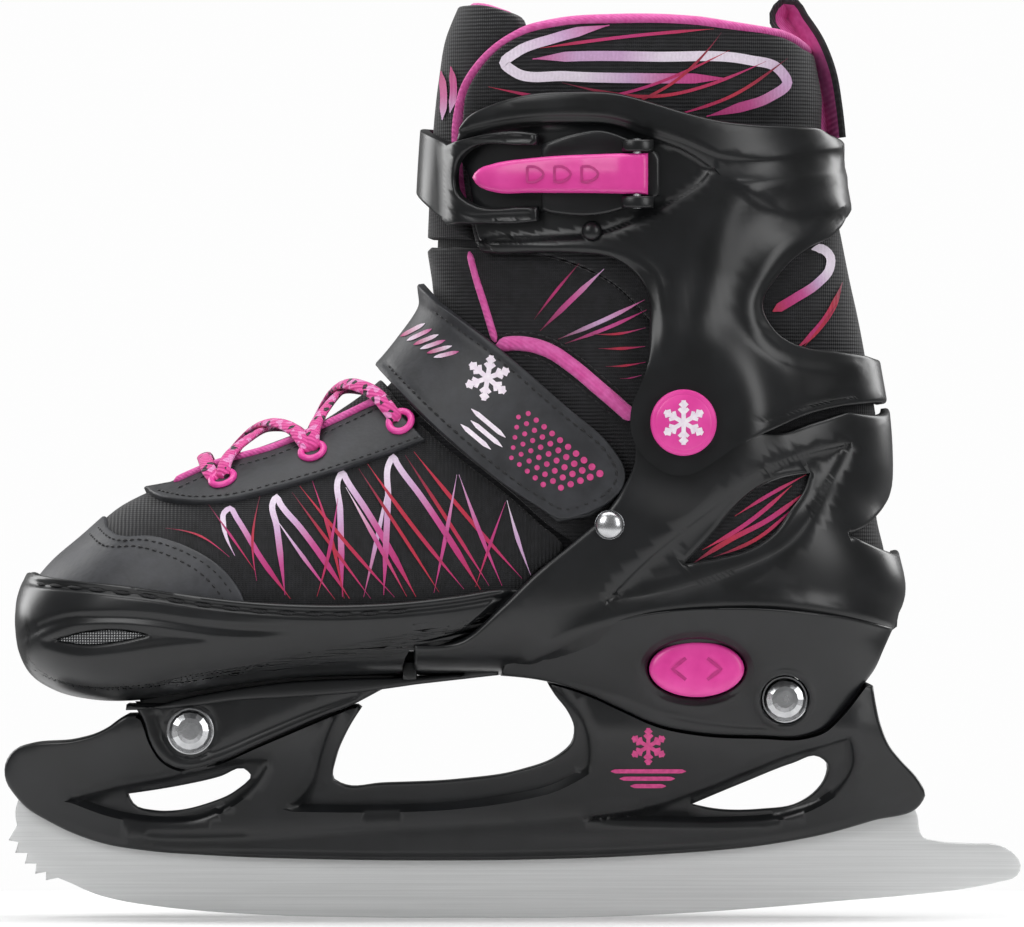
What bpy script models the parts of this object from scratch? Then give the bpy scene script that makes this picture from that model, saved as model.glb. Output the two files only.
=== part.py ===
"""Children's size-adjustable soft-boot ice skate for the left foot.

Frame: toe at -X, heel at +X, lateral side at -Y, +Z up, origin under the middle of the blade. The tables below are
in millimetres; meshes are made in metres.
"""

import math

import bpy
import numpy as np
from mathutils import Vector
from mathutils.geometry import delaunay_2d_cdt

for old in list(bpy.data.objects):
    bpy.data.objects.remove(old, do_unlink=True)

MM = 0.001

# ---- driving dimensions, millimetres ----
BLADE_T = 3.0            # steel thickness
GAP = 0.4                # clearance between neighbouring pieces
PIVOT = (47.6, 139.1)    # cuff pivot, X and Z
LEVER_AXIS = (34.6, 208.3)
BUTTON = (51.4, 70.3)    # size button centre
BUTTON_RX, BUTTON_RZ = 13.3, 7.9
FRONT_BOLT = (-90.3, 52.8)
REAR_BOLT = (76.2, 61.7)
BOLT_HEAD_R = 5.9
LINER = (-6.1, -8.6)     # inner boot: outer and inner offset from the fabric surface
FABRIC = (0.0, -2.6)     # visible fabric
COLLAR = (0.0, -3.6)
CAP = (4.2, 1.2)         # toe cap
SHELL = (4.2, 1.8)       # rear shell
SHELL_LIFT = 1.8         # how far the shell's arms stand over the toe cap's tail
CUFF = (3.9, 1.0)
CUFF_LIFT = 3.9          # extra height of the cuff round its pivots

# ---- materials ----


def material(name, colour, roughness, metallic=0.0):
    mat = bpy.data.materials.get(name) or bpy.data.materials.new(name)
    mat.use_nodes = True
    shader = mat.node_tree.nodes["Principled BSDF"]
    shader.inputs["Base Color"].default_value = (*colour, 1.0)
    shader.inputs["Roughness"].default_value = roughness
    shader.inputs["Metallic"].default_value = metallic
    mat.diffuse_color = (*colour, 1.0)
    return mat


STEEL = material("blade_steel", (0.48, 0.48, 0.49), 0.35, 1.0)
ZINC = material("bright_zinc", (0.62, 0.62, 0.63), 0.25, 1.0)
BLACK = material("black_plastic", (0.023, 0.023, 0.025), 0.42)
SOFT_BLACK = material("black_fabric", (0.018, 0.018, 0.020), 0.90)
LEATHER = material("grey_leather", (0.045, 0.045, 0.050), 0.60)
PADDING = material("lining", (0.030, 0.030, 0.034), 0.95)
PINK = material("pink_plastic", (0.71, 0.05, 0.33), 0.38)
LACE = material("pink_lace", (0.66, 0.08, 0.34), 0.85)
MESH_GREY = material("vent_mesh", (0.35, 0.35, 0.36), 0.40, 1.0)

# ---- curves and meshes ----


def spline(points, step=4.0, closed=False):
    """Smooth curve through the points, sampled every step. A point with a third value is a corner."""
    points = [tuple(p) for p in points]
    if closed:
        start = next((i for i, p in enumerate(points) if len(p) > 2), 0)
        points = points[start:] + points[:start] + [points[start]]
    cuts = [0] + [i for i in range(1, len(points) - 1) if len(points[i]) > 2] + [len(points) - 1]
    smooth_loop = closed and len(cuts) == 2 and len(points[0]) == 2
    out = []
    for a, b in zip(cuts[:-1], cuts[1:]):
        p = np.array([q[:2] for q in points[a:b + 1]], float)
        out.append(hermite(p, step, smooth_loop)[:-1])
    if not closed:
        out.append(np.array([points[-1][:2]], float))
    return np.concatenate(out)


def hermite(p, step, loop=False):
    if len(p) == 2:
        n = max(1, int(round(np.linalg.norm(p[1] - p[0]) / step)))
        return p[0] + (p[1] - p[0]) * np.linspace(0, 1, n + 1)[:, None]
    h = np.maximum(np.linalg.norm(np.diff(p, axis=0), axis=1), 1e-6)
    d = np.diff(p, axis=0) / h[:, None]
    m = np.empty_like(p)
    m[1:-1] = (d[:-1] * h[1:, None] + d[1:] * h[:-1, None]) / (h[1:] + h[:-1])[:, None]
    if loop:
        m[0] = m[-1] = (d[-1] * h[0] + d[0] * h[-1]) / (h[0] + h[-1])
    else:
        m[0] = 1.5 * d[0] - 0.5 * m[1]
        m[-1] = 1.5 * d[-1] - 0.5 * m[-2]
    out = []
    for i in range(len(h)):
        n = max(1, int(round(h[i] / step)))
        t = (np.arange(n) / n)[:, None]
        out.append((2 * t**3 - 3 * t**2 + 1) * p[i] + (t**3 - 2 * t**2 + t) * h[i] * m[i]
                   + (3 * t**2 - 2 * t**3) * p[i + 1] + (t**3 - t**2) * h[i] * m[i + 1])
    out.append(p[-1:])
    return np.concatenate(out)


def make(name, verts, faces, mat, hidden=False):
    """Mesh object from millimetre points; faces are turned outward by the sign of the volume."""
    verts = np.asarray(verts, float)
    volume = 0.0
    for f in faces:
        for k in range(1, len(f) - 1):
            volume += np.dot(verts[f[0]], np.cross(verts[f[k]], verts[f[k + 1]]))
    if volume < 0:
        faces = [tuple(reversed(f)) for f in faces]
    mesh = bpy.data.meshes.new(name)
    mesh.from_pydata([tuple(v * MM) for v in verts], [], [tuple(int(i) for i in f) for f in faces])
    mesh.validate()
    mesh.materials.append(mat)
    mesh.shade_smooth()
    mesh.set_sharp_from_angle(angle=math.radians(35))
    obj = bpy.data.objects.new(name, mesh)
    bpy.context.scene.collection.objects.link(obj)
    if hidden:
        obj.hide_render = True
        obj.display_type = "WIRE"
    return obj


def boolean(obj, other, operation):
    modifier = obj.modifiers.new(other.name, "BOOLEAN")
    modifier.operation = operation
    modifier.object = other
    other.hide_render = True
    other.display_type = "WIRE"
    return obj


def inside(points, loops):
    """Even-odd test of points against closed loops."""
    found = np.zeros(len(points), bool)
    for loop in loops:
        a, b = loop, np.roll(loop, -1, axis=0)
        for (x0, y0), (x1, y1) in zip(a, b):
            if y0 == y1:
                continue
            hit = (points[:, 1] >= min(y0, y1)) & (points[:, 1] < max(y0, y1))
            x = x0 + (points[:, 1] - y0) * (x1 - x0) / (y1 - y0)
            found ^= hit & (points[:, 0] < x)
    return found


def clear_of(points, loops, distance):
    near = np.zeros(len(points), bool)
    for loop in loops:
        a, b = loop, np.roll(loop, -1, axis=0)
        for p, q in zip(a, b):
            e = q - p
            t = np.clip(((points - p) @ e) / max(e @ e, 1e-12), 0, 1)
            near |= np.linalg.norm(points - p - t[:, None] * e, axis=1) < distance
    return ~near


def triangulate(loops, step):
    """Points and triangles that fill the loops, with a staggered grid inside."""
    low = np.min(np.concatenate(loops), axis=0)
    high = np.max(np.concatenate(loops), axis=0)
    points = [np.concatenate(loops)]
    if step:
        rows = np.arange(low[1] + step / 2, high[1], step * 0.87)
        grid = np.concatenate([np.stack([np.arange(low[0] + (k % 2) * step / 2, high[0], step),
                                         np.full(len(np.arange(low[0] + (k % 2) * step / 2, high[0], step)), y)], 1)
                               for k, y in enumerate(rows)])
        grid = grid[inside(grid, loops)]
        points.append(grid[clear_of(grid, loops, 0.6 * step)])
    points = np.concatenate(points)
    edges, base = [], 0
    for loop in loops:
        n = len(loop)
        edges += [(base + i, base + (i + 1) % n) for i in range(n)]
        base += n
    verts, _, faces, *_ = delaunay_2d_cdt([Vector(p) for p in points], edges, [], 0, 1e-5)
    verts = np.array([tuple(v) for v in verts])
    faces = np.array([f for f in faces if len(f) == 3])
    middle = verts[faces].mean(axis=1)
    return verts, faces[inside(middle, loops)]


def skin_mesh(loops, step, outer, inner):
    """Closed solid between the maps outer and inner of one flat triangulation."""
    flat, tris = triangulate(loops, step)
    n = len(flat)
    verts = np.concatenate([outer(flat), inner(flat)])
    count = {}
    for a, b, c in tris:
        for e in ((a, b), (b, c), (c, a)):
            count[e] = count.get(e, 0) + 1
    faces = [tuple(t) for t in tris] + [(c + n, b + n, a + n) for a, b, c in tris]
    for (a, b) in count:
        if (b, a) not in count:
            faces.append((b, a, a + n, b + n))
    return verts, faces


def slab(name, loops, y_out, y_in, mat, step=None, hidden=False):
    """Solid between two heights y over outlines in the XZ plane; the heights are numbers or functions."""
    def at(height):
        def place(flat):
            y = height(flat[:, 0], flat[:, 1]) if callable(height) else np.full(len(flat), float(height))
            return np.stack([flat[:, 0], y, flat[:, 1]], 1)
        return place
    verts, faces = skin_mesh(loops, step, at(y_out), at(y_in))
    return make(name, verts, faces, mat, hidden)


def turned(name, centre, profile, mat, sides=20, axis="Y", hidden=False, rx=1.0):
    """Round piece about an axis through centre; profile holds (height, radius) from end to end."""
    verts, faces = [], []
    angle = [2 * math.pi * k / sides for k in range(sides)]
    for h, r in profile:
        for a in angle:
            if axis == "Y":
                verts.append((centre[0] + r * rx * math.cos(a), centre[1] + h, centre[2] + r * math.sin(a)))
            else:
                verts.append((centre[0] + r * math.cos(a), centre[1] + r * math.sin(a), centre[2] + h))
    for i in range(len(profile) - 1):
        for k in range(sides):
            j = (k + 1) % sides
            faces.append((i * sides + k, i * sides + j, (i + 1) * sides + j, (i + 1) * sides + k))
    faces.append(tuple(reversed(range(sides))))
    last = (len(profile) - 1) * sides
    faces.append(tuple(last + k for k in range(sides)))
    return make(name, verts, faces, mat, hidden)


# ---- the boot's surface ----
# Each station is a section of the fabric boot: its top or front point, its bottom or back point, its half width, how
# far down the widest place is, and how square the upper and the lower half are.
STATIONS = np.array([
    (-135.7, 85.5, -135.7, 81.5, 5.0, 0.50, 2.0, 2.0),
    (-135.2, 89.5, -135.0, 76.5, 13.0, 0.50, 2.0, 2.2),
    (-133.4, 94.0, -132.6, 71.5, 20.0, 0.52, 2.0, 2.4),
    (-129.0, 99.5, -127.0, 67.8, 27.5, 0.54, 2.0, 2.6),
    (-121.0, 106.5, -118.0, 65.6, 34.0, 0.56, 2.0, 3.0),
    (-110.5, 115.5, -107.0, 65.3, 38.5, 0.58, 2.0, 3.3),
    (-96.5, 122.5, -92.5, 67.2, 41.0, 0.60, 2.0, 3.6),
    (-82.0, 128.6, -77.0, 69.8, 41.5, 0.60, 2.0, 4.0),
    (-66.5, 134.0, -60.0, 71.7, 41.0, 0.60, 2.0, 4.0),
    (-52.0, 140.6, -40.0, 72.4, 39.0, 0.60, 2.0, 4.0),
    (-38.2, 150.4, -18.0, 72.5, 36.8, 0.60, 2.0, 4.0),
    (-28.6, 161.6, 5.0, 72.5, 35.0, 0.59, 2.0, 4.0),
    (-22.6, 170.6, 28.0, 72.5, 34.2, 0.58, 2.1, 4.0),
    (-22.6, 177.6, 52.0, 72.5, 34.0, 0.56, 2.1, 3.8),
    (-23.4, 183.5, 73.0, 72.6, 34.2, 0.55, 2.2, 3.6),
    (-23.9, 187.5, 90.0, 74.5, 34.6, 0.54, 2.2, 3.2),
    (-23.8, 191.0, 100.0, 81.0, 35.0, 0.54, 2.2, 2.8),
    (-23.7, 194.0, 106.2, 91.0, 35.3, 0.53, 2.3, 2.4),
    (-23.6, 197.0, 104.5, 102.0, 35.4, 0.52, 2.3, 2.3),
    (-23.5, 200.5, 102.2, 113.5, 35.4, 0.52, 2.3, 2.2),
    (-23.4, 204.0, 102.8, 126.0, 35.4, 0.51, 2.3, 2.2),
    (-23.2, 208.0, 102.2, 139.0, 35.6, 0.50, 2.3, 2.2),
    (-22.9, 213.0, 99.8, 154.0, 36.0, 0.50, 2.3, 2.2),
    (-22.5, 219.0, 96.6, 171.0, 36.6, 0.50, 2.3, 2.2),
    (-21.9, 226.0, 93.0, 187.5, 37.3, 0.50, 2.3, 2.2),
    (-21.0, 234.0, 89.8, 203.5, 38.0, 0.50, 2.3, 2.2),
    (-19.5, 242.5, 87.2, 219.0, 38.6, 0.50, 2.3, 2.2),
    (-16.8, 251.5, 85.2, 233.0, 39.0, 0.50, 2.3, 2.2),
    (-13.5, 260.0, 82.5, 247.0, 39.4, 0.50, 2.3, 2.2),
])
ROWS, HALF = 220, 72     # table of the surface: stations along the boot, and steps from sole to top on each side
S_MM, V_MM = 430.0, 125.0


def section(top, bottom, width, low, n_top, n_bottom):
    t = np.concatenate([np.linspace(0, 1, 240) ** 1.6, 2 - np.linspace(1, 0, 240)[1:] ** 1.6]) * math.pi / 2
    length = np.linalg.norm(bottom - top)
    n = np.where(t <= math.pi / 2, n_top, n_bottom)
    reach = np.where(t <= math.pi / 2, low, 1 - low) * length
    down = low * length - np.sign(np.cos(t)) * np.abs(np.cos(t)) ** (2 / n) * reach
    side = width * np.abs(np.sin(t)) ** (2 / n)
    along = (bottom - top) / length
    p = np.stack([top[0] + down * along[0], -side, top[1] + down * along[1]], 1)
    arc = np.concatenate([[0], np.cumsum(np.linalg.norm(np.diff(p, axis=0), axis=1))])
    even = np.linspace(arc[-1], 0, HALF + 1)
    return np.stack([np.interp(even, arc, p[:, k]) for k in range(3)], 1)


def surface_table():
    knots = np.concatenate([[0], np.cumsum(
        np.linalg.norm(np.diff(STATIONS[:, :2], axis=0), axis=1) * 0.35
        + np.linalg.norm(np.diff(STATIONS[:, 2:4], axis=0), axis=1) * 0.65
        + np.abs(np.diff(STATIONS[:, 4])) * 0.3)])
    knots /= knots[-1]
    slope = np.empty_like(STATIONS)
    h = np.diff(knots)[:, None]
    d = np.diff(STATIONS, axis=0) / h
    slope[1:-1] = (d[:-1] * h[1:] + d[1:] * h[:-1]) / (h[1:] + h[:-1])
    slope[0], slope[-1] = d[0], d[-1]
    table = np.empty((ROWS + 1, 2 * HALF, 3))
    for r, s in enumerate(np.linspace(0, 1, ROWS + 1)):
        i = min(np.searchsorted(knots, s, side="right") - 1, len(knots) - 2)
        step = knots[i + 1] - knots[i]
        t = (s - knots[i]) / step
        row = ((2 * t**3 - 3 * t**2 + 1) * STATIONS[i] + (t**3 - 2 * t**2 + t) * step * slope[i]
               + (3 * t**2 - 2 * t**3) * STATIONS[i + 1] + (t**3 - t**2) * step * slope[i + 1])
        half = section(row[:2], row[2:4], *row[4:])
        table[r, :HALF + 1] = half
        table[r, HALF + 1:] = half[-2:0:-1] * (1, -1, 1)
    normal = np.cross(np.gradient(table, axis=0),
                      np.roll(table, -1, axis=1) - np.roll(table, 1, axis=1))
    normal /= np.maximum(np.linalg.norm(normal, axis=2, keepdims=True), 1e-9)
    if normal[ROWS // 2, HALF // 2, 1] > 0:
        normal = -normal
    return table, normal


TABLE, NORMAL = surface_table()


def look_up(grid, s, v):
    """Cubic interpolation in the table; v runs 0 to 2 round the section and wraps."""
    x = np.clip(s, 0, 1) * ROWS
    y = np.mod(v, 2.0) * HALF
    i, j = np.minimum(x.astype(int), ROWS - 1), y.astype(int)
    fx, fy = (x - i)[:, None], (y - j)[:, None]

    def weights(f):
        return (-0.5 * f + f**2 - 0.5 * f**3, 1 - 2.5 * f**2 + 1.5 * f**3,
                0.5 * f + 2 * f**2 - 1.5 * f**3, -0.5 * f**2 + 0.5 * f**3)
    wx, wy = weights(fx), weights(fy)
    out = 0
    for a in range(4):
        row = np.clip(i + a - 1, 0, ROWS)
        for b in range(4):
            out = out + wx[a] * wy[b] * grid[row, (j + b - 1) % (2 * HALF)]
    return out


def boot(s, v, d):
    """Point of the boot's surface moved outward by d."""
    n = look_up(NORMAL, s, v)
    n /= np.maximum(np.linalg.norm(n, axis=1, keepdims=True), 1e-9)
    d = np.broadcast_to(np.asarray(d, float), s.shape)
    return look_up(TABLE, s, v) + n * d[:, None]


def locate(xz, d):
    """(s, v) of the lateral point that shows at side-view place xz on the surface moved out by d."""
    xz = np.atleast_2d(np.asarray(xz, float))
    half = (TABLE + NORMAL * d)[:, :HALF + 1]
    flat = half.reshape(-1, 3)[:, [0, 2]]
    s, v = np.empty(len(xz)), np.empty(len(xz))
    for k, p in enumerate(xz):
        best = np.argmin(((flat - p) ** 2).sum(1))
        s[k], v[k] = (best // (HALF + 1)) / ROWS, (best % (HALF + 1)) / HALF
    for _ in range(8):
        here = boot(s, v, d)[:, [0, 2]]
        ds = (boot(s + 1e-3, v, d)[:, [0, 2]] - boot(s - 1e-3, v, d)[:, [0, 2]]) / 2e-3
        dv = (boot(s, v + 2e-3, d)[:, [0, 2]] - boot(s, v - 2e-3, d)[:, [0, 2]]) / 4e-3
        det = ds[:, 0] * dv[:, 1] - ds[:, 1] * dv[:, 0]
        det = np.where(np.abs(det) < 300, np.inf, det)
        r = xz - here
        s = np.clip(s + np.clip((r[:, 0] * dv[:, 1] - r[:, 1] * dv[:, 0]) / det, -0.01, 0.01), 0, 1)
        v = np.clip(v + np.clip((ds[:, 0] * r[:, 1] - ds[:, 1] * r[:, 0]) / det, -0.03, 0.03), 0, 1)
    return s, v


def half_width(x, z, d):
    """Half width of the boot's surface, moved out by d, at side-view places."""
    s, v = locate(np.stack([x, z], 1), d)
    return np.abs(boot(s, v, d)[:, 1])


def chart(xz, d, side=-1):
    """Side-view outline as chart points; side +1 mirrors it across the top ridge."""
    s, v = locate(xz, d)
    v = v if side < 0 else 2 - v
    return np.stack([s * S_MM, v * V_MM], 1)


def wrap_top(half, d):
    """Closed chart loop of an outline that crosses the top or front ridge."""
    lateral = chart(half, d)
    lateral[0, 1] = lateral[-1, 1] = V_MM
    medial = lateral[::-1][1:-1] * (1, -1) + (0, 2 * V_MM)
    return np.concatenate([lateral, medial])


def wrap_back(half, d):
    """Closed chart loop of an outline that crosses the sole or back ridge."""
    lateral = chart(half, d)
    lateral[0, 1] = lateral[-1, 1] = 0.0
    return np.concatenate([lateral, lateral[::-1][1:-1] * (1, -1)])


def both(function_or_number, flat):
    if callable(function_or_number):
        p = boot(flat[:, 0] / S_MM, flat[:, 1] / V_MM, 0.0)
        return function_or_number(p[:, 0], p[:, 1], p[:, 2])
    return np.full(len(flat), float(function_or_number))


def refine(loop, step):
    """Closed loop with no edge much longer than step."""
    out = []
    for a, b in zip(loop, np.roll(loop, -1, axis=0)):
        n = max(1, int(round(np.linalg.norm(b - a) / step)))
        out.append(a + (b - a) * (np.arange(n) / n)[:, None])
    return np.concatenate(out)


def skin(name, loops, d_out, d_in, mat, step=7.0, shape=None, hidden=False):
    """Solid that follows the boot between two offsets, over loops in the chart."""
    loops = [refine(loop, min(step, 8.0)) for loop in loops]
    def at(d):
        def place(flat):
            p = boot(flat[:, 0] / S_MM, flat[:, 1] / V_MM, both(d, flat))
            return shape(p, d is d_out) if shape else p
        return place
    verts, faces = skin_mesh(loops, step, at(d_out), at(d_in))
    return make(name, verts, faces, mat, hidden)


def tube_skin(name, s_low, s_high, d_out, d_in, rows, cols, mat, pole=False):
    """Tube round the boot between two edges, or a sock when its first row closes at the toe."""
    v = 2.0 * np.arange(cols) / cols
    low, high = s_low(v), s_high(v)
    layers = []
    for d in (d_out, d_in):
        layer = [boot(low + (high - low) * (r / rows) ** (1.5 if pole else 1.0), v, d) for r in range(rows + 1)]
        layers.append(np.concatenate(layer))
    verts = np.concatenate(layers)
    base = (rows + 1) * cols
    faces = []
    for r in range(rows):
        for c in range(cols):
            a, b = r * cols + c, r * cols + (c + 1) % cols
            faces.append((a, b, b + cols, a + cols))
            faces.append((base + a + cols, base + b + cols, base + b, base + a))
    for c in range(cols):
        a, b = rows * cols + c, rows * cols + (c + 1) % cols
        faces.append((a, b, base + b, base + a))
        if not pole:
            faces.append((base + c, base + (c + 1) % cols, (c + 1) % cols, c))
    if pole:
        faces.append(tuple(reversed(range(cols))))
        faces.append(tuple(base + c for c in range(cols)))
    return make(name, verts, faces, mat)


def edge_by_side(points, d):
    """s of a tube's edge as a function of v, from side-view points that run from the back ridge to the front."""
    line = spline(points, 2.0)
    s, v = locate(line, d)
    v[0], v[-1] = 0.0, 1.0
    order = np.argsort(v)

    def at(around):
        return np.interp(1 - np.abs(1 - np.mod(around, 2.0)), v[order], s[order])
    return at


# ---- blade ----
BLADE_EDGE = spline([
    (-138.5, 34.5, 0), (-139.9, 29.5), (-139.4, 26.0, 0), (-141.8, 21.8, 0), (-139.0, 21.2, 0), (-139.9, 18.2, 0),
    (-136.4, 18.2, 0), (-137.2, 15.2, 0), (-133.9, 15.2, 0), (-134.3, 12.3, 0), (-131.2, 12.9, 0),
    (-131.3, 10.5, 0), (-127.9, 11.2, 0), (-123.9, 9.6, 0), (-118.0, 6.9), (-110.7, 4.9), (-101.5, 3.4),
    (-87.6, 1.9), (-70.0, 0.8), (-45.0, 0.15), (-14.0, 0.0, 0), (14.0, 0.0, 0), (30.0, 0.4), (52.0, 1.5),
    (74.0, 3.1), (92.0, 4.7), (110.0, 6.2), (128.0, 8.3), (137.0, 10.1), (141.5, 11.5), (142.8, 13.5),
    (142.5, 16.0), (139.8, 18.9), (137.0, 20.3), (128.0, 20.9), (119.0, 21.6), (115.4, 22.6), (114.2, 25.0),
    (114.0, 28.0), (111.0, 34.0, 0), (104.0, 36.0, 0), (92.0, 30.0), (72.0, 26.0), (40.0, 23.0), (2.0, 21.8),
    (-45.0, 21.6), (-84.0, 23.5), (-104.0, 25.0), (-122.0, 29.0), (-131.0, 34.0, 0), (-133.0, 38.5, 0),
], 9.0, True)
blade = slab("blade", [BLADE_EDGE], -BLADE_T / 2, BLADE_T / 2, STEEL)

# ---- blade holder ----
HOLDER = spline([
    (-142.3, 38.2), (-140.2, 34.9), (-136.9, 31.2), (-131.2, 27.6), (-123.1, 23.6), (-114.7, 20.8), (-102.4, 18.8),
    (-86.0, 17.6), (-53.0, 16.4), (-28.5, 16.1), (2.0, 16.3), (38.0, 17.6), (74.0, 20.9), (87.6, 23.5),
    (101.0, 27.3), (114.6, 31.9), (115.9, 34.4), (113.7, 39.2), (109.2, 44.1), (105.6, 48.6), (103.3, 54.0),
    (101.8, 60.3), (101.0, 65.4, 0), (98.0, 66.8, 0), (60.0, 66.8, 0), (9.6, 66.4, 0), (11.5, 63.2), (15.5, 58.0),
    (17.3, 53.1), (16.7, 49.4), (13.0, 45.8), (2.0, 41.5), (-14.7, 39.0), (-36.8, 37.9), (-47.5, 37.5),
    (-50.2, 38.9), (-49.6, 45.0), (-46.5, 52.5), (-42.4, 59.2, 0), (-43.5, 60.0, 0), (-60.0, 60.0, 0),
    (-78.0, 59.4, 0), (-93.0, 57.8, 0), (-108.0, 57.4, 0), (-109.9, 56.4), (-113.1, 54.0), (-117.2, 51.8),
    (-123.1, 50.2), (-135.4, 49.0), (-139.6, 47.6), (-142.4, 44.0),
], 9.0, True)
FRONT_SLOT = spline([(-108.2, 34.9, 0), (-94.2, 37.1), (-81.9, 39.9), (-75.5, 42.1), (-73.6, 40.4), (-77.8, 35.8),
                     (-86.0, 32.1), (-94.2, 30.2), (-101.0, 30.2), (-106.5, 31.8)], 7.0, True)
REAR_SLOT = spline([(50.3, 32.0, 0), (65.0, 38.2), (78.5, 43.6), (85.6, 45.6), (88.4, 43.3), (88.0, 39.6),
                    (85.0, 35.4), (80.0, 32.2), (70.0, 30.6), (56.0, 30.8)], 7.0, True)


def holder_half(x, z):
    """Half thickness: a slim rail that swells towards the boot."""
    t = np.clip((z - 19.0) / 36.0, 0, 1)
    nose = np.clip((x + 143.5) / 34.0, 0.03, 1) ** 0.5
    tail = np.clip((117.5 - x) / 22.0, 0.05, 1) ** 0.5
    return 4.6 + (15.2 * (t * t * (3 - 2 * t))) * np.minimum(nose, tail)


holder = slab("blade_holder", [HOLDER, FRONT_SLOT, REAR_SLOT], lambda x, z: -holder_half(x, z),
              lambda x, z: holder_half(x, z), BLACK, 11.0)
SLOT_EDGE = spline([(-145.0, 5.0, 0), (120.0, 5.0, 0), (116.0, 36.5, 0), (104.0, 38.0, 0), (91.0, 31.5),
                    (72.0, 27.2), (40.0, 24.2), (2.0, 23.0), (-45.0, 22.8), (-84.0, 24.7), (-104.0, 26.2),
                    (-121.0, 30.2), (-129.0, 35.0, 0), (-131.0, 40.3, 0), (-145.0, 40.3, 0)], 12.0, True)
blade_slot = slab("blade_slot_cutter", [SLOT_EDGE], -BLADE_T / 2 - 0.35, BLADE_T / 2 + 0.35, BLACK, hidden=True)
boolean(holder, blade_slot, "DIFFERENCE")

# ---- rear shell: outlines in side view ----
LUG = [(-106.5, 60.6, 0), (-104.0, 56.4), (-101.6, 49.7), (-98.4, 44.8), (-94.2, 42.4), (-89.5, 42.1), (-84.4, 43.5),
       (-69.6, 49.7), (-53.1, 56.7), (-44.4, 60.3), (-36.8, 64.3), (-28.5, 68.6, 0)]
SKIRT_LOW = [(106.8, 81.6, 0), (103.7, 74.9), (101.8, 70.6), (97.9, 65.2), (91.1, 56.8), (87.2, 53.2), (82.0, 51.4),
             (69.0, 51.4), (52.5, 52.2), (40.0, 54.7), (30.4, 59.0), (20.7, 63.4), (9.1, 66.8), (-3.4, 68.3, 0)]


def moved(points, dx, dz):
    return [(p[0] + dx, p[1] + dz, *p[2:]) for p in points]


# pockets in the holder that the lugs and skirts sit in
front_pocket = spline(moved(LUG[:1], -0.6, 0) + moved(LUG[1:-1], 0, -0.6) + [(-28.0, 66.0, 0), (-28.0, 72.0, 0),
                                                                          (-107.1, 72.0, 0)], 8.0, True)
rear_pocket = spline(moved(SKIRT_LOW[1:-1], 0.4, -0.6) + [(-4.0, 66.5, 0), (-4.0, 74.0, 0), (106.0, 76.0, 0)], 8.0, True)
for label, y0, y1 in (("lateral", -30.0, -14.4), ("medial", 14.4, 30.0)):
    boolean(holder, slab("front_pocket_cutter_" + label, [front_pocket], y0, y1, BLACK, hidden=True), "DIFFERENCE")
    inner = 11.6
    boolean(holder, slab("rear_pocket_cutter_" + label, [rear_pocket], -30.0 if y0 < 0 else inner,
                         -inner if y0 < 0 else 30.0, BLACK,
                         hidden=True), "DIFFERENCE")


def lift(x):
    return SHELL_LIFT * np.clip((40.0 - x) / 30.0, 0, 1)


def shell_out(x, y, z):
    return SHELL[0] + lift(x) * np.clip((z - 74.0) / 4.0, 0, 1)


def shell_in(x, y, z):
    return SHELL[1] + 2.0 * np.clip((42.0 - x) / 22.0, 0, 1) * np.clip((z - 74.0) / 3.5, 0, 1)


PIVOT_SHELL_OUT = 40.6   # the shell's flat disc round each pivot
PIVOT_CUFF_IN = 41.3
PIVOT_CUFF_OUT = 44.2


def flatten(p, height, near, far):
    """Draws the surface to the plane |y| = height round the pivot."""
    r = np.hypot(p[:, 0] - PIVOT[0], p[:, 2] - PIVOT[1])
    w = np.clip((far - r) / (far - near), 0, 1)
    w = w * w * (3 - 2 * w)
    side = np.sign(p[:, 1])
    out = p.copy()
    out[:, 1] = p[:, 1] * (1 - w) + side * height * w
    return out


def shell_shape(p, outer):
    return flatten(p, PIVOT_SHELL_OUT if outer else PIVOT_SHELL_OUT - 3.2, 13.5, 30.0)


SHELL_HALF = [
    (-27.6, 68.3, 0), (-27.4, 76.5, 0), (-15.4, 77.6), (-3.4, 87.5), (6.3, 97.0), (16.9, 105.7), (24.5, 112.4),
    (30.4, 120.3), (34.0, 128.0), (34.0, 139.1), (38.0, 148.7), (47.6, 152.7), (57.2, 148.7), (62.0, 141.5),
    (67.0, 137.4), (74.0, 136.2), (84.0, 138.9), (95.0, 142.3, 0), (106.0, 143.6, 0),
]
shell_a = chart(spline(SHELL_HALF[:-1], 6.0), 5.0)
shell_a[0, 1] = 0.0
top_back = locate([(106.0, 143.4)], SHELL[0])[0][0] * S_MM
notch_top = locate([(106.4, 121.0)], SHELL[0])[0][0] * S_MM
notch_low = locate([(106.5, 105.0)], SHELL[0])[0][0] * S_MM
notch_tip = chart([(94.5, 108.0)], SHELL[0])[0]


def straight(a, b, step):
    n = max(1, int(round(np.linalg.norm(np.subtract(b, a)) / step)))
    return np.array(a) + (np.array(b) - np.array(a)) * (np.arange(n) / n)[:, None]


outline = np.concatenate([shell_a[:-1], straight(shell_a[-1], (top_back, 0.0), 6.0)])
mirror = outline[1:] * (1, -1)
shell_loop = np.concatenate([outline, [[top_back, 0.0]], mirror[::-1]])
notch = np.concatenate([straight((notch_top, 0.0), notch_tip, 5.0), straight(notch_tip, (notch_low, 0.0), 5.0)])
notch_loop = np.concatenate([notch, [[notch_low, 0.0]], notch[1:][::-1] * (1, -1)])
LEAF = [(47.7, 99.4, 0), (55.5, 107.7), (62.2, 115.5), (69.0, 121.0), (76.6, 124.2), (84.4, 125.4, 0), (82.5, 120.3),
        (78.5, 115.0), (73.8, 108.6), (67.1, 103.9), (57.4, 101.0)]
leaf = chart(spline(LEAF, 6.0, True), SHELL[0])
rear_shell = skin("rear_shell", [shell_loop, notch_loop, leaf, leaf * (1, -1)], shell_out, shell_in, BLACK, 9.0,
                  shell_shape)

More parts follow.
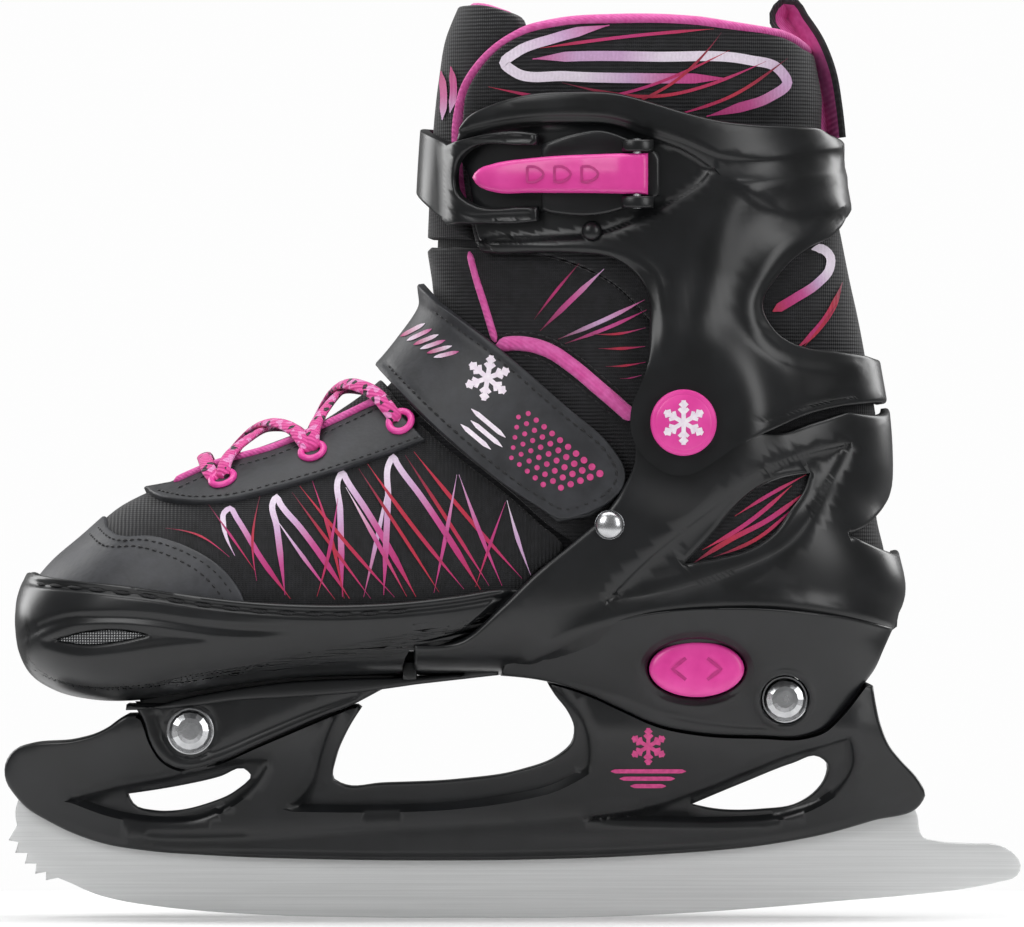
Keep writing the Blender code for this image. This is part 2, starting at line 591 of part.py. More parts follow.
# skirts over the holder's rear tower
SKIRT = spline(SKIRT_LOW + [(-2.0, 73.0, 0), (8.0, 77.0), (24.5, 83.0), (38.1, 85.9), (60.0, 87.4), (84.0, 86.0),
                            (100.0, 83.4)], 8.0, True)


def skirt_out(x, z):
    base = np.interp(z, [51.0, 57.0, 63.0, 70.0, 76.0, 82.0, 88.0], [19.8, 21.4, 24.4, 29.4, 33.2, 36.4, 38.6])
    heel = np.sqrt(np.clip(1 - (np.clip(x - 68.0, 0, 41) / 40.8) ** 2, 0.02, 1))
    toe = 1 - 0.10 * np.clip((20.0 - x) / 24.0, 0, 1)
    return base * heel * toe


for label, sign in (("lateral", -1), ("medial", 1)):
    plate = slab("skirt_" + label, [SKIRT], lambda x, z, k=sign: k * skirt_out(x, z),
                 lambda x, z, k=sign: k * np.maximum(skirt_out(x, z) - 4.4, 0.4), BLACK, 8.0, hidden=True)
    boolean(rear_shell, plate, "UNION")

# the floor carried forward under the toe cap, and its lugs over the front tower
SOLE = spline([(-108.4, 58.6, 0), (-108.2, 60.2, 0), (-100.0, 60.0), (-93.0, 61.8), (-78.0, 64.6), (-61.5, 66.7),
               (-45.0, 67.5), (-27.0, 67.9, 0), (-14.0, 68.8, 0), (-14.0, 70.6, 0), (-4.0, 70.6, 0), (-4.0, 68.4, 0),
               (-27.0, 65.8, 0), (-45.0, 63.4), (-61.5, 62.2), (-78.0, 61.2), (-93.0, 59.2), (-101.0, 58.8)],
              8.0, True)
sole = slab("sole_beam", [SOLE], -20.5, 20.5, BLACK, hidden=True)
boolean(rear_shell, sole, "UNION")
LUG_LOOP = spline(LUG + [(-45.0, 66.2, 0), (-61.5, 65.4), (-78.0, 63.2), (-93.0, 60.6, 0)], 8.0, True)
for label, y0, y1 in (("lateral", -19.9, -15.0), ("medial", 15.0, 19.9)):
    boolean(rear_shell, slab("front_lug_" + label, [LUG_LOOP], y0, y1, BLACK, hidden=True), "UNION")

# bolt holes through the lugs, the skirts and the holder
for label, (x, z) in (("front", FRONT_BOLT), ("rear", REAR_BOLT)):
    hole = turned(label + "_bolt_hole", (x, 0.0, z), [(-40, 3.4), (40, 3.4)], BLACK, 12, hidden=True)
    for body in (holder, rear_shell):
        boolean(body, hole, "DIFFERENCE")
    seat = 20.2 if label == "front" else float(skirt_out(np.array([x]), np.array([z]))[0]) + 0.4
    if label == "rear":
        for name, y0, y1 in (("lateral", -40.0, -seat + 2.6), ("medial", seat - 2.6, 40.0)):
            bore = turned(label + "_counterbore_" + name, (x, 0.0, z), [(y0, 6.7), (y1, 6.7)], BLACK, 20, hidden=True)
            boolean(rear_shell, bore, "DIFFERENCE")
        seat -= 2.6
    h = BOLT_HEAD_R
    turned(label + "_bolt", (x, 0.0, z), [(-seat - 3.4, h * 0.42), (-seat - 3.3, h * 0.62), (-seat - 2.6, h * 0.88),
                                          (-seat - 1.5, h), (-seat - 0.3, h), (-seat - 0.3, 3.0), (9.0, 3.0)],
           ZINC, 16)
    turned(label + "_barrel_nut", (x, 0.0, z), [(9.4, 2.9), (seat + 0.3, 2.9), (seat + 0.3, h), (seat + 1.5, h),
                                                (seat + 2.6, h * 0.88), (seat + 3.1, h * 0.62)], ZINC, 16)

# ---- toe cap: a cup round the toe, open along its rim, with a tail under the shell's arms ----
RIM = [(-139.6, 97.4), (-127.1, 95.7), (-110.7, 94.1), (-94.2, 91.7), (-77.8, 89.6), (-61.5, 88.5), (-44.9, 88.3),
       (-28.5, 89.2), (-14.7, 90.9), (-3.0, 92.6), (4.3, 92.2)]
CAP_EDGE = [(4.3, 94.2), (-3.5, 86.4), (-15.4, 76.2), (-21.0, 70.0), (-26.0, 64.0)]
rim_line = spline(RIM, 3.0)
rim_s, rim_v = locate(rim_line, CAP[0] - 0.5)
rim_v[0] = 1.0
rim_start = rim_s[rim_v > 0.985].max() if (rim_v > 0.985).any() else rim_s[0]
keep = rim_s >= rim_start
order = np.argsort(rim_s[keep])
rim_s, rim_v = rim_s[keep][order], rim_v[keep][order]


def cap_top(s):
    return np.where(s < rim_start, 1.0, np.interp(s, rim_s, rim_v))


TAIL_SIDE = [(-31.0, 69.0), (-31.0, 73.0), (-29.0, 77.2), (-21.0, 80.6), (-9.0, 82.4), (3.0, 88.0), (12.0, 93.6)]
tail_line_s, tail_line_v = locate(spline(TAIL_SIDE, 2.0), 2.0)
tail_line_v[0] = 0.0
tail_order = np.argsort(tail_line_v)
tail_line_s, tail_line_v = tail_line_s[tail_order], tail_line_v[tail_order]


def cap_out(x, y, z):
    """Full thickness in front of the arms, and a thin tail behind their edge."""
    edge = np.interp(z, [70.0, 76.2, 86.4, 94.2], [-23.0, -17.4, -5.5, 2.3])
    t = np.clip((edge - x) / 3.0, 0, 1)
    side = np.clip((z - 73.0) / 3.0, 0, 1)
    return CAP[0] * (1 - side) + (2.1 + (CAP[0] - 2.1) * t) * side


CAP_ROWS, CAP_COLS = 18, 12


def cap_grid(d):
    rows = []
    for r in range(CAP_ROWS + 1):
        t = (r / CAP_ROWS) ** 1.25
        f = np.arange(-CAP_COLS, CAP_COLS + 1) / CAP_COLS
        s = np.full(len(f), t * tail_line_s[0])
        for _ in range(6):
            v = f * cap_top(s)
            s = t * np.interp(np.abs(v), tail_line_v, tail_line_s)
        v = f * cap_top(s)
        flat = boot(s, v, 0.0)
        depth = d(flat[:, 0], flat[:, 1], flat[:, 2]) if callable(d) else d
        rows.append(boot(s, v, depth))
    return rows


def cap_mesh():
    layers = [cap_grid(cap_out), cap_grid(CAP[1])]
    columns = 2 * CAP_COLS + 1
    closed_rows = [r for r in range(CAP_ROWS + 1)
                   if np.linalg.norm(layers[0][r][0] - layers[0][r][-1]) < 1e-6]
    last_closed = max(closed_rows)
    index, verts = {}, []
    for k, layer in enumerate(layers):
        for r, row in enumerate(layer):
            for c in range(columns):
                if r <= last_closed and c == columns - 1:
                    index[k, r, c] = index[k, r, 0]
                    continue
                index[k, r, c] = len(verts)
                verts.append(row[c])
    faces = []
    for r in range(CAP_ROWS):
        for c in range(columns - 1):
            for k in (0, 1):
                quad = (index[k, r, c], index[k, r, c + 1], index[k, r + 1, c + 1], index[k, r + 1, c])
                faces.append(quad if k == 0 else quad[::-1])
    rim = [(r, 0) for r in range(last_closed, CAP_ROWS)] + [(CAP_ROWS, c) for c in range(columns)]
    rim += [(r, columns - 1) for r in range(CAP_ROWS - 1, last_closed - 1, -1)]
    for a, b in zip(rim[:-1], rim[1:]):
        faces.append((index[0, *a], index[0, *b], index[1, *b], index[1, *a]))
    for k in (0, 1):
        ring = [index[k, 0, c] for c in range(columns - 1)]
        faces.append(tuple(ring[::-1] if k == 0 else ring))
    return np.array(verts), faces


cap_verts, cap_faces = cap_mesh()
toe_cap = make("toe_cap", cap_verts, cap_faces, BLACK)
RACK_Z = (72.3, 74.9)
RACK = spline([(-40.0, 69.4, 0), (-31.6, 69.4, 0), (-29.4, RACK_Z[0], 0), (62.0, RACK_Z[0], 0), (62.0, RACK_Z[1], 0),
               (-37.0, RACK_Z[1], 0), (-40.0, 73.0, 0)], 30.0, True)
boolean(toe_cap, slab("rack_bar", [RACK], -9.0, 9.0, BLACK, hidden=True), "UNION")
for k in range(7):
    x = 32.0 + 3.333 * k
    notch_cut = slab("rack_notch_%d" % k, [np.array([(x - 0.9, 70.0), (x + 0.9, 70.0), (x + 0.9, 77.0),
                                                     (x - 0.9, 77.0)])], 6.4, 12.0, BLACK, hidden=True)
    boolean(toe_cap, notch_cut, "DIFFERENCE")

# vent grilles set in windows of the toe cap
VENT = [(-127.0, 78.1, 0), (-121.0, 80.0), (-114.7, 80.9), (-107.0, 80.6), (-102.1, 79.7, 0), (-110.7, 77.9),
        (-119.5, 77.0)]
for label, side in (("lateral", -1), ("medial", 1)):
    line = spline(VENT, 4.0, True)
    wide = line.mean(0) + (line - line.mean(0)) * (1.06, 1.45)
    hole = chart(wide, CAP[0], side)
    boolean(toe_cap, skin("vent_cutter_" + label, [hole], CAP[0] + 1.5, CAP[1] - 1.0, BLACK, 6.0, hidden=True),
            "DIFFERENCE")
    small = line.mean(0) + (line - line.mean(0)) * 0.95
    skin("vent_mesh_" + label, [chart(small, CAP[0], side)], CAP[0] - 1.2, CAP[1] + 0.4, MESH_GREY, 6.0)

# ---- inner boot and insole ----
LINER_TOP = [(101.8, 144.0), (84.0, 144.0), (60.0, 145.5), (30.0, 150.0), (0.0, 158.0), (-26.0, 166.0)]
tube_skin("inner_boot", lambda v: np.full(len(v), 0.004), edge_by_side(LINER_TOP, LINER[0]), LINER[0], LINER[1],
          16, 22, PADDING, pole=True)
insole_loop = np.array([(s * S_MM, k * w * V_MM) for k, stations in ((1, (0.10, 0.16, 0.24, 0.34, 0.44, 0.50)),
                                                                    (-1, (0.50, 0.44, 0.34, 0.24, 0.16, 0.10)))
                        for s, w in [(q, {0.10: 0.06, 0.16: 0.18, 0.24: 0.22, 0.34: 0.19, 0.44: 0.16, 0.50: 0.10}[q])
                                     for q in stations]])
skin("insole", [insole_loop], LINER[1] - 0.8, LINER[1] - 3.6, PADDING, 16.0)

# ---- fabric uppers ----
VAMP_HALF = [(-137.0, 88.0, 0), (-126.0, 84.0), (-108.0, 80.0), (-80.0, 78.0), (-45.0, 78.5), (-20.0, 81.0),
             (-2.0, 86.0, 0), (6.0, 97.0), (14.0, 104.5), (8.5, 110.0, 0), (0.6, 117.2), (-20.6, 134.0),
             (-33.0, 146.0), (-38.6, 153.0, 0)]
vamp_edge = chart(spline(VAMP_HALF[1:], 6.0), FABRIC[0])
toe_s = vamp_edge[0, 0]
vamp_edge[-1, 1] = V_MM
arc_start = np.array([(toe_s * 0.62, 0.80 * V_MM), (toe_s * 0.80, 0.64 * V_MM)])
front_tip = np.array([[toe_s * 0.52, V_MM]])
vamp_half = np.concatenate([front_tip, arc_start, vamp_edge])
vamp_loop = np.concatenate([vamp_half, vamp_half[::-1][1:-1] * (1, -1) + (0, 2 * V_MM)])
vamp = skin("vamp", [vamp_loop], FABRIC[0], FABRIC[1], SOFT_BLACK, 11.0)

ANKLE_LOW = [(106.0, 97.0), (80.0, 94.0), (50.0, 96.0), (28.0, 99.0), (19.0, 104.5), (10.0, 110.6), (2.0, 117.8),
             (-19.2, 135.4), (-31.0, 146.8), (-36.6, 154.8)]
COLLAR_LOW = [(101.6, 147.4), (84.0, 147.6), (60.0, 150.5), (46.0, 158.0), (38.0, 168.0), (28.0, 178.0), (14.0, 184.6),
              (0.0, 187.4), (-23.9, 188.6)]
ANKLE_HIGH = moved(COLLAR_LOW, 0.0, -1.6)
tube_skin("ankle_section", edge_by_side(ANKLE_LOW, FABRIC[0]), edge_by_side(ANKLE_HIGH, FABRIC[0]), FABRIC[0],
          FABRIC[1], 5, 32, SOFT_BLACK)

COLLAR_HALF = [(101.6, 147.4, 0), (84.0, 147.6), (60.0, 150.5), (46.0, 158.0), (38.0, 168.0), (28.0, 178.0),
               (14.0, 184.6), (0.0, 187.4), (-10.6, 188.2, 0), (-12.6, 196.0), (-14.6, 210.0), (-14.4, 224.4),
               (-12.0, 233.4), (-8.3, 239.0), (-2.7, 244.5), (3.8, 248.2), (13.0, 250.4), (27.9, 251.4),
               (41.9, 251.4), (55.8, 250.4), (69.6, 248.6), (77.1, 246.3), (82.0, 243.0, 0)]
collar_loop = wrap_back(spline(COLLAR_HALF, 6.5), COLLAR[0])
skin("collar_liner", [collar_loop], COLLAR[0], COLLAR[1], SOFT_BLACK, 11.0)

TONGUE_HALF = [(-23.9, 190.8, 0), (-12.2, 190.4, 0), (-13.4, 196.0), (-15.4, 210.0), (-15.2, 224.8), (-12.8, 234.0),
               (-9.0, 240.0), (-3.2, 245.6), (2.0, 248.8), (1.0, 252.0), (-4.6, 255.1), (-9.2, 256.4),
               (-14.6, 256.4, 0)]
tongue_loop = wrap_top(spline(TONGUE_HALF, 6.5), 0.0)
skin("tongue", [tongue_loop], 0.0, -4.4, LEATHER, 8.0)

# ---- eyestays, eyelets and laces ----
EYELETS = [(-81.1, 123.4), (-56.0, 131.1), (-31.4, 139.4)]
STAY_LOW = [(-103.5, 121.0, 0), (-100.5, 119.1), (-90.6, 117.2), (-80.5, 117.6), (-65.5, 121.1), (-45.5, 127.1),
            (-24.6, 134.5, 0)]
STAY_HIGH = [(-36.2, 146.4, 0), (-51.5, 139.0), (-65.5, 132.8), (-85.5, 126.8), (-95.0, 122.6, 0)]
for label, side in (("lateral", -1), ("medial", 1)):
    stay = skin("eyestay_" + label, [chart(spline(STAY_LOW + STAY_HIGH, 7.0, True), 1.5, side)], 2.4, 0.9, LEATHER, 7.0)
    for k, place in enumerate(EYELETS):
        s, v = locate([place], 1.9)
        v = v if side < 0 else 2 - v
        centre = boot(s, v, 0.9)[0]
        up = boot(s, v, 5.0)[0] - centre
        up /= np.linalg.norm(up)
        across = np.cross(up, (0.0, 0.0, 1.0))
        across /= np.linalg.norm(across)
        other = np.cross(up, across)

        def ring(profile, name, hidden=False, sides=10):
            verts, faces = [], []
            for h, r in profile:
                for q in range(sides):
                    a = 2 * math.pi * q / sides
                    verts.append(centre + up * h + (across * math.cos(a) + other * math.sin(a)) * r)
            n = len(profile)
            for i in range(n):
                for q in range(sides):
                    j, w = (i + 1) % n, (q + 1) % sides
                    faces.append((i * sides + q, i * sides + w, j * sides + w, j * sides + q))
            return make(name, verts, faces, PINK, hidden)
        ring([(1.9, 2.1), (2.7, 2.6), (2.7, 3.6), (1.9, 4.2)], "eyelet_%s_%d" % (label, k + 1))


def lace_strand(name, start, end, height):
    """Flat strand from one eyelet over the top ridge to the far side, along chart places."""
    (s0, v0), (s1, v1) = start, end
    n = 9
    t = np.linspace(0, 1, n + 1)
    s, v = s0 + (s1 - s0) * t, v0 + (v1 - v0) * t
    rise = height + 0.0 * t
    path = boot(s, v, rise)
    up = boot(s, v, rise + 1.0) - path
    along = np.gradient(path, axis=0)
    along /= np.linalg.norm(along, axis=1, keepdims=True)
    across = np.cross(along, up)
    across /= np.linalg.norm(across, axis=1, keepdims=True)
    verts, faces, sides = [], [], 6
    for k in range(n + 1):
        for q in range(sides):
            a = 2 * math.pi * (q + 0.5) / sides
            verts.append(path[k] + across[k] * 2.0 * math.cos(a) + up[k] * 0.8 * math.sin(a))
    for k in range(n):
        for q in range(sides):
            w = (q + 1) % sides
            faces.append((k * sides + q, k * sides + w, (k + 1) * sides + w, (k + 1) * sides + q))
    faces.append(tuple(reversed(range(sides))))
    faces.append(tuple(n * sides + q for q in range(sides)))
    return make(name, verts, faces, LACE)


eyelet_s, eyelet_v = locate(EYELETS, 1.9)
exit_s, exit_v = locate([(-63.0, 134.0), (-44.0, 141.5)], 1.9)
for k in range(2):
    over = 0.06
    lace_strand("lace_lateral_%d" % (k + 1), (eyelet_s[k] + 0.012, eyelet_v[k] + over),
                (exit_s[k] + 0.010, 2 - exit_v[k] + 0.02), 5.4)
    lace_strand("lace_medial_%d" % (k + 1), (eyelet_s[k] + 0.012, 2 - eyelet_v[k] - over),
                (exit_s[k] + 0.010, exit_v[k] - 0.02), 7.9)
lace_strand("lace_bar", (eyelet_s[0] - 0.012, eyelet_v[0] + 0.09), (eyelet_s[0] - 0.012, 2 - eyelet_v[0] - 0.09), 3.9)

# ---- instep strap: lateral anchor tab, medial part, and the flap that peels up ----
RIDGE_D = 3.4
TAB = [(12.5, 111.4, 0), (22.0, 113.0, 0), (28.0, 117.0, 0), (30.2, 121.5, 0), (29.0, 126.5, 0), (14.4, 140.0, 0),
       (0.0, 152.0, 0), (-10.0, 148.0, 0), (-14.0, 134.0, 0), (2.0, 119.8, 0)]
skin("strap_anchor_tab", [chart(spline(TAB, 8.0, True), 1.0)], 1.9, 0.6, LEATHER, 9.0)
FLAP_EDGE = [(-22.4, 173.4, 0), (-6.6, 162.0), (14.4, 144.1), (28.4, 131.2), (31.0, 127.0), (31.3, 122.1),
             (27.3, 117.2), (20.3, 113.6), (13.2, 112.2), (6.5, 116.0), (-20.6, 137.0), (-38.6, 155.2, 0)]
flap_edge = chart(spline(FLAP_EDGE, 6.0), 4.0)
SPLIT = 2.0
flap_edge[0, 1] = flap_edge[-1, 1] = V_MM - SPLIT
skin("strap_flap", [flap_edge], 4.2, 2.4, LEATHER, 8.0)
MEDIAL_EDGE = FLAP_EDGE[:3] + [(24.0, 135.0, 0), (12.0, 120.5, 0)] + FLAP_EDGE[9:]
medial_edge = chart(spline(MEDIAL_EDGE, 6.0), 4.0)
medial_edge[0, 1] = medial_edge[-1, 1] = V_MM - SPLIT
medial_edge[:, 1] = 2 * V_MM - medial_edge[:, 1]
skin("instep_strap", [medial_edge], 4.2, 2.4, LEATHER, 8.0)


def half_y(x, z, d):
    return float(half_width(np.array([x], float), np.array([z], float), d)[0])


rivet_y = half_y(27.0, 110.6, 5.2)
turned("strap_rivet_lateral", (27.0, 0.0, 110.6), [(-rivet_y - 2.9, 1.6), (-rivet_y - 2.6, 2.8), (-rivet_y - 1.6, 3.9),
                                                    (-rivet_y - 0.9, 4.0)], ZINC, 16)
turned("strap_rivet_medial", (10.0, 0.0, 130.0), [(half_y(10.0, 130.0, 4.2) + 1.0, 4.0), (half_y(10.0, 130.0, 4.2) + 1.7, 3.9),
                                                  (half_y(10.0, 130.0, 4.2) + 2.7, 2.8), (half_y(10.0, 130.0, 4.2) + 3.0, 1.6)],
       ZINC, 16)

# ---- size button, latch and spring ----
wall = float(skirt_out(np.array([BUTTON[0]]), np.array([BUTTON[1]]))[0])
button_hole = turned("button_hole", (BUTTON[0], 0.0, BUTTON[1]), [(-45.0, BUTTON_RZ + 0.5), (-24.5, BUTTON_RZ + 0.5)],
                     BLACK, 28, hidden=True, rx=(BUTTON_RX + 0.5) / (BUTTON_RZ + 0.5))
boolean(rear_shell, button_hole, "DIFFERENCE")
stem_hole = slab("stem_hole", [np.array([(47.6, 71.6), (55.2, 71.6), (55.2, 75.7), (47.6, 75.7)])], -45.0, -11.0, BLACK,
                 hidden=True)
boolean(rear_shell, stem_hole, "DIFFERENCE")
size_button = turned("size_button", (BUTTON[0], 0.0, BUTTON[1]),
                     [(-wall - 2.6, BUTTON_RZ - 1.6), (-wall - 2.2, BUTTON_RZ - 0.5), (-wall - 1.4, BUTTON_RZ),
                      (-wall + 0.4, BUTTON_RZ)], PINK, 28, rx=BUTTON_RX / BUTTON_RZ)
stem = slab("button_stem", [np.array([(48.4, 72.4), (54.4, 72.4), (54.4, 74.8), (48.4, 74.8)])], -wall, -13.6, BLACK,
            hidden=True)
boolean(size_button, stem, "UNION")
turned("button_spring", (51.4, 0.0, 68.2), [(-wall + 0.9, 2.4), (-24.9, 2.4)], ZINC, 12)

# ---- cuff ----
CUFF_HALF = [
    (94.5, 198.0, 0), (93.4, 195.1), (90.6, 191.8), (83.6, 188.2), (78.0, 184.0), (73.5, 178.8), (70.7, 174.7), (70.1, 170.9),
    (71.5, 167.3), (75.2, 163.1), (81.9, 160.3), (90.0, 159.3, 0), (101.0, 158.0, 0)]
CUFF_LOW = [
    (105.6, 145.2, 0), (94.5, 143.9, 0), (80.0, 140.4), (70.7, 136.5), (61.5, 132.0), (54.7, 127.3), (50.3, 125.0),
    (44.7, 124.5), (39.1, 127.3), (34.9, 132.0), (33.0, 137.6), (33.5, 144.1), (35.8, 149.7), (37.7, 155.3),
    (38.2, 165.3), (37.9, 174.6), (35.4, 179.3), (31.6, 183.0), (26.2, 185.4), (19.5, 186.1), (-3.6, 186.1, 0),
    (-9.0, 186.6, 0), (-11.2, 191.4), (-13.6, 205.0), (-15.6, 220.2), (-12.8, 224.4), (-5.5, 228.1), (5.7, 230.9),
    (16.7, 231.4), (29.0, 230.9), (38.2, 228.6), (47.5, 225.8), (57.5, 223.4), (67.9, 222.3), (79.9, 221.9),
    (86.4, 221.3), (89.0, 218.6, 0)]


def cuff_bump(x, z):
    r = np.hypot(x - PIVOT[0], (z - PIVOT[1]) * 1.0)
    w = np.clip((44.0 - r) / 26.0, 0, 1)
    side = np.clip((94.0 - x) / 16.0, 0, 1)
    return CUFF_LIFT * w * w * (3 - 2 * w) * side


def cuff_out(x, y, z):
    return CUFF[0] + cuff_bump(x, z)


def cuff_in(x, y, z):
    return CUFF[1] + cuff_bump(x, z)


def cuff_shape(p, outer):
    return flatten(p, PIVOT_CUFF_OUT if outer else PIVOT_CUFF_IN, 15.5, 32.0)


cuff_outline = wrap_back(spline(CUFF_LOW, 6.0), CUFF[0])
window_half = chart(spline(CUFF_HALF, 6.0), CUFF[0])
window_half[0, 1] = window_half[-1, 1] = 0.0
window_loop = np.concatenate([window_half, window_half[::-1][1:-1] * (1, -1)])
cuff = skin("cuff", [cuff_outline, window_loop], cuff_out, cuff_in, BLACK, 10.0, cuff_shape)
for label, sign in (("lateral", -1), ("medial", 1)):
    pin_hole = turned("pivot_hole_" + label, (PIVOT[0], 0.0, PIVOT[1]),
                      sorted([(sign * 30.0, 3.3), (sign * 50.0, 3.3)]), BLACK, 14, hidden=True)
    boolean(cuff, pin_hole, "DIFFERENCE")
    boolean(rear_shell, pin_hole, "DIFFERENCE")
    turned("pivot_pin_" + label, (PIVOT[0], 0.0, PIVOT[1]),
           sorted([(sign * 36.8, 3.0), (sign * (PIVOT_CUFF_OUT - 0.2), 3.0)]), ZINC, 14)
    h = PIVOT_CUFF_OUT + 0.4
    turned("pivot_cap_" + label, (PIVOT[0], 0.0, PIVOT[1]),
           [(sign * h, 9.1), (sign * (h + 1.6), 9.1), (sign * (h + 2.6), 8.3), (sign * (h + 2.9), 6.0)], PINK, 20)

# pull loop at the back of the collar
PULL = [(88.0, 214.0), (89.4, 224.0), (88.8, 234.0), (86.6, 244.0), (82.4, 251.0), (78.0, 256.0), (75.6, 254.6),
        (79.2, 249.4), (83.6, 243.6), (84.6, 241.0)]
pull_outer = np.array([(91.6, 223.0), (90.6, 230.0), (88.9, 238.0), (86.4, 246.2), (82.0, 252.0), (78.0, 256.8),
                       (74.4, 252.8), (77.0, 248.6), (79.0, 249.4), (78.4, 252.4), (80.2, 250.4), (84.4, 244.6),
                       (87.2, 237.0), (88.9, 229.6), (89.9, 222.9)])
slab("pull_loop", [pull_outer], -7.0, 7.0, LACE)

# ---- buckle: base, pin, lever and the forked strap ----
CUFF_TOP = CUFF[0]


def over_cuff(d):
    return lambda x, z: -half_width(x, z, CUFF_TOP + d)


BASE = [(8.0, 216.6, 0), (16.8, 219.6), (24.2, 220.6), (33.5, 217.6), (41.0, 214.0, 0), (41.0, 202.6, 0), (32.6, 199.2),
        (24.2, 197.0), (8.0, 198.0, 0)]
base = slab("buckle_base", [spline(BASE, 7.0, True)], over_cuff(2.2), over_cuff(0.4), BLACK, 8.0)
axis_y = -(half_y(LEVER_AXIS[0], LEVER_AXIS[1], CUFF_TOP) + 6.4)
for k, (z0, z1) in enumerate(((198.9, 202.2), (214.6, 217.9))):
    ear = slab("lever_ear_%d" % k, [np.array([(31.2, z0), (38.0, z0), (38.0, z1), (31.2, z1)])], axis_y - 2.6,
               axis_y + 5.4, BLACK, hidden=True)
    boolean(base, ear, "UNION")
pin_bore = turned("lever_pin_bore", (LEVER_AXIS[0], axis_y, 0.0), [(190.0, 1.5), (230.0, 1.5)], BLACK, 12, "Z", True)
boolean(base, pin_bore, "DIFFERENCE")
turned("lever_pin", (LEVER_AXIS[0], axis_y, 0.0), [(198.7, 1.2), (218.1, 1.2)], ZINC, 12, "Z")

LEVER = [(-11.3, 207.6), (-9.4, 210.0), (-6.0, 211.2), (5.7, 212.9), (24.2, 213.9), (37.7, 214.1, 0), (37.7, 202.6, 0), (24.2, 203.0),
         (5.0, 203.2), (-5.0, 203.4), (-9.6, 205.2)]


def lever_y(extra):
    def at(x, z):
        level = np.full(len(x), LEVER_AXIS[1])
        follow = -half_width(np.minimum(x, 26.0), level, CUFF_TOP + 3.2) - extra
        t = np.clip((x - 20.0) / 10.0, 0, 1)
        return follow * (1 - t) + (axis_y + 2.4 - extra * 1.45) * t
    return at


lever = slab("buckle_lever", [spline(LEVER, 6.0, True)], lever_y(3.3), lever_y(0.0), PINK, 8.0)
boolean(lever, pin_bore, "DIFFERENCE")

FORK = [
    (-20.6, 217.0, 0), (-17.5, 217.6), (-8.3, 219.6), (1.0, 220.4), (6.6, 219.6, 0), (6.6, 216.4, 0), (0.0, 216.4, 0),
    (-12.0, 215.6), (-15.6, 212.4), (-16.8, 207.6), (-15.6, 203.0), (-12.0, 200.2), (0.0, 199.4, 0), (6.6, 199.4, 0),
    (6.6, 195.2, 0), (1.0, 194.6), (-8.3, 194.6), (-17.5, 194.6), (-20.6, 194.4, 0)]
BAND_D = (7.0, 4.5)


def band_lift(x):
    return np.clip((-16.4 - x) / 6.0, 0, 1) * 3.3


fork = chart(spline(FORK, 5.0), BAND_D[0])
band_far = locate([(8.0, 214.0), (8.0, 198.0)], BAND_D[0])
far_top = np.array([band_far[0][0] * S_MM, (2 - band_far[1][0]) * V_MM])
far_low = np.array([band_far[0][1] * S_MM, (2 - band_far[1][1]) * V_MM])
band_loop = np.concatenate([fork[:-1], straight(fork[-1], far_low, 7.0), straight(far_low, far_top, 5.0),
                            straight(far_top, fork[0], 7.0)])
skin("cuff_strap", [band_loop], lambda x, y, z: BAND_D[0] - band_lift(x), lambda x, y, z: BAND_D[1] - band_lift(x),
     BLACK, 7.0)
anchor_y = half_y(2.0, 206.0, BAND_D[0])
turned("strap_anchor_rivet", (2.0, 0.0, 206.0), [(anchor_y + 1.3, 4.0), (anchor_y + 2.2, 3.9), (anchor_y + 3.2, 2.6)],
       ZINC, 16)
base_y = half_y(15.0, 192.6, CUFF_TOP)
turned("base_rivet", (22.0, 0.0, 192.6), [(-half_y(22.0, 192.6, CUFF_TOP) - 2.4, 1.6), (-half_y(22.0, 192.6, CUFF_TOP) - 1.4, 2.6),
                                         (-half_y(22.0, 192.6, CUFF_TOP) - 0.7, 2.7)], ZINC, 14)
print("pivot half width", half_y(*PIVOT, 0.0), "lever axis y", axis_y, "wall", wall)
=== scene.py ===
import math

import bpy
import numpy as np
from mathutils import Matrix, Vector
from mathutils.geometry import delaunay_2d_cdt


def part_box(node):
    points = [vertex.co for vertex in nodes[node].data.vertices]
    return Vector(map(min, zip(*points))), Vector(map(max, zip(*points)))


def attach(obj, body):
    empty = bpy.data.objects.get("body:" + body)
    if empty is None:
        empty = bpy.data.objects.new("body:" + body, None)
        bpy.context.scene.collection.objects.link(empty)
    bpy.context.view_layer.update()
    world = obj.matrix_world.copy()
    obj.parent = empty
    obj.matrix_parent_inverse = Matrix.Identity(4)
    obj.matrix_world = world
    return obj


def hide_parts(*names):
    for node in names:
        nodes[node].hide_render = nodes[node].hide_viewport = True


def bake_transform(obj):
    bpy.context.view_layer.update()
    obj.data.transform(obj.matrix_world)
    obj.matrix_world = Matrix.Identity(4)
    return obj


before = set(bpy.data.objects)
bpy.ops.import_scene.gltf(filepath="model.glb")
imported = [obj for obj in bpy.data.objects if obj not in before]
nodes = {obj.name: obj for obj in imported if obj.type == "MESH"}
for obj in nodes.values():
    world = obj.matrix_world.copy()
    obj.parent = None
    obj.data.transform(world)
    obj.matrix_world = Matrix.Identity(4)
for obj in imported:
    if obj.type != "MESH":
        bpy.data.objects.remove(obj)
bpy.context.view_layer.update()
MM = 0.001

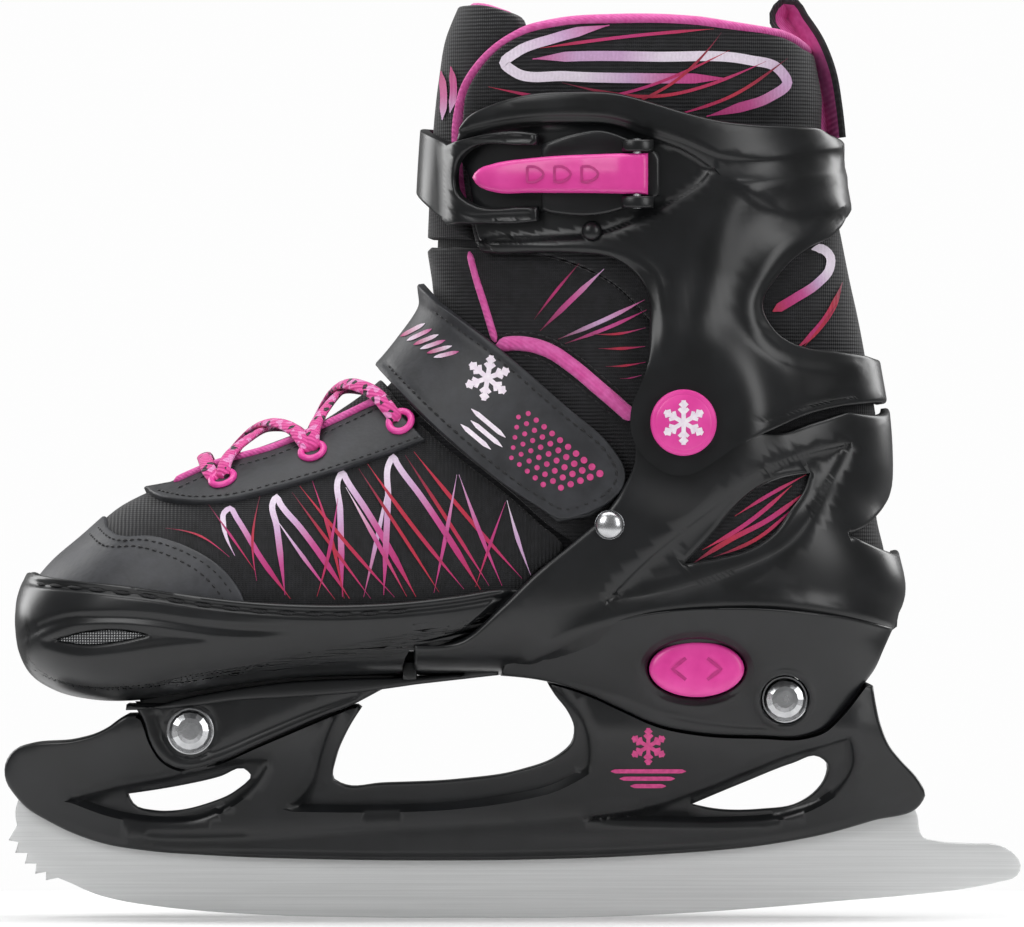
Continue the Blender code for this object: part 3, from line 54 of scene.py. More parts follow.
# %% [markdown]
# ## Studio
# A product picture of a skate is taken square on to its outer side with a long lens, so nothing looks foreshortened.
# The lens here is very long and far away. A pale floor and a pale surround stand in for the white sweep.
# %% Camera
VIEW_WIDTH = 0.2867
LENS = 600.0
VIEW_HEIGHT = 0.1277
camera = bpy.data.objects.new("camera", bpy.data.cameras.new("camera"))
camera.data.lens = LENS
camera.data.sensor_width = 36.0
camera.location = (-0.0002, -0.022 - VIEW_WIDTH * LENS / 36.0, VIEW_HEIGHT)
camera.rotation_euler = (math.pi / 2, 0, 0)
camera.data.clip_start, camera.data.clip_end = 0.1, 40.0
bpy.context.scene.collection.objects.link(camera)
bpy.context.scene.camera = camera
bpy.context.scene.view_settings.view_transform = "Standard"
print("camera is", round(-camera.location.y, 2), "m away")

# %% [markdown]
# Black plastic shows its form only by what it reflects, so the lights are large soft boxes: one overhead, one high at
# the front left, one at the right, and two behind for the edges. The surround is white to the camera but dimmer as a
# light, or the black would turn grey.
# %% Lights and surround


def softbox(name, place, target, width, height, watts):
    data = bpy.data.lights.new(name, "AREA")
    data.shape = "RECTANGLE"
    data.size, data.size_y, data.energy = width, height, watts
    lamp = bpy.data.objects.new(name, data)
    lamp.location = place
    lamp.rotation_euler = (Vector(target) - Vector(place)).to_track_quat("-Z", "Y").to_euler()
    bpy.context.scene.collection.objects.link(lamp)
    return lamp


softbox("overhead", (0.0, -0.10, 1.10), (0, 0, 0.1), 1.3, 0.8, 10.0)
softbox("front_left", (-0.75, -1.00, 0.75), (0, 0, 0.12), 0.7, 0.7, 6.5)
softbox("front_right", (0.95, -0.90, 0.45), (0, 0, 0.12), 0.5, 0.9, 5.0)
softbox("behind_left", (-0.9, 0.75, 0.55), (0, 0, 0.12), 0.5, 0.8, 6.0)
softbox("behind_right", (0.9, 0.80, 0.60), (0, 0, 0.12), 0.5, 0.8, 6.0)

world = bpy.data.worlds.new("surround")
bpy.context.scene.world = world
world.use_nodes = True
tree = world.node_tree
tree.nodes.clear()
path = tree.nodes.new("ShaderNodeLightPath")
background = tree.nodes.new("ShaderNodeBackground")
surround = tree.nodes.new("ShaderNodeMix")
surround.data_type = "FLOAT"
surround.inputs[2].default_value = 0.20
surround.inputs[3].default_value = 0.985
output = tree.nodes.new("ShaderNodeOutputWorld")
tree.links.new(path.outputs["Is Camera Ray"], surround.inputs[0])
tree.links.new(surround.outputs[0], background.inputs["Strength"])
background.inputs["Color"].default_value = (1.0, 1.0, 1.0, 1.0)
tree.links.new(background.outputs[0], output.inputs["Surface"])
print("five soft boxes and a pale surround")

# %% [markdown]
# ## Materials
# Colours are written as sRGB hex, as a paint chart gives them. Blender works in linear light, so one function converts
# them. A second one adds a node with its settings and links, which keeps each material short enough to read.
# %% Colour and node helpers


def colour(text):
    """Linear RGBA of an sRGB hex value."""
    parts = [int(text[i:i + 2], 16) / 255 for i in (1, 3, 5)]
    return (*[c / 12.92 if c <= 0.04045 else ((c + 0.055) / 1.055) ** 2.4 for c in parts], 1.0)


def add_node(material, kind, settings=None, links=None):
    """A new node; settings name its inputs or its properties, links give the output that feeds an input."""
    node = material.node_tree.nodes.new(kind)
    for key, value in (settings or {}).items():
        if isinstance(key, int) or key in node.inputs:
            node.inputs[key].default_value = value
        else:
            setattr(node, key, value)
    for key, source in (links or {}).items():
        material.node_tree.links.new(source, node.inputs[key])
    return node


def new_material(name, base, roughness, metallic=0.0, ior=1.5):
    """Material with its Principled shader, and coordinates in millimetres of the object's own frame."""
    material = bpy.data.materials.new(name)
    material.use_nodes = True
    shader = material.node_tree.nodes["Principled BSDF"]
    shader.inputs["Base Color"].default_value = colour(base)
    shader.inputs["Roughness"].default_value = roughness
    shader.inputs["Metallic"].default_value = metallic
    shader.inputs["IOR"].default_value = ior
    place = add_node(material, "ShaderNodeTexCoord")
    millimetres = add_node(material, "ShaderNodeMapping", {"Scale": (1000.0, 1000.0, 1000.0)},
                           {"Vector": place.outputs["Object"]})
    return material, shader, millimetres.outputs["Vector"]


def vary(material, shader, where, dark, light, scale, roughness=None, detail=4.0):
    """Noise that drifts the colour between two values, and the roughness with it."""
    noise = add_node(material, "ShaderNodeTexNoise", {"Scale": scale, "Detail": detail}, {"Vector": where})
    ramp = add_node(material, "ShaderNodeValToRGB", {}, {"Fac": noise.outputs["Fac"]})
    ramp.color_ramp.elements[0].position, ramp.color_ramp.elements[1].position = 0.35, 0.68
    ramp.color_ramp.elements[0].color, ramp.color_ramp.elements[1].color = colour(dark), colour(light)
    material.node_tree.links.new(ramp.outputs["Color"], shader.inputs["Base Color"])
    if roughness:
        spread = add_node(material, "ShaderNodeMapRange", {3: roughness[0], 4: roughness[1]},
                          {0: noise.outputs["Fac"]})
        material.node_tree.links.new(spread.outputs[0], shader.inputs["Roughness"])
    return noise


def bump(material, shader, height, distance, strength=1.0, below=None):
    """Bump of a height in millimetres; below is an earlier bump to lay it over."""
    links = {"Height": height}
    if below is not None:
        links["Normal"] = below.outputs["Normal"]
    node = add_node(material, "ShaderNodeBump", {"Strength": strength, "Distance": distance * MM}, links)
    material.node_tree.links.new(node.outputs["Normal"], shader.inputs["Normal"])
    return node


print("black plastic is", [round(c, 4) for c in colour("#2A2B2D")])

# %% [markdown]
# Polypropylene shells are injection moulded in polished steel tools and lightly textured, so they look satin: dark, with
# broad soft highlights. The grain is about 0.3 mm, fine enough to blur a reflection without showing as bumps.
# %% Moulded plastics
black_shell, shader, where = new_material("moulded_black_polypropylene", "#141516", 0.30, ior=1.49)
vary(black_shell, shader, where, "#121314", "#18191B", 0.09, (0.26, 0.36))
grain = add_node(black_shell, "ShaderNodeTexNoise", {"Scale": 3.2, "Detail": 2.0}, {"Vector": where})
bump(black_shell, shader, grain.outputs["Fac"], 0.012, 0.6)

pink_abs, shader, where = new_material("moulded_pink_abs", "#E0409C", 0.30, ior=1.53)
vary(pink_abs, shader, where, "#DB3A96", "#E84BA5", 0.12, (0.26, 0.36))
grain = add_node(pink_abs, "ShaderNodeTexNoise", {"Scale": 2.4, "Detail": 2.0}, {"Vector": where})
bump(pink_abs, shader, grain.outputs["Fac"], 0.010, 0.5)

pale_ink, shader, where = new_material("pad_printed_white_ink", "#F3E6F2", 0.45)
vary(pale_ink, shader, where, "#EADCEA", "#F8EFF7", 0.8)
pink_ink, shader, where = new_material("pad_printed_pink_ink", "#C8407F", 0.50)
vary(pink_ink, shader, where, "#BC3A78", "#D4488A", 0.8)
# Painted shade: darker pink strokes laid along the sunken arrows of the size button and the sunken marks on the lever.
shadow_pink, shader, where = new_material("painted_shade_pink_marks", "#B92C7C", 0.42)
vary(shadow_pink, shader, where, "#B02875", "#C23384", 0.5)
print("plastics and inks are ready")

# %% [markdown]
# The blade is hardened carbon steel, ground along its length and nickel plated. Grinding leaves fine lines along X, so
# noise is stretched a hundredfold that way for both colour and bump. Bolts and rivets are zinc plated and brighter.
# %% Metals
blade_steel, shader, where = new_material("ground_nickel_plated_steel", "#B9BABA", 0.38, metallic=1.0)
lines = add_node(blade_steel, "ShaderNodeMapping", {"Scale": (0.02, 1.0, 2.2)}, {"Vector": where})
streak = vary(blade_steel, shader, lines.outputs["Vector"], "#CFD0D0", "#DADBDB", 1.0, (0.50, 0.60))
bump(blade_steel, shader, streak.outputs["Fac"], 0.003, 0.4)

bright_zinc, shader, where = new_material("bright_zinc_plate", "#C4C5C7", 0.26, metallic=1.0)
vary(bright_zinc, shader, where, "#B9BABC", "#CFD0D2", 0.25, (0.22, 0.30))
# Painted shade: a dark steel for a disc at the floor of each bolt's hex socket, which looks dark only because little
# light reaches in.
socket_shade_steel, shader, where = new_material("painted_shade_socket_steel", "#3A3B3D", 0.5, metallic=1.0)
vary(socket_shade_steel, shader, where, "#303133", "#444547", 0.6)

vent_wire, shader, where = new_material("woven_stainless_gauze", "#8F9092", 0.40, metallic=0.9)
warp = add_node(vent_wire, "ShaderNodeTexWave", {"Scale": 0.42, "bands_direction": "X"}, {"Vector": where})
weft = add_node(vent_wire, "ShaderNodeTexWave", {"Scale": 0.42, "bands_direction": "Z"}, {"Vector": where})
weave = add_node(vent_wire, "ShaderNodeMath", {"operation": "MULTIPLY"},
                 {0: warp.outputs["Fac"], 1: weft.outputs["Fac"]})
ramp = add_node(vent_wire, "ShaderNodeValToRGB", {}, {"Fac": weave.outputs[0]})
ramp.color_ramp.elements[0].color, ramp.color_ramp.elements[1].color = colour("#2C2D2F"), colour("#C9CACB")
vent_wire.node_tree.links.new(ramp.outputs["Color"], shader.inputs["Base Color"])
bump(vent_wire, shader, weave.outputs[0], 0.25)
print("metals are ready")

# %% [markdown]
# The upper is a ribbed polyester knit bonded to foam. Its ribs are about 1 mm apart, upright on the forefoot and level
# round the ankle. A wave texture gives the ribs and a finer one the stitches in them. Sheen gives the soft edge light.
# %% Fabrics
RIB = 1.05  # millimetres


def ribbed_knit(name, base, light, across, sheen=0.25):
    """Knit with ribs; across is the axis that the ribs repeat along."""
    material, shader, where = new_material(name, base, 0.88, ior=1.45)
    shader.inputs["Sheen Weight"].default_value = sheen
    shader.inputs["Sheen Roughness"].default_value = 0.4
    vary(material, shader, where, base, light, 0.35)
    along = "Z" if across == "X" else "X"
    rib = add_node(material, "ShaderNodeTexWave", {"Scale": 0.314 / RIB, "bands_direction": across,
                                                   "Distortion": 0.6, "Detail": 1.0}, {"Vector": where})
    loop = add_node(material, "ShaderNodeTexWave", {"Scale": 0.314 / 0.55, "bands_direction": along}, {"Vector": where})
    both = add_node(material, "ShaderNodeMath", {"operation": "MULTIPLY_ADD", 1: 0.35},
                    {0: loop.outputs["Fac"], 2: rib.outputs["Fac"]})
    bump(material, shader, both.outputs[0], 0.24, 1.0)
    return material


upright_knit = ribbed_knit("ribbed_polyester_knit_upright", "#161618", "#202023", "X")
level_knit = ribbed_knit("ribbed_polyester_knit_level", "#161618", "#202023", "Z")
lining_cloth = ribbed_knit("brushed_nylon_lining", "#2B2B2E", "#37373B", "Z", 0.4)

print("rib spacing is", RIB, "mm")

# %% [markdown]
# The pattern is a heat-transfer print, a film of ink pressed on the knit, so the ribs still show through it. The ink's
# colour fades along each stroke, from white to pink or red. The stroke's mesh stores that fade as a colour attribute.
# %% Transfer print
transfer_print, shader, where = new_material("heat_transfer_print", "#E0409C", 0.60)
ink = add_node(transfer_print, "ShaderNodeAttribute", {"attribute_name": "ink"})
speck = add_node(transfer_print, "ShaderNodeTexNoise", {"Scale": 1.6, "Detail": 3.0}, {"Vector": where})
fade = add_node(transfer_print, "ShaderNodeMapRange", {3: 0.82, 4: 1.12}, {0: speck.outputs["Fac"]})
worn = add_node(transfer_print, "ShaderNodeVectorMath", {"operation": "SCALE"},
                {0: ink.outputs["Color"], "Scale": fade.outputs[0]})
transfer_print.node_tree.links.new(worn.outputs[0], shader.inputs["Base Color"])
rib = add_node(transfer_print, "ShaderNodeTexWave", {"Scale": 0.314 / RIB, "bands_direction": "X"}, {"Vector": where})
bump(transfer_print, shader, rib.outputs["Fac"], 0.10, 0.6)

# %% [markdown]
# Toe patch, eyestays and strap are coated split leather with a pressed pebble grain, about 1 mm across. Voronoi cells
# make the pebbles and a low noise the creases. Thread, piping and laces are spun polyester, so they are matt and ribbed.
# %% Leather, thread and laces


def coated_leather(name, base, light, roughness):
    material, shader, where = new_material(name, base, roughness, ior=1.48)
    vary(material, shader, where, base, light, 0.22, (roughness - 0.07, roughness + 0.07))
    pebble = add_node(material, "ShaderNodeTexVoronoi", {"Scale": 0.95, "feature": "SMOOTH_F1"}, {"Vector": where})
    first = bump(material, shader, pebble.outputs["Distance"], 0.10, 0.35)
    crease = add_node(material, "ShaderNodeTexNoise", {"Scale": 0.5, "Detail": 6.0}, {"Vector": where})
    bump(material, shader, crease.outputs["Fac"], 0.25, 0.30, first)
    return material


toe_leather = coated_leather("coated_leather_toe", "#333437", "#3E3F43", 0.52)
strap_leather = coated_leather("coated_leather_strap", "#252629", "#313236", 0.50)


def spun_thread(name, base, light, pitch, roughness=0.75):
    material, shader, where = new_material(name, base, roughness)
    shader.inputs["Sheen Weight"].default_value = 0.2
    vary(material, shader, where, base, light, 0.5)
    twist = add_node(material, "ShaderNodeTexWave", {"Scale": 0.314 / pitch, "bands_direction": "DIAGONAL"},
                     {"Vector": where})
    bump(material, shader, twist.outputs["Fac"], 0.12, 0.8)
    return material


black_thread = spun_thread("spun_black_thread", "#0E0E10", "#1B1B1E", 0.5)
pink_binding = spun_thread("woven_pink_binding", "#D24A9A", "#DF66B0", 0.7)
black_webbing = spun_thread("woven_black_webbing", "#19191B", "#29292C", 0.8)

pink_lace, shader, where = new_material("braided_pink_lace", "#DB3F92", 0.72)
shader.inputs["Sheen Weight"].default_value = 0.2
fleck = add_node(pink_lace, "ShaderNodeTexVoronoi", {"Scale": 0.62, "Randomness": 0.8}, {"Vector": where})
ramp = add_node(pink_lace, "ShaderNodeValToRGB", {}, {"Fac": fleck.outputs["Color"]})
ramp.color_ramp.interpolation = "CONSTANT"
ramp.color_ramp.elements[0].color, ramp.color_ramp.elements[1].color = colour("#DF4398"), colour("#26121D")
ramp.color_ramp.elements[1].position = 0.76
ramp.color_ramp.elements.new(0.62).color = colour("#E98CC6")
pink_lace.node_tree.links.new(ramp.outputs["Color"], shader.inputs["Base Color"])
braid = add_node(pink_lace, "ShaderNodeTexWave", {"Scale": 0.314 / 0.9, "bands_direction": "DIAGONAL"},
                 {"Vector": where})
bump(pink_lace, shader, braid.outputs["Fac"], 0.22)
print("fabric, leather and thread are ready")

# %% [markdown]
# ## The boot's surface
# Everything on the boot follows one surface, so it is made once. Each station is a slice of the boot: its top point, its
# bottom point, its half width, where it is widest and how square its halves are. A curve through the stations gives
# slices in between, and a table of points and outward directions answers where a place on the surface is.
# %% Stations of the boot, in millimetres
STATIONS = np.array([
    (-135.7, 85.5, -135.7, 81.5, 5.0, 0.50, 2.0, 2.0), (-135.2, 89.5, -135.0, 76.5, 13.0, 0.50, 2.0, 2.2),
    (-133.4, 94.0, -132.6, 71.5, 20.0, 0.52, 2.0, 2.4), (-129.0, 99.5, -127.0, 67.8, 27.5, 0.54, 2.0, 2.6),
    (-121.0, 106.5, -118.0, 65.6, 34.0, 0.56, 2.0, 3.0), (-110.5, 115.5, -107.0, 65.3, 38.5, 0.58, 2.0, 3.3),
    (-96.5, 122.5, -92.5, 67.2, 41.0, 0.60, 2.0, 3.6), (-82.0, 128.6, -77.0, 69.8, 41.5, 0.60, 2.0, 4.0),
    (-66.5, 134.0, -60.0, 71.7, 41.0, 0.60, 2.0, 4.0), (-52.0, 140.6, -40.0, 72.4, 39.0, 0.60, 2.0, 4.0),
    (-38.2, 150.4, -18.0, 72.5, 36.8, 0.60, 2.0, 4.0), (-28.6, 161.6, 5.0, 72.5, 35.0, 0.59, 2.0, 4.0),
    (-22.6, 170.6, 28.0, 72.5, 34.2, 0.58, 2.1, 4.0), (-22.6, 177.6, 52.0, 72.5, 34.0, 0.56, 2.1, 3.8),
    (-23.4, 183.5, 73.0, 72.6, 34.2, 0.55, 2.2, 3.6), (-23.9, 187.5, 90.0, 74.5, 34.6, 0.54, 2.2, 3.2),
    (-23.8, 191.0, 100.0, 81.0, 35.0, 0.54, 2.2, 2.8), (-23.7, 194.0, 106.2, 91.0, 35.3, 0.53, 2.3, 2.4),
    (-23.6, 197.0, 104.5, 102.0, 35.4, 0.52, 2.3, 2.3), (-23.5, 200.5, 102.2, 113.5, 35.4, 0.52, 2.3, 2.2),
    (-23.4, 204.0, 102.8, 126.0, 35.4, 0.51, 2.3, 2.2), (-23.2, 208.0, 102.2, 139.0, 35.6, 0.50, 2.3, 2.2),
    (-22.9, 213.0, 99.8, 154.0, 36.0, 0.50, 2.3, 2.2), (-22.5, 219.0, 96.6, 171.0, 36.6, 0.50, 2.3, 2.2),
    (-21.9, 226.0, 93.0, 187.5, 37.3, 0.50, 2.3, 2.2), (-21.0, 234.0, 89.8, 203.5, 38.0, 0.50, 2.3, 2.2),
    (-19.5, 242.5, 87.2, 219.0, 38.6, 0.50, 2.3, 2.2), (-16.8, 251.5, 85.2, 233.0, 39.0, 0.50, 2.3, 2.2),
    (-13.5, 260.0, 82.5, 247.0, 39.4, 0.50, 2.3, 2.2),
])
ROWS, HALF = 220, 72        # the table: slices along the boot, and steps from sole to top on each side
S_MM, V_MM = 430.0, 125.0   # about how many millimetres one unit of s and of v cover
print(len(STATIONS), "stations")

# %% Curves through points


def hermite(p, step, loop=False):
    """Points every step along a smooth curve through p."""
    if len(p) == 2:
        n = max(1, int(round(np.linalg.norm(p[1] - p[0]) / step)))
        return p[0] + (p[1] - p[0]) * np.linspace(0, 1, n + 1)[:, None]
    h = np.maximum(np.linalg.norm(np.diff(p, axis=0), axis=1), 1e-6)
    d = np.diff(p, axis=0) / h[:, None]
    m = np.empty_like(p)
    m[1:-1] = (d[:-1] * h[1:, None] + d[1:] * h[:-1, None]) / (h[1:] + h[:-1])[:, None]
    if loop:
        m[0] = m[-1] = (d[-1] * h[0] + d[0] * h[-1]) / (h[0] + h[-1])
    else:
        m[0], m[-1] = 1.5 * d[0] - 0.5 * m[1], 1.5 * d[-1] - 0.5 * m[-2]
    out = []
    for i in range(len(h)):
        n = max(1, int(round(h[i] / step)))
        t = (np.arange(n) / n)[:, None]
        out.append((2 * t**3 - 3 * t**2 + 1) * p[i] + (t**3 - 2 * t**2 + t) * h[i] * m[i]
                   + (3 * t**2 - 2 * t**3) * p[i + 1] + (t**3 - t**2) * h[i] * m[i + 1])
    out.append(p[-1:])
    return np.concatenate(out)


def spline(points, step=1.5, closed=False):
    """Smooth curve through the points. A point with a third value is a corner."""
    points = [tuple(p) for p in points]
    if closed:
        start = next((i for i, p in enumerate(points) if len(p) > 2), 0)
        points = points[start:] + points[:start] + [points[start]]
    cuts = [0] + [i for i in range(1, len(points) - 1) if len(points[i]) > 2] + [len(points) - 1]
    smooth_loop = closed and len(cuts) == 2 and len(points[0]) == 2
    out = [hermite(np.array([q[:2] for q in points[a:b + 1]], float), step, smooth_loop)[:-1]
           for a, b in zip(cuts[:-1], cuts[1:])]
    if not closed:
        out.append(np.array([points[-1][:2]], float))
    return np.concatenate(out)


def moved(points, dx, dz):
    return [(p[0] + dx, p[1] + dz, *p[2:]) for p in points]


# %% The surface table


def section(top, bottom, width, low, n_top, n_bottom):
    """One slice, as points at even spacing from the sole to the top on the outer side."""
    t = np.concatenate([np.linspace(0, 1, 240) ** 1.6, 2 - np.linspace(1, 0, 240)[1:] ** 1.6]) * math.pi / 2
    length = np.linalg.norm(bottom - top)
    n = np.where(t <= math.pi / 2, n_top, n_bottom)
    reach = np.where(t <= math.pi / 2, low, 1 - low) * length
    down = low * length - np.sign(np.cos(t)) * np.abs(np.cos(t)) ** (2 / n) * reach
    side = width * np.abs(np.sin(t)) ** (2 / n)
    along = (bottom - top) / length
    p = np.stack([top[0] + down * along[0], -side, top[1] + down * along[1]], 1)
    arc = np.concatenate([[0], np.cumsum(np.linalg.norm(np.diff(p, axis=0), axis=1))])
    even = np.linspace(arc[-1], 0, HALF + 1)
    return np.stack([np.interp(even, arc, p[:, k]) for k in range(3)], 1)


def surface_table():
    knots = np.concatenate([[0], np.cumsum(
        np.linalg.norm(np.diff(STATIONS[:, :2], axis=0), axis=1) * 0.35
        + np.linalg.norm(np.diff(STATIONS[:, 2:4], axis=0), axis=1) * 0.65
        + np.abs(np.diff(STATIONS[:, 4])) * 0.3)])
    knots /= knots[-1]
    slope = np.empty_like(STATIONS)
    h = np.diff(knots)[:, None]
    d = np.diff(STATIONS, axis=0) / h
    slope[1:-1] = (d[:-1] * h[1:] + d[1:] * h[:-1]) / (h[1:] + h[:-1])
    slope[0], slope[-1] = d[0], d[-1]
    table = np.empty((ROWS + 1, 2 * HALF, 3))
    for r, s in enumerate(np.linspace(0, 1, ROWS + 1)):
        i = min(np.searchsorted(knots, s, side="right") - 1, len(knots) - 2)
        step = knots[i + 1] - knots[i]
        t = (s - knots[i]) / step
        row = ((2 * t**3 - 3 * t**2 + 1) * STATIONS[i] + (t**3 - 2 * t**2 + t) * step * slope[i]
               + (3 * t**2 - 2 * t**3) * STATIONS[i + 1] + (t**3 - t**2) * step * slope[i + 1])
        half = section(row[:2], row[2:4], *row[4:])
        table[r, :HALF + 1] = half
        table[r, HALF + 1:] = half[-2:0:-1] * (1, -1, 1)
    normal = np.cross(np.gradient(table, axis=0), np.roll(table, -1, axis=1) - np.roll(table, 1, axis=1))
    normal /= np.maximum(np.linalg.norm(normal, axis=2, keepdims=True), 1e-9)
    return table, (-normal if normal[ROWS // 2, HALF // 2, 1] > 0 else normal)


TABLE, NORMAL = surface_table()
print("surface table", TABLE.shape)

# %% Places on the surface


def look_up(grid, s, v):
    """Cubic interpolation in the table; v runs 0 to 2 round a slice and wraps."""
    x, y = np.clip(s, 0, 1) * ROWS, np.mod(v, 2.0) * HALF
    i, j = np.minimum(x.astype(int), ROWS - 1), y.astype(int)
    fx, fy = (x - i)[:, None], (y - j)[:, None]

    def weights(f):
        return (-0.5 * f + f**2 - 0.5 * f**3, 1 - 2.5 * f**2 + 1.5 * f**3,
                0.5 * f + 2 * f**2 - 1.5 * f**3, -0.5 * f**2 + 0.5 * f**3)
    wx, wy = weights(fx), weights(fy)
    out = 0
    for a in range(4):
        row = np.clip(i + a - 1, 0, ROWS)
        for b in range(4):
            out = out + wx[a] * wy[b] * grid[row, (j + b - 1) % (2 * HALF)]
    return out


def boot(s, v, d):
    """Points of the boot's surface moved outward by d."""
    s, v = np.atleast_1d(s), np.atleast_1d(v)
    n = look_up(NORMAL, s, v)
    n /= np.maximum(np.linalg.norm(n, axis=1, keepdims=True), 1e-9)
    return look_up(TABLE, s, v) + n * np.broadcast_to(np.asarray(d, float), s.shape)[:, None]


def locate(xz, d):
    """(s, v) of the outer-side points that show at side-view places xz, on the surface moved out by d."""
    xz = np.atleast_2d(np.asarray(xz, float))
    flat = (TABLE + NORMAL * d)[:, :HALF + 1].reshape(-1, 3)[:, [0, 2]]
    best = np.concatenate([((flat[None] - part[:, None]) ** 2).sum(2).argmin(1)
                           for part in np.array_split(xz, max(1, len(xz) // 200))])
    s, v = (best // (HALF + 1)) / ROWS, (best % (HALF + 1)) / HALF
    for _ in range(8):
        here = boot(s, v, d)[:, [0, 2]]
        ds = (boot(s + 1e-3, v, d)[:, [0, 2]] - boot(s - 1e-3, v, d)[:, [0, 2]]) / 2e-3
        dv = (boot(s, v + 2e-3, d)[:, [0, 2]] - boot(s, v - 2e-3, d)[:, [0, 2]]) / 4e-3
        det = ds[:, 0] * dv[:, 1] - ds[:, 1] * dv[:, 0]
        det = np.where(np.abs(det) < 300, np.inf, det)
        r = xz - here
        s = np.clip(s + np.clip((r[:, 0] * dv[:, 1] - r[:, 1] * dv[:, 0]) / det, -0.01, 0.01), 0, 1)
        v = np.clip(v + np.clip((ds[:, 0] * r[:, 1] - ds[:, 1] * r[:, 0]) / det, -0.03, 0.03), 0, 1)
    return s, v


def half_width(x, z, d):
    """Half width of the surface moved out by d, at side-view places."""
    return np.abs(boot(*locate(np.stack([x, z], 1), d), d)[:, 1])


def chart(xz, d, side=-1):
    """Side-view outline as flat chart points; side +1 mirrors it to the inner side."""
    s, v = locate(xz, d)
    return np.stack([s * S_MM, (v if side < 0 else 2 - v) * V_MM], 1)


def wrap_top(half, d):
    """Closed chart loop of an outline that crosses the top or front ridge."""
    outer = chart(half, d)
    outer[0, 1] = outer[-1, 1] = V_MM
    return np.concatenate([outer, outer[::-1][1:-1] * (1, -1) + (0, 2 * V_MM)])


def wrap_back(half, d):
    """Closed chart loop of an outline that crosses the sole or back ridge."""
    outer = chart(half, d)
    outer[0, 1] = outer[-1, 1] = 0.0
    return np.concatenate([outer, outer[::-1][1:-1] * (1, -1)])


print("the top of the toe is at", boot(0.1, 1.0, 0.0).round(1)[0])

# %% [markdown]
# ## Fine moulded skins
# A moulded shell has rounded edges, and that thin bright line along every edge is most of what makes plastic look real.
# So each shell is one flat triangulation, denser near its edges, lifted to an outer and an inner face. Points near an
# edge are dropped along a quarter circle, and relief such as ribs and grooves is added to the outer face.
# %% Mesh helpers


def inside(points, loops):
    found = np.zeros(len(points), bool)
    for loop in loops:
        for (x0, y0), (x1, y1) in zip(loop, np.roll(loop, -1, axis=0)):
            if y0 != y1:
                hit = (points[:, 1] >= min(y0, y1)) & (points[:, 1] < max(y0, y1))
                found ^= hit & (points[:, 0] < x0 + (points[:, 1] - y0) * (x1 - x0) / (y1 - y0))
    return found


def far_from(points, line, closed=False):
    """Distance of each point to a polyline."""
    ends = np.roll(line, -1, axis=0) if closed else line[1:]
    best = np.full(len(points), np.inf)
    for p, q in zip(line, ends):
        e = q - p
        t = np.clip(((points - p) @ e) / max(e @ e, 1e-12), 0, 1)
        best = np.minimum(best, np.linalg.norm(points - p - t[:, None] * e, axis=1))
    return best


def even(loop, step, closed=True):
    """The same line with a point about every step."""
    ring = np.concatenate([loop, loop[:1]]) if closed else loop
    arc = np.concatenate([[0], np.cumsum(np.linalg.norm(np.diff(ring, axis=0), axis=1))])
    n = max(3, int(round(arc[-1] / step)))
    at = np.linspace(0, arc[-1], n + 1)
    # keep sharp corners exactly
    turn = [i for i in range(1, len(ring) - 1) if corner(ring[i - 1], ring[i], ring[i + 1])]
    for i in turn:
        at[np.argmin(np.abs(at - arc[i]))] = arc[i]
    at = np.unique(at)
    out = np.stack([np.interp(at, arc, ring[:, k]) for k in range(ring.shape[1])], 1)
    return out[:-1] if closed else out


def corner(a, b, c):
    u, w = b - a, c - b
    size = np.linalg.norm(u) * np.linalg.norm(w)
    return size > 0 and (u @ w) / size < 0.90


def make(name, verts, faces, material, sharp=38.0, scale=MM):
    """Mesh object from millimetre points, turned outward and shaded smooth."""
    verts = np.asarray(verts, float)
    tris = np.array([(f[0], f[k], f[k + 1]) for f in faces for k in range(1, len(f) - 1)])
    a, b, c = verts[tris[:, 0]], verts[tris[:, 1]], verts[tris[:, 2]]
    if (a * np.cross(b, c)).sum() < 0:
        faces = [tuple(reversed(f)) for f in faces]
    mesh = bpy.data.meshes.new(name)
    mesh.from_pydata((verts * scale).tolist(), [], [tuple(int(i) for i in f) for f in faces])
    mesh.validate()
    mesh.materials.append(material)
    mesh.shade_smooth()
    mesh.set_sharp_from_angle(angle=math.radians(sharp))
    obj = bpy.data.objects.new(name, mesh)
    bpy.context.scene.collection.objects.link(obj)
    return obj


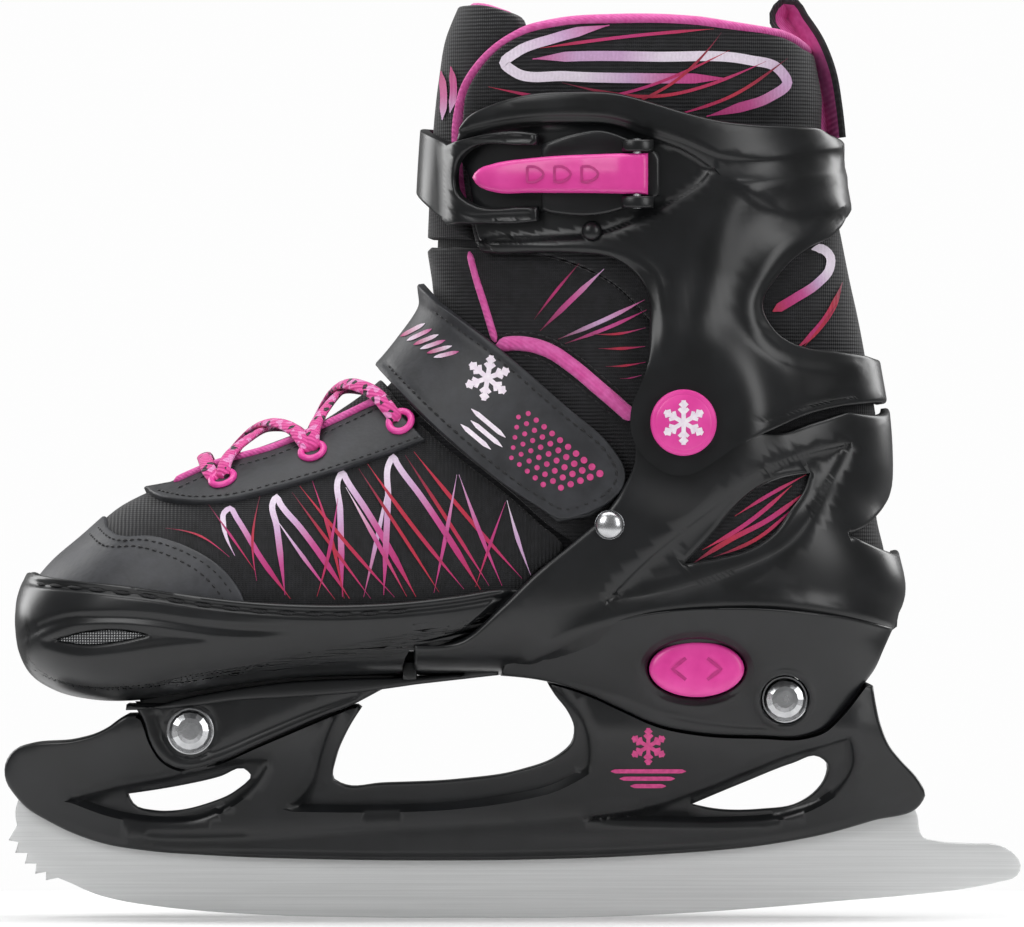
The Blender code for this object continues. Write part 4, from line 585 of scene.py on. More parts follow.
def flat_mesh(loops, step, radius, extra=()):
    """Points, triangles and edge distances of a flat sheet with rings of points near its edges."""
    loops = [even(loop, min(step, 1.6)) for loop in loops]
    points = [np.concatenate(loops)]
    near = []
    for loop in loops:
        along = np.roll(loop, -1, axis=0) - np.roll(loop, 1, axis=0)
        normal = np.stack([-along[:, 1], along[:, 0]], 1) / np.maximum(np.linalg.norm(along, axis=1), 1e-9)[:, None]
        for share in (0.15, 0.5, 1.0):
            for side in (-1, 1):
                ring = loop + normal * side * share * radius
                near.append((ring[inside(ring, loops)], share * radius))
    rings = [ring[np.min([far_from(ring, loop, True) for loop in loops], axis=0) > 0.85 * offset]
             for ring, offset in near if len(ring)]
    points += rings
    low, high = points[0].min(0), points[0].max(0)
    grid = np.array([(x, y) for k, y in enumerate(np.arange(low[1], high[1], step * 0.87))
                     for x in np.arange(low[0] + (k % 2) * step / 2, high[0], step)])
    grid = grid[inside(grid, loops)]
    grid = grid[np.min([far_from(grid, loop, True) for loop in loops], axis=0) > radius + 0.45 * step]
    for line in extra:
        grid = grid[far_from(grid, line) > 0.5 * step]
        line = line[inside(line, loops)]
        points.append(line[np.min([far_from(line, loop, True) for loop in loops], axis=0) > radius + 0.3])
    points = np.concatenate(points + [grid])
    edges, base = [], 0
    for loop in loops:
        edges += [(base + i, base + (i + 1) % len(loop)) for i in range(len(loop))]
        base += len(loop)
    flat, _, faces, *_ = delaunay_2d_cdt([Vector(p) for p in points], edges, [], 0, 1e-5)
    flat = np.array([tuple(v) for v in flat])
    faces = np.array([f for f in faces if len(f) == 3])
    faces = faces[inside(flat[faces].mean(axis=1), loops)]
    return flat, faces, np.min([far_from(flat, loop, True) for loop in loops], axis=0)


def rounding(distance, radius):
    """How far the face has dropped at this distance from the edge."""
    near = radius - np.minimum(distance, radius)
    return radius - np.sqrt(np.maximum(radius**2 - near**2, 0))


def close_sheet(flat, tris, outer, inner):
    """Faces of a closed solid between two copies of a triangulated sheet."""
    n = len(flat)
    forward = {(a, b) for t in tris.tolist() for a, b in ((t[0], t[1]), (t[1], t[2]), (t[2], t[0]))}
    faces = tris.tolist() + (tris[:, ::-1] + n).tolist()
    faces += [(b, a, a + n, b + n) for a, b in forward if (b, a) not in forward]
    return np.concatenate([outer, inner]), faces


def skin(name, loops, d_out, d_in, material, step=2.6, radius=0.8, relief=None, shape=None, extra=(), ref=4.0,
         sharp=66.0):
    """Solid that follows the boot between two offsets, with rounded edges and relief on the outer face."""
    flat, tris, distance = flat_mesh(loops, step, radius, extra)
    s, v = flat[:, 0] / S_MM, flat[:, 1] / V_MM
    at = boot(s, v, ref)
    top = d_out(at[:, 0], at[:, 2]) if callable(d_out) else np.full(len(s), float(d_out))
    low = d_in(at[:, 0], at[:, 2]) if callable(d_in) else np.full(len(s), float(d_in))
    if relief:
        top = top + relief(at[:, [0, 2]], at[:, 1])
    outer, inner = boot(s, v, top - rounding(distance, radius)), boot(s, v, low)
    if shape:
        outer, inner = shape(outer, True), shape(inner, False)
    return make(name, *close_sheet(flat, tris, outer, inner), material, sharp)


def slab(name, loops, y_out, y_in, material, step=2.6, radius=0.8, relief=None, extra=()):
    """Solid over side-view outlines between two heights; y_out is the outer face and gets the rounding."""
    flat, tris, distance = flat_mesh(loops, step, radius, extra)
    out = y_out(flat[:, 0], flat[:, 1]) if callable(y_out) else np.full(len(flat), float(y_out))
    low = y_in(flat[:, 0], flat[:, 1]) if callable(y_in) else np.full(len(flat), float(y_in))
    way = np.sign(np.mean(out - low))
    drop = rounding(distance, radius) - (relief(flat) if relief else 0.0)
    outer = np.stack([flat[:, 0], out - way * drop, flat[:, 1]], 1)
    inner = np.stack([flat[:, 0], low, flat[:, 1]], 1)
    return make(name, *close_sheet(flat, tris, outer, inner), material, 66.0)


# %% Relief: ribs, grooves and steps


def ridge(points, line, width, height):
    """A rib of this half width and height along a line; a negative height is a groove."""
    w = np.clip(1 - far_from(points, line) / width, 0, 1)
    return height * w * w * (3 - 2 * w)


def plateau(points, loop, height, soft):
    """A step of this height inside a loop, with a slope soft millimetres wide."""
    signed = far_from(points, loop, True) * np.where(inside(points, [loop]), 1, -1)
    w = np.clip(signed / soft + 0.5, 0, 1)
    return height * w * w * (3 - 2 * w)


def rails(line, offset, d=None, step=1.4):
    """Points beside a line, so that a step or rib there gets its own row of vertices."""
    line = even(line, step, closed=False)
    along = np.gradient(line, axis=0)
    normal = np.stack([-along[:, 1], along[:, 0]], 1) / np.maximum(np.linalg.norm(along, axis=1), 1e-9)[:, None]
    both = [line + normal * k * offset for k in (-1, 0, 1)]
    if d is None:
        return both
    return [chart(q, d, side) for q in both for side in (-1, 1)]


print("skin, slab and relief helpers are ready")

# %% [markdown]
# ## Blade
# The blade is one piece of flat steel, cut with toe picks at the front and ground to a gentle rocker. The CAD outline is
# sampled coarsely, so the same outline is traced again at 1.5 mm with both edges eased by a third of a millimetre.
# %% Blade
BLADE_EDGE = spline([
    (-138.5, 34.5, 0), (-139.9, 29.5), (-139.4, 26.0, 0), (-141.8, 21.8, 0), (-139.0, 21.2, 0), (-139.9, 18.2, 0),
    (-136.4, 18.2, 0), (-137.2, 15.2, 0), (-133.9, 15.2, 0), (-134.3, 12.3, 0), (-131.2, 12.9, 0),
    (-131.3, 10.5, 0), (-127.9, 11.2, 0), (-123.9, 9.6, 0), (-118.0, 6.9), (-110.7, 4.9), (-101.5, 3.4),
    (-87.6, 1.9), (-70.0, 0.8), (-45.0, 0.15), (-14.0, 0.0, 0), (14.0, 0.0, 0), (30.0, 0.4), (52.0, 1.5),
    (74.0, 3.1), (92.0, 4.7), (110.0, 6.2), (128.0, 8.3), (137.0, 10.1), (141.5, 11.5), (142.8, 13.5),
    (142.5, 16.0), (139.8, 18.9), (137.0, 20.3), (128.0, 20.9), (119.0, 21.6), (115.4, 22.6), (114.2, 25.0),
    (114.0, 28.0), (111.0, 34.0, 0), (104.0, 36.0, 0), (92.0, 30.0), (72.0, 26.0), (40.0, 23.0), (2.0, 21.8),
    (-45.0, 21.6), (-84.0, 23.5), (-104.0, 25.0), (-122.0, 29.0), (-131.0, 34.0, 0), (-133.0, 38.5, 0),
], 1.5, True)
flat, tris, distance = flat_mesh([BLADE_EDGE], 4.0, 0.35)
ease = rounding(distance, 0.35)
blade = make("blade_ground", *close_sheet(flat, tris, np.stack([flat[:, 0], -1.5 + ease, flat[:, 1]], 1),
                                          np.stack([flat[:, 0], 1.5 - ease, flat[:, 1]], 1)), blade_steel)
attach(blade, "boot")
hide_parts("blade")
print("blade", len(flat), "points")

# %% [markdown]
# ## Blade holder
# The holder is a hollow-looking box of glass-filled nylon. Its sides swell from a slim rail at the blade to wide towers
# under the boot, with sunken pockets round the slots. Both sides are the same, so one sheet makes both halves.
# %% Blade holder
HOLDER = spline([
    (-142.3, 38.2), (-140.2, 34.9), (-136.9, 31.2), (-131.2, 27.6), (-123.1, 23.6), (-114.7, 20.8), (-102.4, 18.8),
    (-86.0, 17.6), (-53.0, 16.4), (-28.5, 16.1), (2.0, 16.3), (38.0, 17.6), (74.0, 20.9), (87.6, 23.5),
    (101.0, 27.3), (114.6, 31.9), (115.9, 34.4), (113.7, 39.2), (109.2, 44.1), (105.6, 48.6), (103.3, 54.0),
    (101.8, 60.3), (101.0, 65.4, 0), (98.0, 66.8, 0), (60.0, 66.8, 0), (9.6, 66.4, 0), (11.5, 63.2), (15.5, 58.0),
    (17.3, 53.1), (16.7, 49.4), (13.0, 45.8), (2.0, 41.5), (-14.7, 39.0), (-36.8, 37.9), (-47.5, 37.5),
    (-50.2, 38.9), (-49.6, 45.0), (-46.5, 52.5), (-42.4, 59.2, 0), (-43.5, 60.0, 0), (-60.0, 60.0, 0),
    (-78.0, 59.4, 0), (-93.0, 57.8, 0), (-108.0, 57.4, 0), (-109.9, 56.4), (-113.1, 54.0), (-117.2, 51.8),
    (-123.1, 50.2), (-135.4, 49.0), (-139.6, 47.6), (-142.4, 44.0)], 1.5, True)
FRONT_SLOT = spline([(-108.2, 34.9, 0), (-94.2, 37.1), (-81.9, 39.9), (-75.5, 42.1), (-73.6, 40.4), (-77.8, 35.8),
                     (-86.0, 32.1), (-94.2, 30.2), (-101.0, 30.2), (-106.5, 31.8)], 1.5, True)
REAR_SLOT = spline([(50.3, 32.0, 0), (65.0, 38.2), (78.5, 43.6), (85.6, 45.6), (88.4, 43.3), (88.0, 39.6),
                    (85.0, 35.4), (80.0, 32.2), (70.0, 30.6), (56.0, 30.8)], 1.5, True)
POCKETS = [
    spline([(-62.0, 31.0, 0), (-40.0, 30.8), (-14.7, 31.8), (2.0, 34.2), (11.0, 36.4), (21.0, 41.6, 0), (21.5, 48.0),
            (19.5, 56.0), (14.0, 63.0), (9.0, 69.0, 0), (-44.0, 64.0, 0), (-50.0, 56.0), (-53.5, 47.0), (-56.0, 38.0)],
           2.0, True),
    spline([(-123.3, 33.3, 0), (-112.0, 29.3), (-100.0, 27.5), (-88.0, 28.2), (-78.0, 33.0), (-71.0, 39.5),
            (-68.3, 44.4, 0), (-75.0, 44.4), (-84.0, 42.3), (-96.0, 39.4), (-110.0, 36.8)], 2.0, True),
    spline([(21.0, 27.9, 0), (40.0, 27.6), (60.0, 27.4), (76.0, 28.8), (86.0, 32.5), (92.0, 37.0), (95.6, 44.0),
            (94.4, 50.8, 0), (88.0, 48.8), (78.0, 46.0), (65.0, 40.8), (50.3, 34.8), (35.0, 30.2)], 2.0, True)]
HOLDER_CREASE = spline([(-108.0, 22.4), (-101.6, 22.0), (-69.6, 22.3), (-45.0, 24.0), (-14.7, 25.6), (2.0, 26.5),
                        (29.0, 29.3), (49.7, 32.0)], 2.0)
HOLDER_LIP = spline([(-128.0, 28.2), (-114.7, 22.8), (-102.4, 20.8), (-86.0, 19.6), (-53.0, 18.4), (-28.5, 18.1),
                     (2.0, 18.3), (38.0, 19.6), (74.0, 22.9), (87.6, 25.6), (101.0, 29.6), (111.0, 33.4)], 2.0)


def holder_half(x, z):
    """Half thickness: a slim rail that swells towards the boot."""
    t = np.clip((z - 19.0) / 36.0, 0, 1)
    nose = np.clip((x + 143.5) / 34.0, 0.03, 1) ** 0.5
    tail = np.clip((117.5 - x) / 22.0, 0.05, 1) ** 0.5
    return 4.6 + (15.2 * (t * t * (3 - 2 * t))) * np.minimum(nose, tail)


def holder_relief(p):
    out = ridge(p, HOLDER_CREASE, 3.0, 0.9) + ridge(p, HOLDER_LIP, 0.8, -0.45)
    for pocket in POCKETS:
        out = out + plateau(p, pocket, -3.4, 2.6)
    return out


holder_lines = [q for line in (*POCKETS, HOLDER_CREASE, HOLDER_LIP) for q in rails(line, 1.1)]
LUG = [(-106.5, 60.6, 0), (-104.0, 56.4), (-101.6, 49.7), (-98.4, 44.8), (-94.2, 42.4), (-89.5, 42.1), (-84.4, 43.5),
       (-69.6, 49.7), (-53.1, 56.7), (-44.4, 60.3), (-36.8, 64.3), (-28.5, 68.6, 0)]
SKIRT_LOW = [(106.8, 81.6, 0), (103.7, 74.9), (101.8, 70.6), (97.9, 65.2), (91.1, 56.8), (87.2, 53.2), (82.0, 51.4),
             (69.0, 51.4), (52.5, 52.2), (40.0, 54.7), (30.4, 59.0), (20.7, 63.4), (9.1, 66.8), (-3.4, 68.3, 0)]
FRONT_SEAT = spline(moved(LUG[:1], -0.6, 0) + moved(LUG[1:-1], 0, -0.6) + [(-28.0, 66.0, 0), (-28.0, 72.0, 0),
                                                                         (-107.1, 72.0, 0)], 2.0, True)
REAR_SEAT = spline(moved(SKIRT_LOW[1:-1], 0.4, -0.6) + [(-4.0, 66.5, 0), (-4.0, 74.0, 0), (106.0, 76.0, 0)], 2.0, True)


def holder_face(x, z):
    """Outer face, sunk where the shell's lugs and skirts sit in it."""
    p = np.stack([x, z], 1)
    half = holder_half(x, z)
    for seat, floor in ((FRONT_SEAT, 14.4), (REAR_SEAT, 11.6)):
        signed = far_from(p, seat, True) * np.where(inside(p, [seat]), 1, -1)
        t = np.clip(signed / 0.5 + 0.5, 0, 1)
        half = half - np.maximum(half - floor, 0) * t
    return half


for side, sign in (("outer", -1), ("inner", 1)):
    half = slab("holder_" + side, [HOLDER, FRONT_SLOT, REAR_SLOT], lambda x, z, k=sign: k * holder_face(x, z),
                lambda x, z, k=sign: k * np.full(len(x), 1.85), black_shell, 2.4, 1.0, holder_relief,
                holder_lines + rails(FRONT_SEAT, 0.3) + rails(REAR_SEAT, 0.3))
    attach(half, "boot")
    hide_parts("blade_holder")
bridge = spline([(-128.0, 41.0, 0), (-110.0, 28.6), (-84.0, 26.4), (-45.0, 24.4), (2.0, 24.8), (40.0, 26.4),
                 (72.0, 29.2),
                 (91.0, 33.4), (104.0, 39.6), (112.0, 37.4, 0), (104.0, 48.0), (100.0, 62.0, 0), (20.0, 62.0, 0),
                 (18.8, 50.0), (13.0, 44.2), (2.0, 39.9), (-14.7, 37.4), (-36.8, 36.4), (-49.0, 36.0, 0),
                 (-52.5, 42.0), (-48.0, 56.0, 0), (-104.0, 54.0, 0), (-118.0, 49.0), (-134.0, 46.0, 0)], 2.5, True)
core = slab("holder_core", [bridge, FRONT_SLOT + (0, 0), REAR_SLOT + (0, 0)], -2.2, 2.2, black_shell, 6.0, 0.1)
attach(core, "boot")
print("holder halves", len(half.data.vertices), "points each")

# %% [markdown]
# ## Bolts and rivets
# The holder is held by two button-head bolts with hex sockets, and the strap and buckle by domed rivets. All are turned
# profiles. A socket's rings are six-sided, which a radius that depends on the angle gives without any cutting.
# %% Turned pieces


def turned(name, centre, profile, material, sides=48, axis=(0.0, -1.0, 0.0), stretch=1.0):
    """Rings of (height, radius, sixness) along an axis; sixness 1 makes a hexagonal ring."""
    up = Vector(axis).normalized()
    across = up.cross(Vector((0, 0, 1)) if abs(up.z) < 0.9 else Vector((1, 0, 0))).normalized()
    other = up.cross(across)
    verts, faces = [], []
    for height, radius, *six in profile:
        for k in range(sides):
            a = 2 * math.pi * k / sides
            hexagon = math.cos(math.pi / 6) / math.cos((a % (math.pi / 3)) - math.pi / 6)
            r = radius * (1 + (hexagon - 1) * (six[0] if six else 0.0))
            verts.append(Vector(centre) + up * height + across * (r * stretch * math.cos(a)) + other * (r * math.sin(a)))
    for i in range(len(profile) - 1):
        faces += [(i * sides + k, i * sides + (k + 1) % sides, (i + 1) * sides + (k + 1) % sides, (i + 1) * sides + k)
                  for k in range(sides)]
    faces.append(tuple(reversed(range(sides))))
    faces.append(tuple((len(profile) - 1) * sides + k for k in range(sides)))
    return make(name, [tuple(v) for v in verts], faces, material, 30.0)


def button_head(name, centre, radius, height, way):
    """Domed head with a hex socket."""
    dome = [(height * math.sin(a), radius * (0.42 + 0.58 * math.cos(a))) for a in np.linspace(0.12, 1.45, 9)]
    return turned(name, centre, [(-0.6, radius * 0.97), (0.0, radius), (height * 0.10, radius), *dome,
                                 (height * 1.0, radius * 0.56), (height * 0.92, radius * 0.53, 1.0),
                                 (height * 0.10, radius * 0.51, 1.0), (height * 0.05, radius * 0.02, 1.0)],
                  bright_zinc, axis=(0, way, 0))


def rivet(name, centre, radius, height, way, material):
    """Plain domed rivet with a small flat rim."""
    dome = [(height * math.sin(a), radius * math.cos(a)) for a in np.linspace(0.05, 1.5, 10)]
    return turned(name, centre, [(-0.5, radius * 1.02), (0.0, radius * 1.04), (height * 0.08, radius * 1.02), *dome],
                  material, axis=(0, way, 0))


def edge_y(node, low):
    """Outer face of a CAD node on the outer or the inner side, in millimetres."""
    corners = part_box(node)
    return (corners[0].y if low else corners[1].y) / MM


for label, (x, z) in (("front", (-90.3, 52.8)), ("rear", (76.2, 61.7))):
    for node, low in ((label + "_bolt", True), (label + "_barrel_nut", False)):
        way = -1 if low else 1
        tip = edge_y(node, low)
        head = button_head(node + "_head", (x, tip - way * 3.4, z), 5.9, 3.3, way)
        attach(head, "boot")
        # A dark hex disc at the socket's floor is painted shade for the deep socket.
        socket_shade_disc = turned(node + "_socket", (x, tip - way * 3.4, z),
                            [(0.3, 2.85, 1.0), (0.9, 2.80, 1.0), (1.0, 2.6, 1.0), (0.7, 1.2)], socket_shade_steel,
                            axis=(0, way, 0))
        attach(socket_shade_disc, "boot")
        washer = turned(node + "_washer", (x, tip - way * 4.6, z), [(0.0, 6.6), (0.9, 6.6), (1.1, 6.3), (1.1, 3.0)],
                        bright_zinc, axis=(0, way, 0))
        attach(washer, "boot")
        nodes[node].data.materials.clear()
        nodes[node].data.materials.append(bright_zinc)
print("bolt heads stand at y", round(edge_y("front_bolt", True), 1), round(edge_y("rear_bolt", True), 1))

# %% [markdown]
# ## Rear shell
# The shell is one moulding: a heel cup with arms that run forward over the toe cap, discs that carry the cuff, skirts
# that drop over the holder and a sole with two lugs. Each stretch is its own sheet here, and their faces meet inside
# the ribs, where a real moulding has its creases.
# %% Shell outlines and reliefs
PIVOT = (47.6, 139.1)
SHELL_OUT, SHELL_IN = 4.2, 1.8


def toward_disc(height_out, height_in, near, far):
    """Draws a surface to a flat disc round each cuff pivot."""
    def shape(p, outer):
        r = np.hypot(p[:, 0] - PIVOT[0], p[:, 2] - PIVOT[1])
        w = np.clip((far - r) / (far - near), 0, 1)
        w = w * w * (3 - 2 * w)
        out = p.copy()
        out[:, 1] = p[:, 1] * (1 - w) + np.sign(p[:, 1]) * (height_out if outer else height_in) * w
        return out
    return shape


SHELL_HALF = [(-27.6, 68.3, 0), (-27.4, 76.5, 0), (-15.4, 77.6), (-3.4, 87.5), (6.3, 97.0), (16.9, 105.7),
              (24.5, 112.4), (30.4, 120.3), (34.0, 128.0), (34.0, 139.1), (38.0, 148.7), (47.6, 152.7), (57.2, 148.7),
              (62.0, 141.5), (67.0, 137.4), (74.0, 136.2), (84.0, 138.9), (95.0, 142.3, 0), (106.0, 143.6, 0)]
LEAF = spline([(47.7, 99.4, 0), (55.5, 107.7), (62.2, 115.5), (69.0, 121.0), (76.6, 124.2), (84.4, 125.4, 0),
               (82.5, 120.3), (78.5, 115.0), (73.8, 108.6), (67.1, 103.9), (57.4, 101.0)], 1.5, True)
OUTER_LEAF = spline([(26.1, 89.1, 0), (37.9, 100.9), (54.0, 113.7), (70.1, 125.5), (94.7, 133.0, 0), (90.4, 125.5),
                     (78.6, 106.2), (59.3, 96.6), (40.0, 91.2)], 2.0, True)
PANEL_RIDGE = spline([(4.0, 74.0), (14.0, 79.6), (24.5, 83.6), (38.1, 86.9), (49.7, 88.3), (64.1, 88.9), (78.5, 88.3),
                      (97.9, 84.9), (108.5, 81.6)], 2.0)


def shell_top(x, z):
    lift = 1.8 * np.clip((40.0 - x) / 30.0, 0, 1)
    return SHELL_OUT + lift * np.clip((z - 72.0) / 6.0, 0, 1)


def shell_low(x, z):
    return SHELL_IN + 2.0 * np.clip((42.0 - x) / 22.0, 0, 1) * np.clip((z - 74.0) / 3.5, 0, 1)


def shell_relief(p, y):
    return plateau(p, OUTER_LEAF, -1.9, 2.2) + ridge(p, PANEL_RIDGE, 3.4, 1.6)


shell_a = chart(spline(SHELL_HALF[:-1], 1.5), 5.0)
shell_a[0, 1] = 0.0
back_top, notch_top, notch_low = (locate([(x, z)], SHELL_OUT)[0][0] * S_MM
                                  for x, z in ((106.0, 143.4), (106.4, 121.0), (106.5, 105.0)))
notch_tip = chart([(94.5, 108.0)], SHELL_OUT)[0]
outline = np.concatenate([shell_a, [[back_top, 0.0]]])
shell_loop = np.concatenate([outline, outline[1:-1][::-1] * (1, -1)])
notch_loop = np.array([(notch_top, 0.0), tuple(notch_tip), (notch_low, 0.0), (notch_tip[0], -notch_tip[1])])
leaf = chart(LEAF, SHELL_OUT)
shell_lines = [q for line, w in ((OUTER_LEAF, 1.1), (PANEL_RIDGE, 1.8)) for q in rails(line, w, 4.2)]
shell_lines = [q if q[:, 1].mean() <= V_MM else q - (0, 2 * V_MM) for q in shell_lines]
heel_cup = skin("heel_cup", [shell_loop, notch_loop, leaf, leaf * (1, -1)], shell_top, shell_low, black_shell, 2.2, 1.1,
                shell_relief, toward_disc(40.6, 37.4, 13.5, 30.0), shell_lines)
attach(heel_cup, "boot")
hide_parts("rear_shell")
print("heel cup", len(heel_cup.data.vertices), "points")

# %% Skirts, sole and lugs
SKIRT = spline(SKIRT_LOW + [(-2.0, 73.0, 0), (8.0, 77.0), (24.5, 83.0), (38.1, 85.9), (60.0, 87.4), (84.0, 86.0),
                            (100.0, 83.4)], 1.5, True)
BUTTON = (51.4, 70.3)
BUTTON_RX, BUTTON_RZ = 13.3, 7.9
angles = np.linspace(0, 2 * math.pi, 49)[:-1]
button_hole = np.stack([BUTTON[0] + (BUTTON_RX + 0.5) * np.cos(angles),
                        BUTTON[1] + (BUTTON_RZ + 0.5) * np.sin(angles)], 1)
bolt_bore = np.stack([76.2 + 6.8 * np.cos(angles), 61.7 + 6.8 * np.sin(angles)], 1)
button_rim = np.stack([BUTTON[0] + (BUTTON_RX + 2.4) * np.cos(angles),
                       BUTTON[1] + (BUTTON_RZ + 2.2) * np.sin(angles)], 1)
bolt_rim = np.stack([76.2 + 8.6 * np.cos(angles), 61.7 + 8.6 * np.sin(angles)], 1)
SKIRT_CREASE = spline([(14.0, 67.0), (30.0, 62.6), (44.0, 57.4), (58.0, 54.9), (72.0, 54.0)], 2.0)


def skirt_half(x, z):
    base = np.interp(z, [51.0, 57.0, 63.0, 70.0, 76.0, 82.0, 88.0], [19.8, 21.4, 24.4, 29.4, 33.2, 36.4, 38.6])
    heel = np.sqrt(np.clip(1 - (np.clip(x - 68.0, 0, 41) / 40.8) ** 2, 0.02, 1))
    return base * heel * (1 - 0.10 * np.clip((20.0 - x) / 24.0, 0, 1))


def skirt_relief(p):
    return (plateau(p, button_rim, -0.9, 1.4) + plateau(p, bolt_rim, 0.8, 1.2) + ridge(p, SKIRT_CREASE, 1.2, -0.35)
            + ridge(p, PANEL_RIDGE, 3.2, 1.2))


skirt_lines = [q for line in (button_rim, bolt_rim, SKIRT_CREASE) for q in rails(line, 0.7)]
for side, sign, holes in (("outer", -1, [button_hole, bolt_bore]), ("inner", 1, [bolt_bore])):
    skirt = slab("skirt_" + side, [SKIRT, *holes], lambda x, z, k=sign: k * skirt_half(x, z),
                 lambda x, z, k=sign: k * np.maximum(skirt_half(x, z) - 4.4, 0.4), black_shell, 2.4, 1.1, skirt_relief,
                 skirt_lines)
    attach(skirt, "boot")
    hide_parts("rear_shell")

SOLE = spline([(-108.4, 58.6, 0), (-108.2, 60.2, 0), (-100.0, 60.0), (-93.0, 61.8), (-78.0, 64.6), (-61.5, 66.7),
               (-45.0, 67.5), (-27.0, 67.9, 0), (-14.0, 68.8, 0), (-14.0, 70.6, 0), (-4.0, 70.6, 0), (-4.0, 68.4, 0),
               (-27.0, 65.8, 0), (-45.0, 63.4), (-61.5, 62.2), (-78.0, 61.2), (-93.0, 59.2), (-101.0, 58.8)], 2.0, True)
LUG_LOOP = spline(LUG + [(-45.0, 66.2, 0), (-61.5, 65.4), (-78.0, 63.2), (-93.0, 60.6, 0)], 1.5, True)
LUG_INNER = spline([(-100.0, 58.0), (-97.4, 51.0), (-94.0, 46.4), (-89.6, 45.4), (-84.0, 47.0), (-69.6, 53.0),
                    (-56.0, 58.6), (-44.0, 62.6)], 2.0)
front_rim = np.stack([-90.3 + 7.6 * np.cos(angles), 52.8 + 7.6 * np.sin(angles)], 1)
for side, sign in (("outer", -1), ("inner", 1)):
    sole = slab("sole_" + side, [SOLE], sign * 20.5, 0.0, black_shell, 3.0, 0.8)
    lug = slab("lug_" + side, [LUG_LOOP], sign * 19.9, sign * 15.0, black_shell, 2.2, 1.3,
               lambda p: ridge(p, LUG_INNER, 1.4, -0.6) + plateau(p, front_rim, -0.5, 1.0),
               rails(LUG_INNER, 0.7) + rails(front_rim, 0.5))
    for piece in (sole, lug):
        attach(piece, "boot")
        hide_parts("rear_shell")
print("skirts, sole and lugs are made")

# %% [markdown]
# ## Toe cap
# The cap slides out of the shell to make the boot longer. It is a deep cup with an open rim, two long grooves and a
# stitched channel under the rim. A regular grid fits it well: rows run from the toe back, columns from rim to rim.
# %% Toe cap
RIM = [(-139.6, 97.4), (-127.1, 95.7), (-110.7, 94.1), (-94.2, 91.7), (-77.8, 89.6), (-61.5, 88.5), (-44.9, 88.3),
       (-28.5, 89.2), (-14.7, 90.9), (-3.0, 92.6), (4.3, 92.2)]
TAIL_SIDE = [(-31.0, 69.0), (-31.0, 73.0), (-29.0, 77.2), (-21.0, 80.6), (-9.0, 82.4), (3.0, 88.0), (12.0, 93.6)]
GROOVES = [spline([(-138.5, 78.0), (-134.8, 80.5), (-125.4, 84.2), (-114.7, 84.8), (-102.4, 84.4), (-86.1, 82.2),
                   (-73.8, 81.2), (-61.5, 81.3), (-50.7, 81.9)], 2.0),
           spline([(-138.0, 73.4), (-136.5, 72.4), (-131.2, 70.7), (-118.9, 69.4), (-110.7, 69.3), (-94.2, 70.3),
                   (-81.9, 71.1), (-61.5, 72.4), (-36.8, 74.3)], 2.0)]
CHANNEL = spline([(-141.0, 94.9), (-136.9, 94.5), (-118.9, 92.8), (-102.4, 90.9), (-86.1, 88.3), (-69.6, 86.5),
                  (-53.1, 85.7), (-36.8, 86.1), (-24.5, 87.1), (-14.7, 88.3), (-4.0, 90.2)], 2.0)
VENT = spline([(-128.5, 78.1, 0), (-121.0, 80.4), (-114.7, 81.2), (-107.0, 80.9), (-101.6, 79.7, 0), (-110.7, 77.7),
               (-119.5, 76.8)], 1.0, True)
SCOOP = spline([(-131.0, 77.8, 0), (-121.0, 81.8), (-112.0, 82.6), (-100.0, 81.4), (-86.0, 78.8, 0), (-100.0, 77.4),
                (-112.0, 75.6), (-122.0, 75.0)], 1.5, True)
rim_s, rim_v = locate(spline(RIM, 2.0), 3.7)
rim_start = rim_s[rim_v > 0.985].max() if (rim_v > 0.985).any() else rim_s[0]
keep = rim_s >= rim_start
order = np.argsort(rim_s[keep])
rim_s, rim_v = rim_s[keep][order], rim_v[keep][order]
tail_s, tail_v = locate(spline(TAIL_SIDE, 2.0), 2.0)
tail_v[0] = 0.0
order = np.argsort(tail_v)
tail_s, tail_v = tail_s[order], tail_v[order]


def cap_half(s):
    """v where the cap ends at its rim; 1 where it is closed over the toe."""
    return np.where(s < rim_start, 1.0, np.interp(s, rim_s, rim_v))


def cap_top(x, z):
    edge = np.interp(z, [70.0, 76.2, 86.4, 94.2], [-23.0, -17.4, -5.5, 2.3])
    t, side = np.clip((edge - x) / 3.0, 0, 1), np.clip((z - 73.0) / 3.0, 0, 1)
    return 4.2 * (1 - side) + (2.1 + 2.1 * t) * side


def cap_relief(p):
    out = plateau(p, SCOOP, -0.7, 3.0) + plateau(p, VENT, -1.5, 0.9)
    out = out + ridge(p, GROOVES[0], 2.2, -0.7) * np.clip((p[:, 0] + 140.0) / 8.0, 0, 1)
    out = out * np.clip((-58.0 - p[:, 0]) / 14.0, 0, 1)
    return out + ridge(p, CHANNEL, 1.6, -1.0) * np.clip((p[:, 0] + 138.0) / 6.0, 0, 1)


CAP_ROWS, CAP_COLS = 210, 150
grid_s, grid_v = [], []
for r in range(CAP_ROWS + 1):
    t = (r / CAP_ROWS) ** 1.15
    f = np.linspace(-1, 1, 2 * CAP_COLS + 1)
    s = np.full(len(f), t * tail_s[0])
    for _ in range(6):
        s = t * np.interp(np.abs(f * cap_half(s)), tail_v, tail_s)
    grid_s.append(s)
    grid_v.append(f * cap_half(s))
grid_s, grid_v = np.array(grid_s).ravel(), np.array(grid_v).ravel()
flat = boot(grid_s, grid_v, 4.0)
rim_gap = (cap_half(grid_s) - np.abs(grid_v)) * V_MM + np.where(grid_s < rim_start, 50.0, 0.0)
outer = boot(grid_s, grid_v, cap_top(flat[:, 0], flat[:, 2]) + cap_relief(flat[:, [0, 2]]) - rounding(rim_gap, 1.2))
inner = boot(grid_s, grid_v, 1.2)
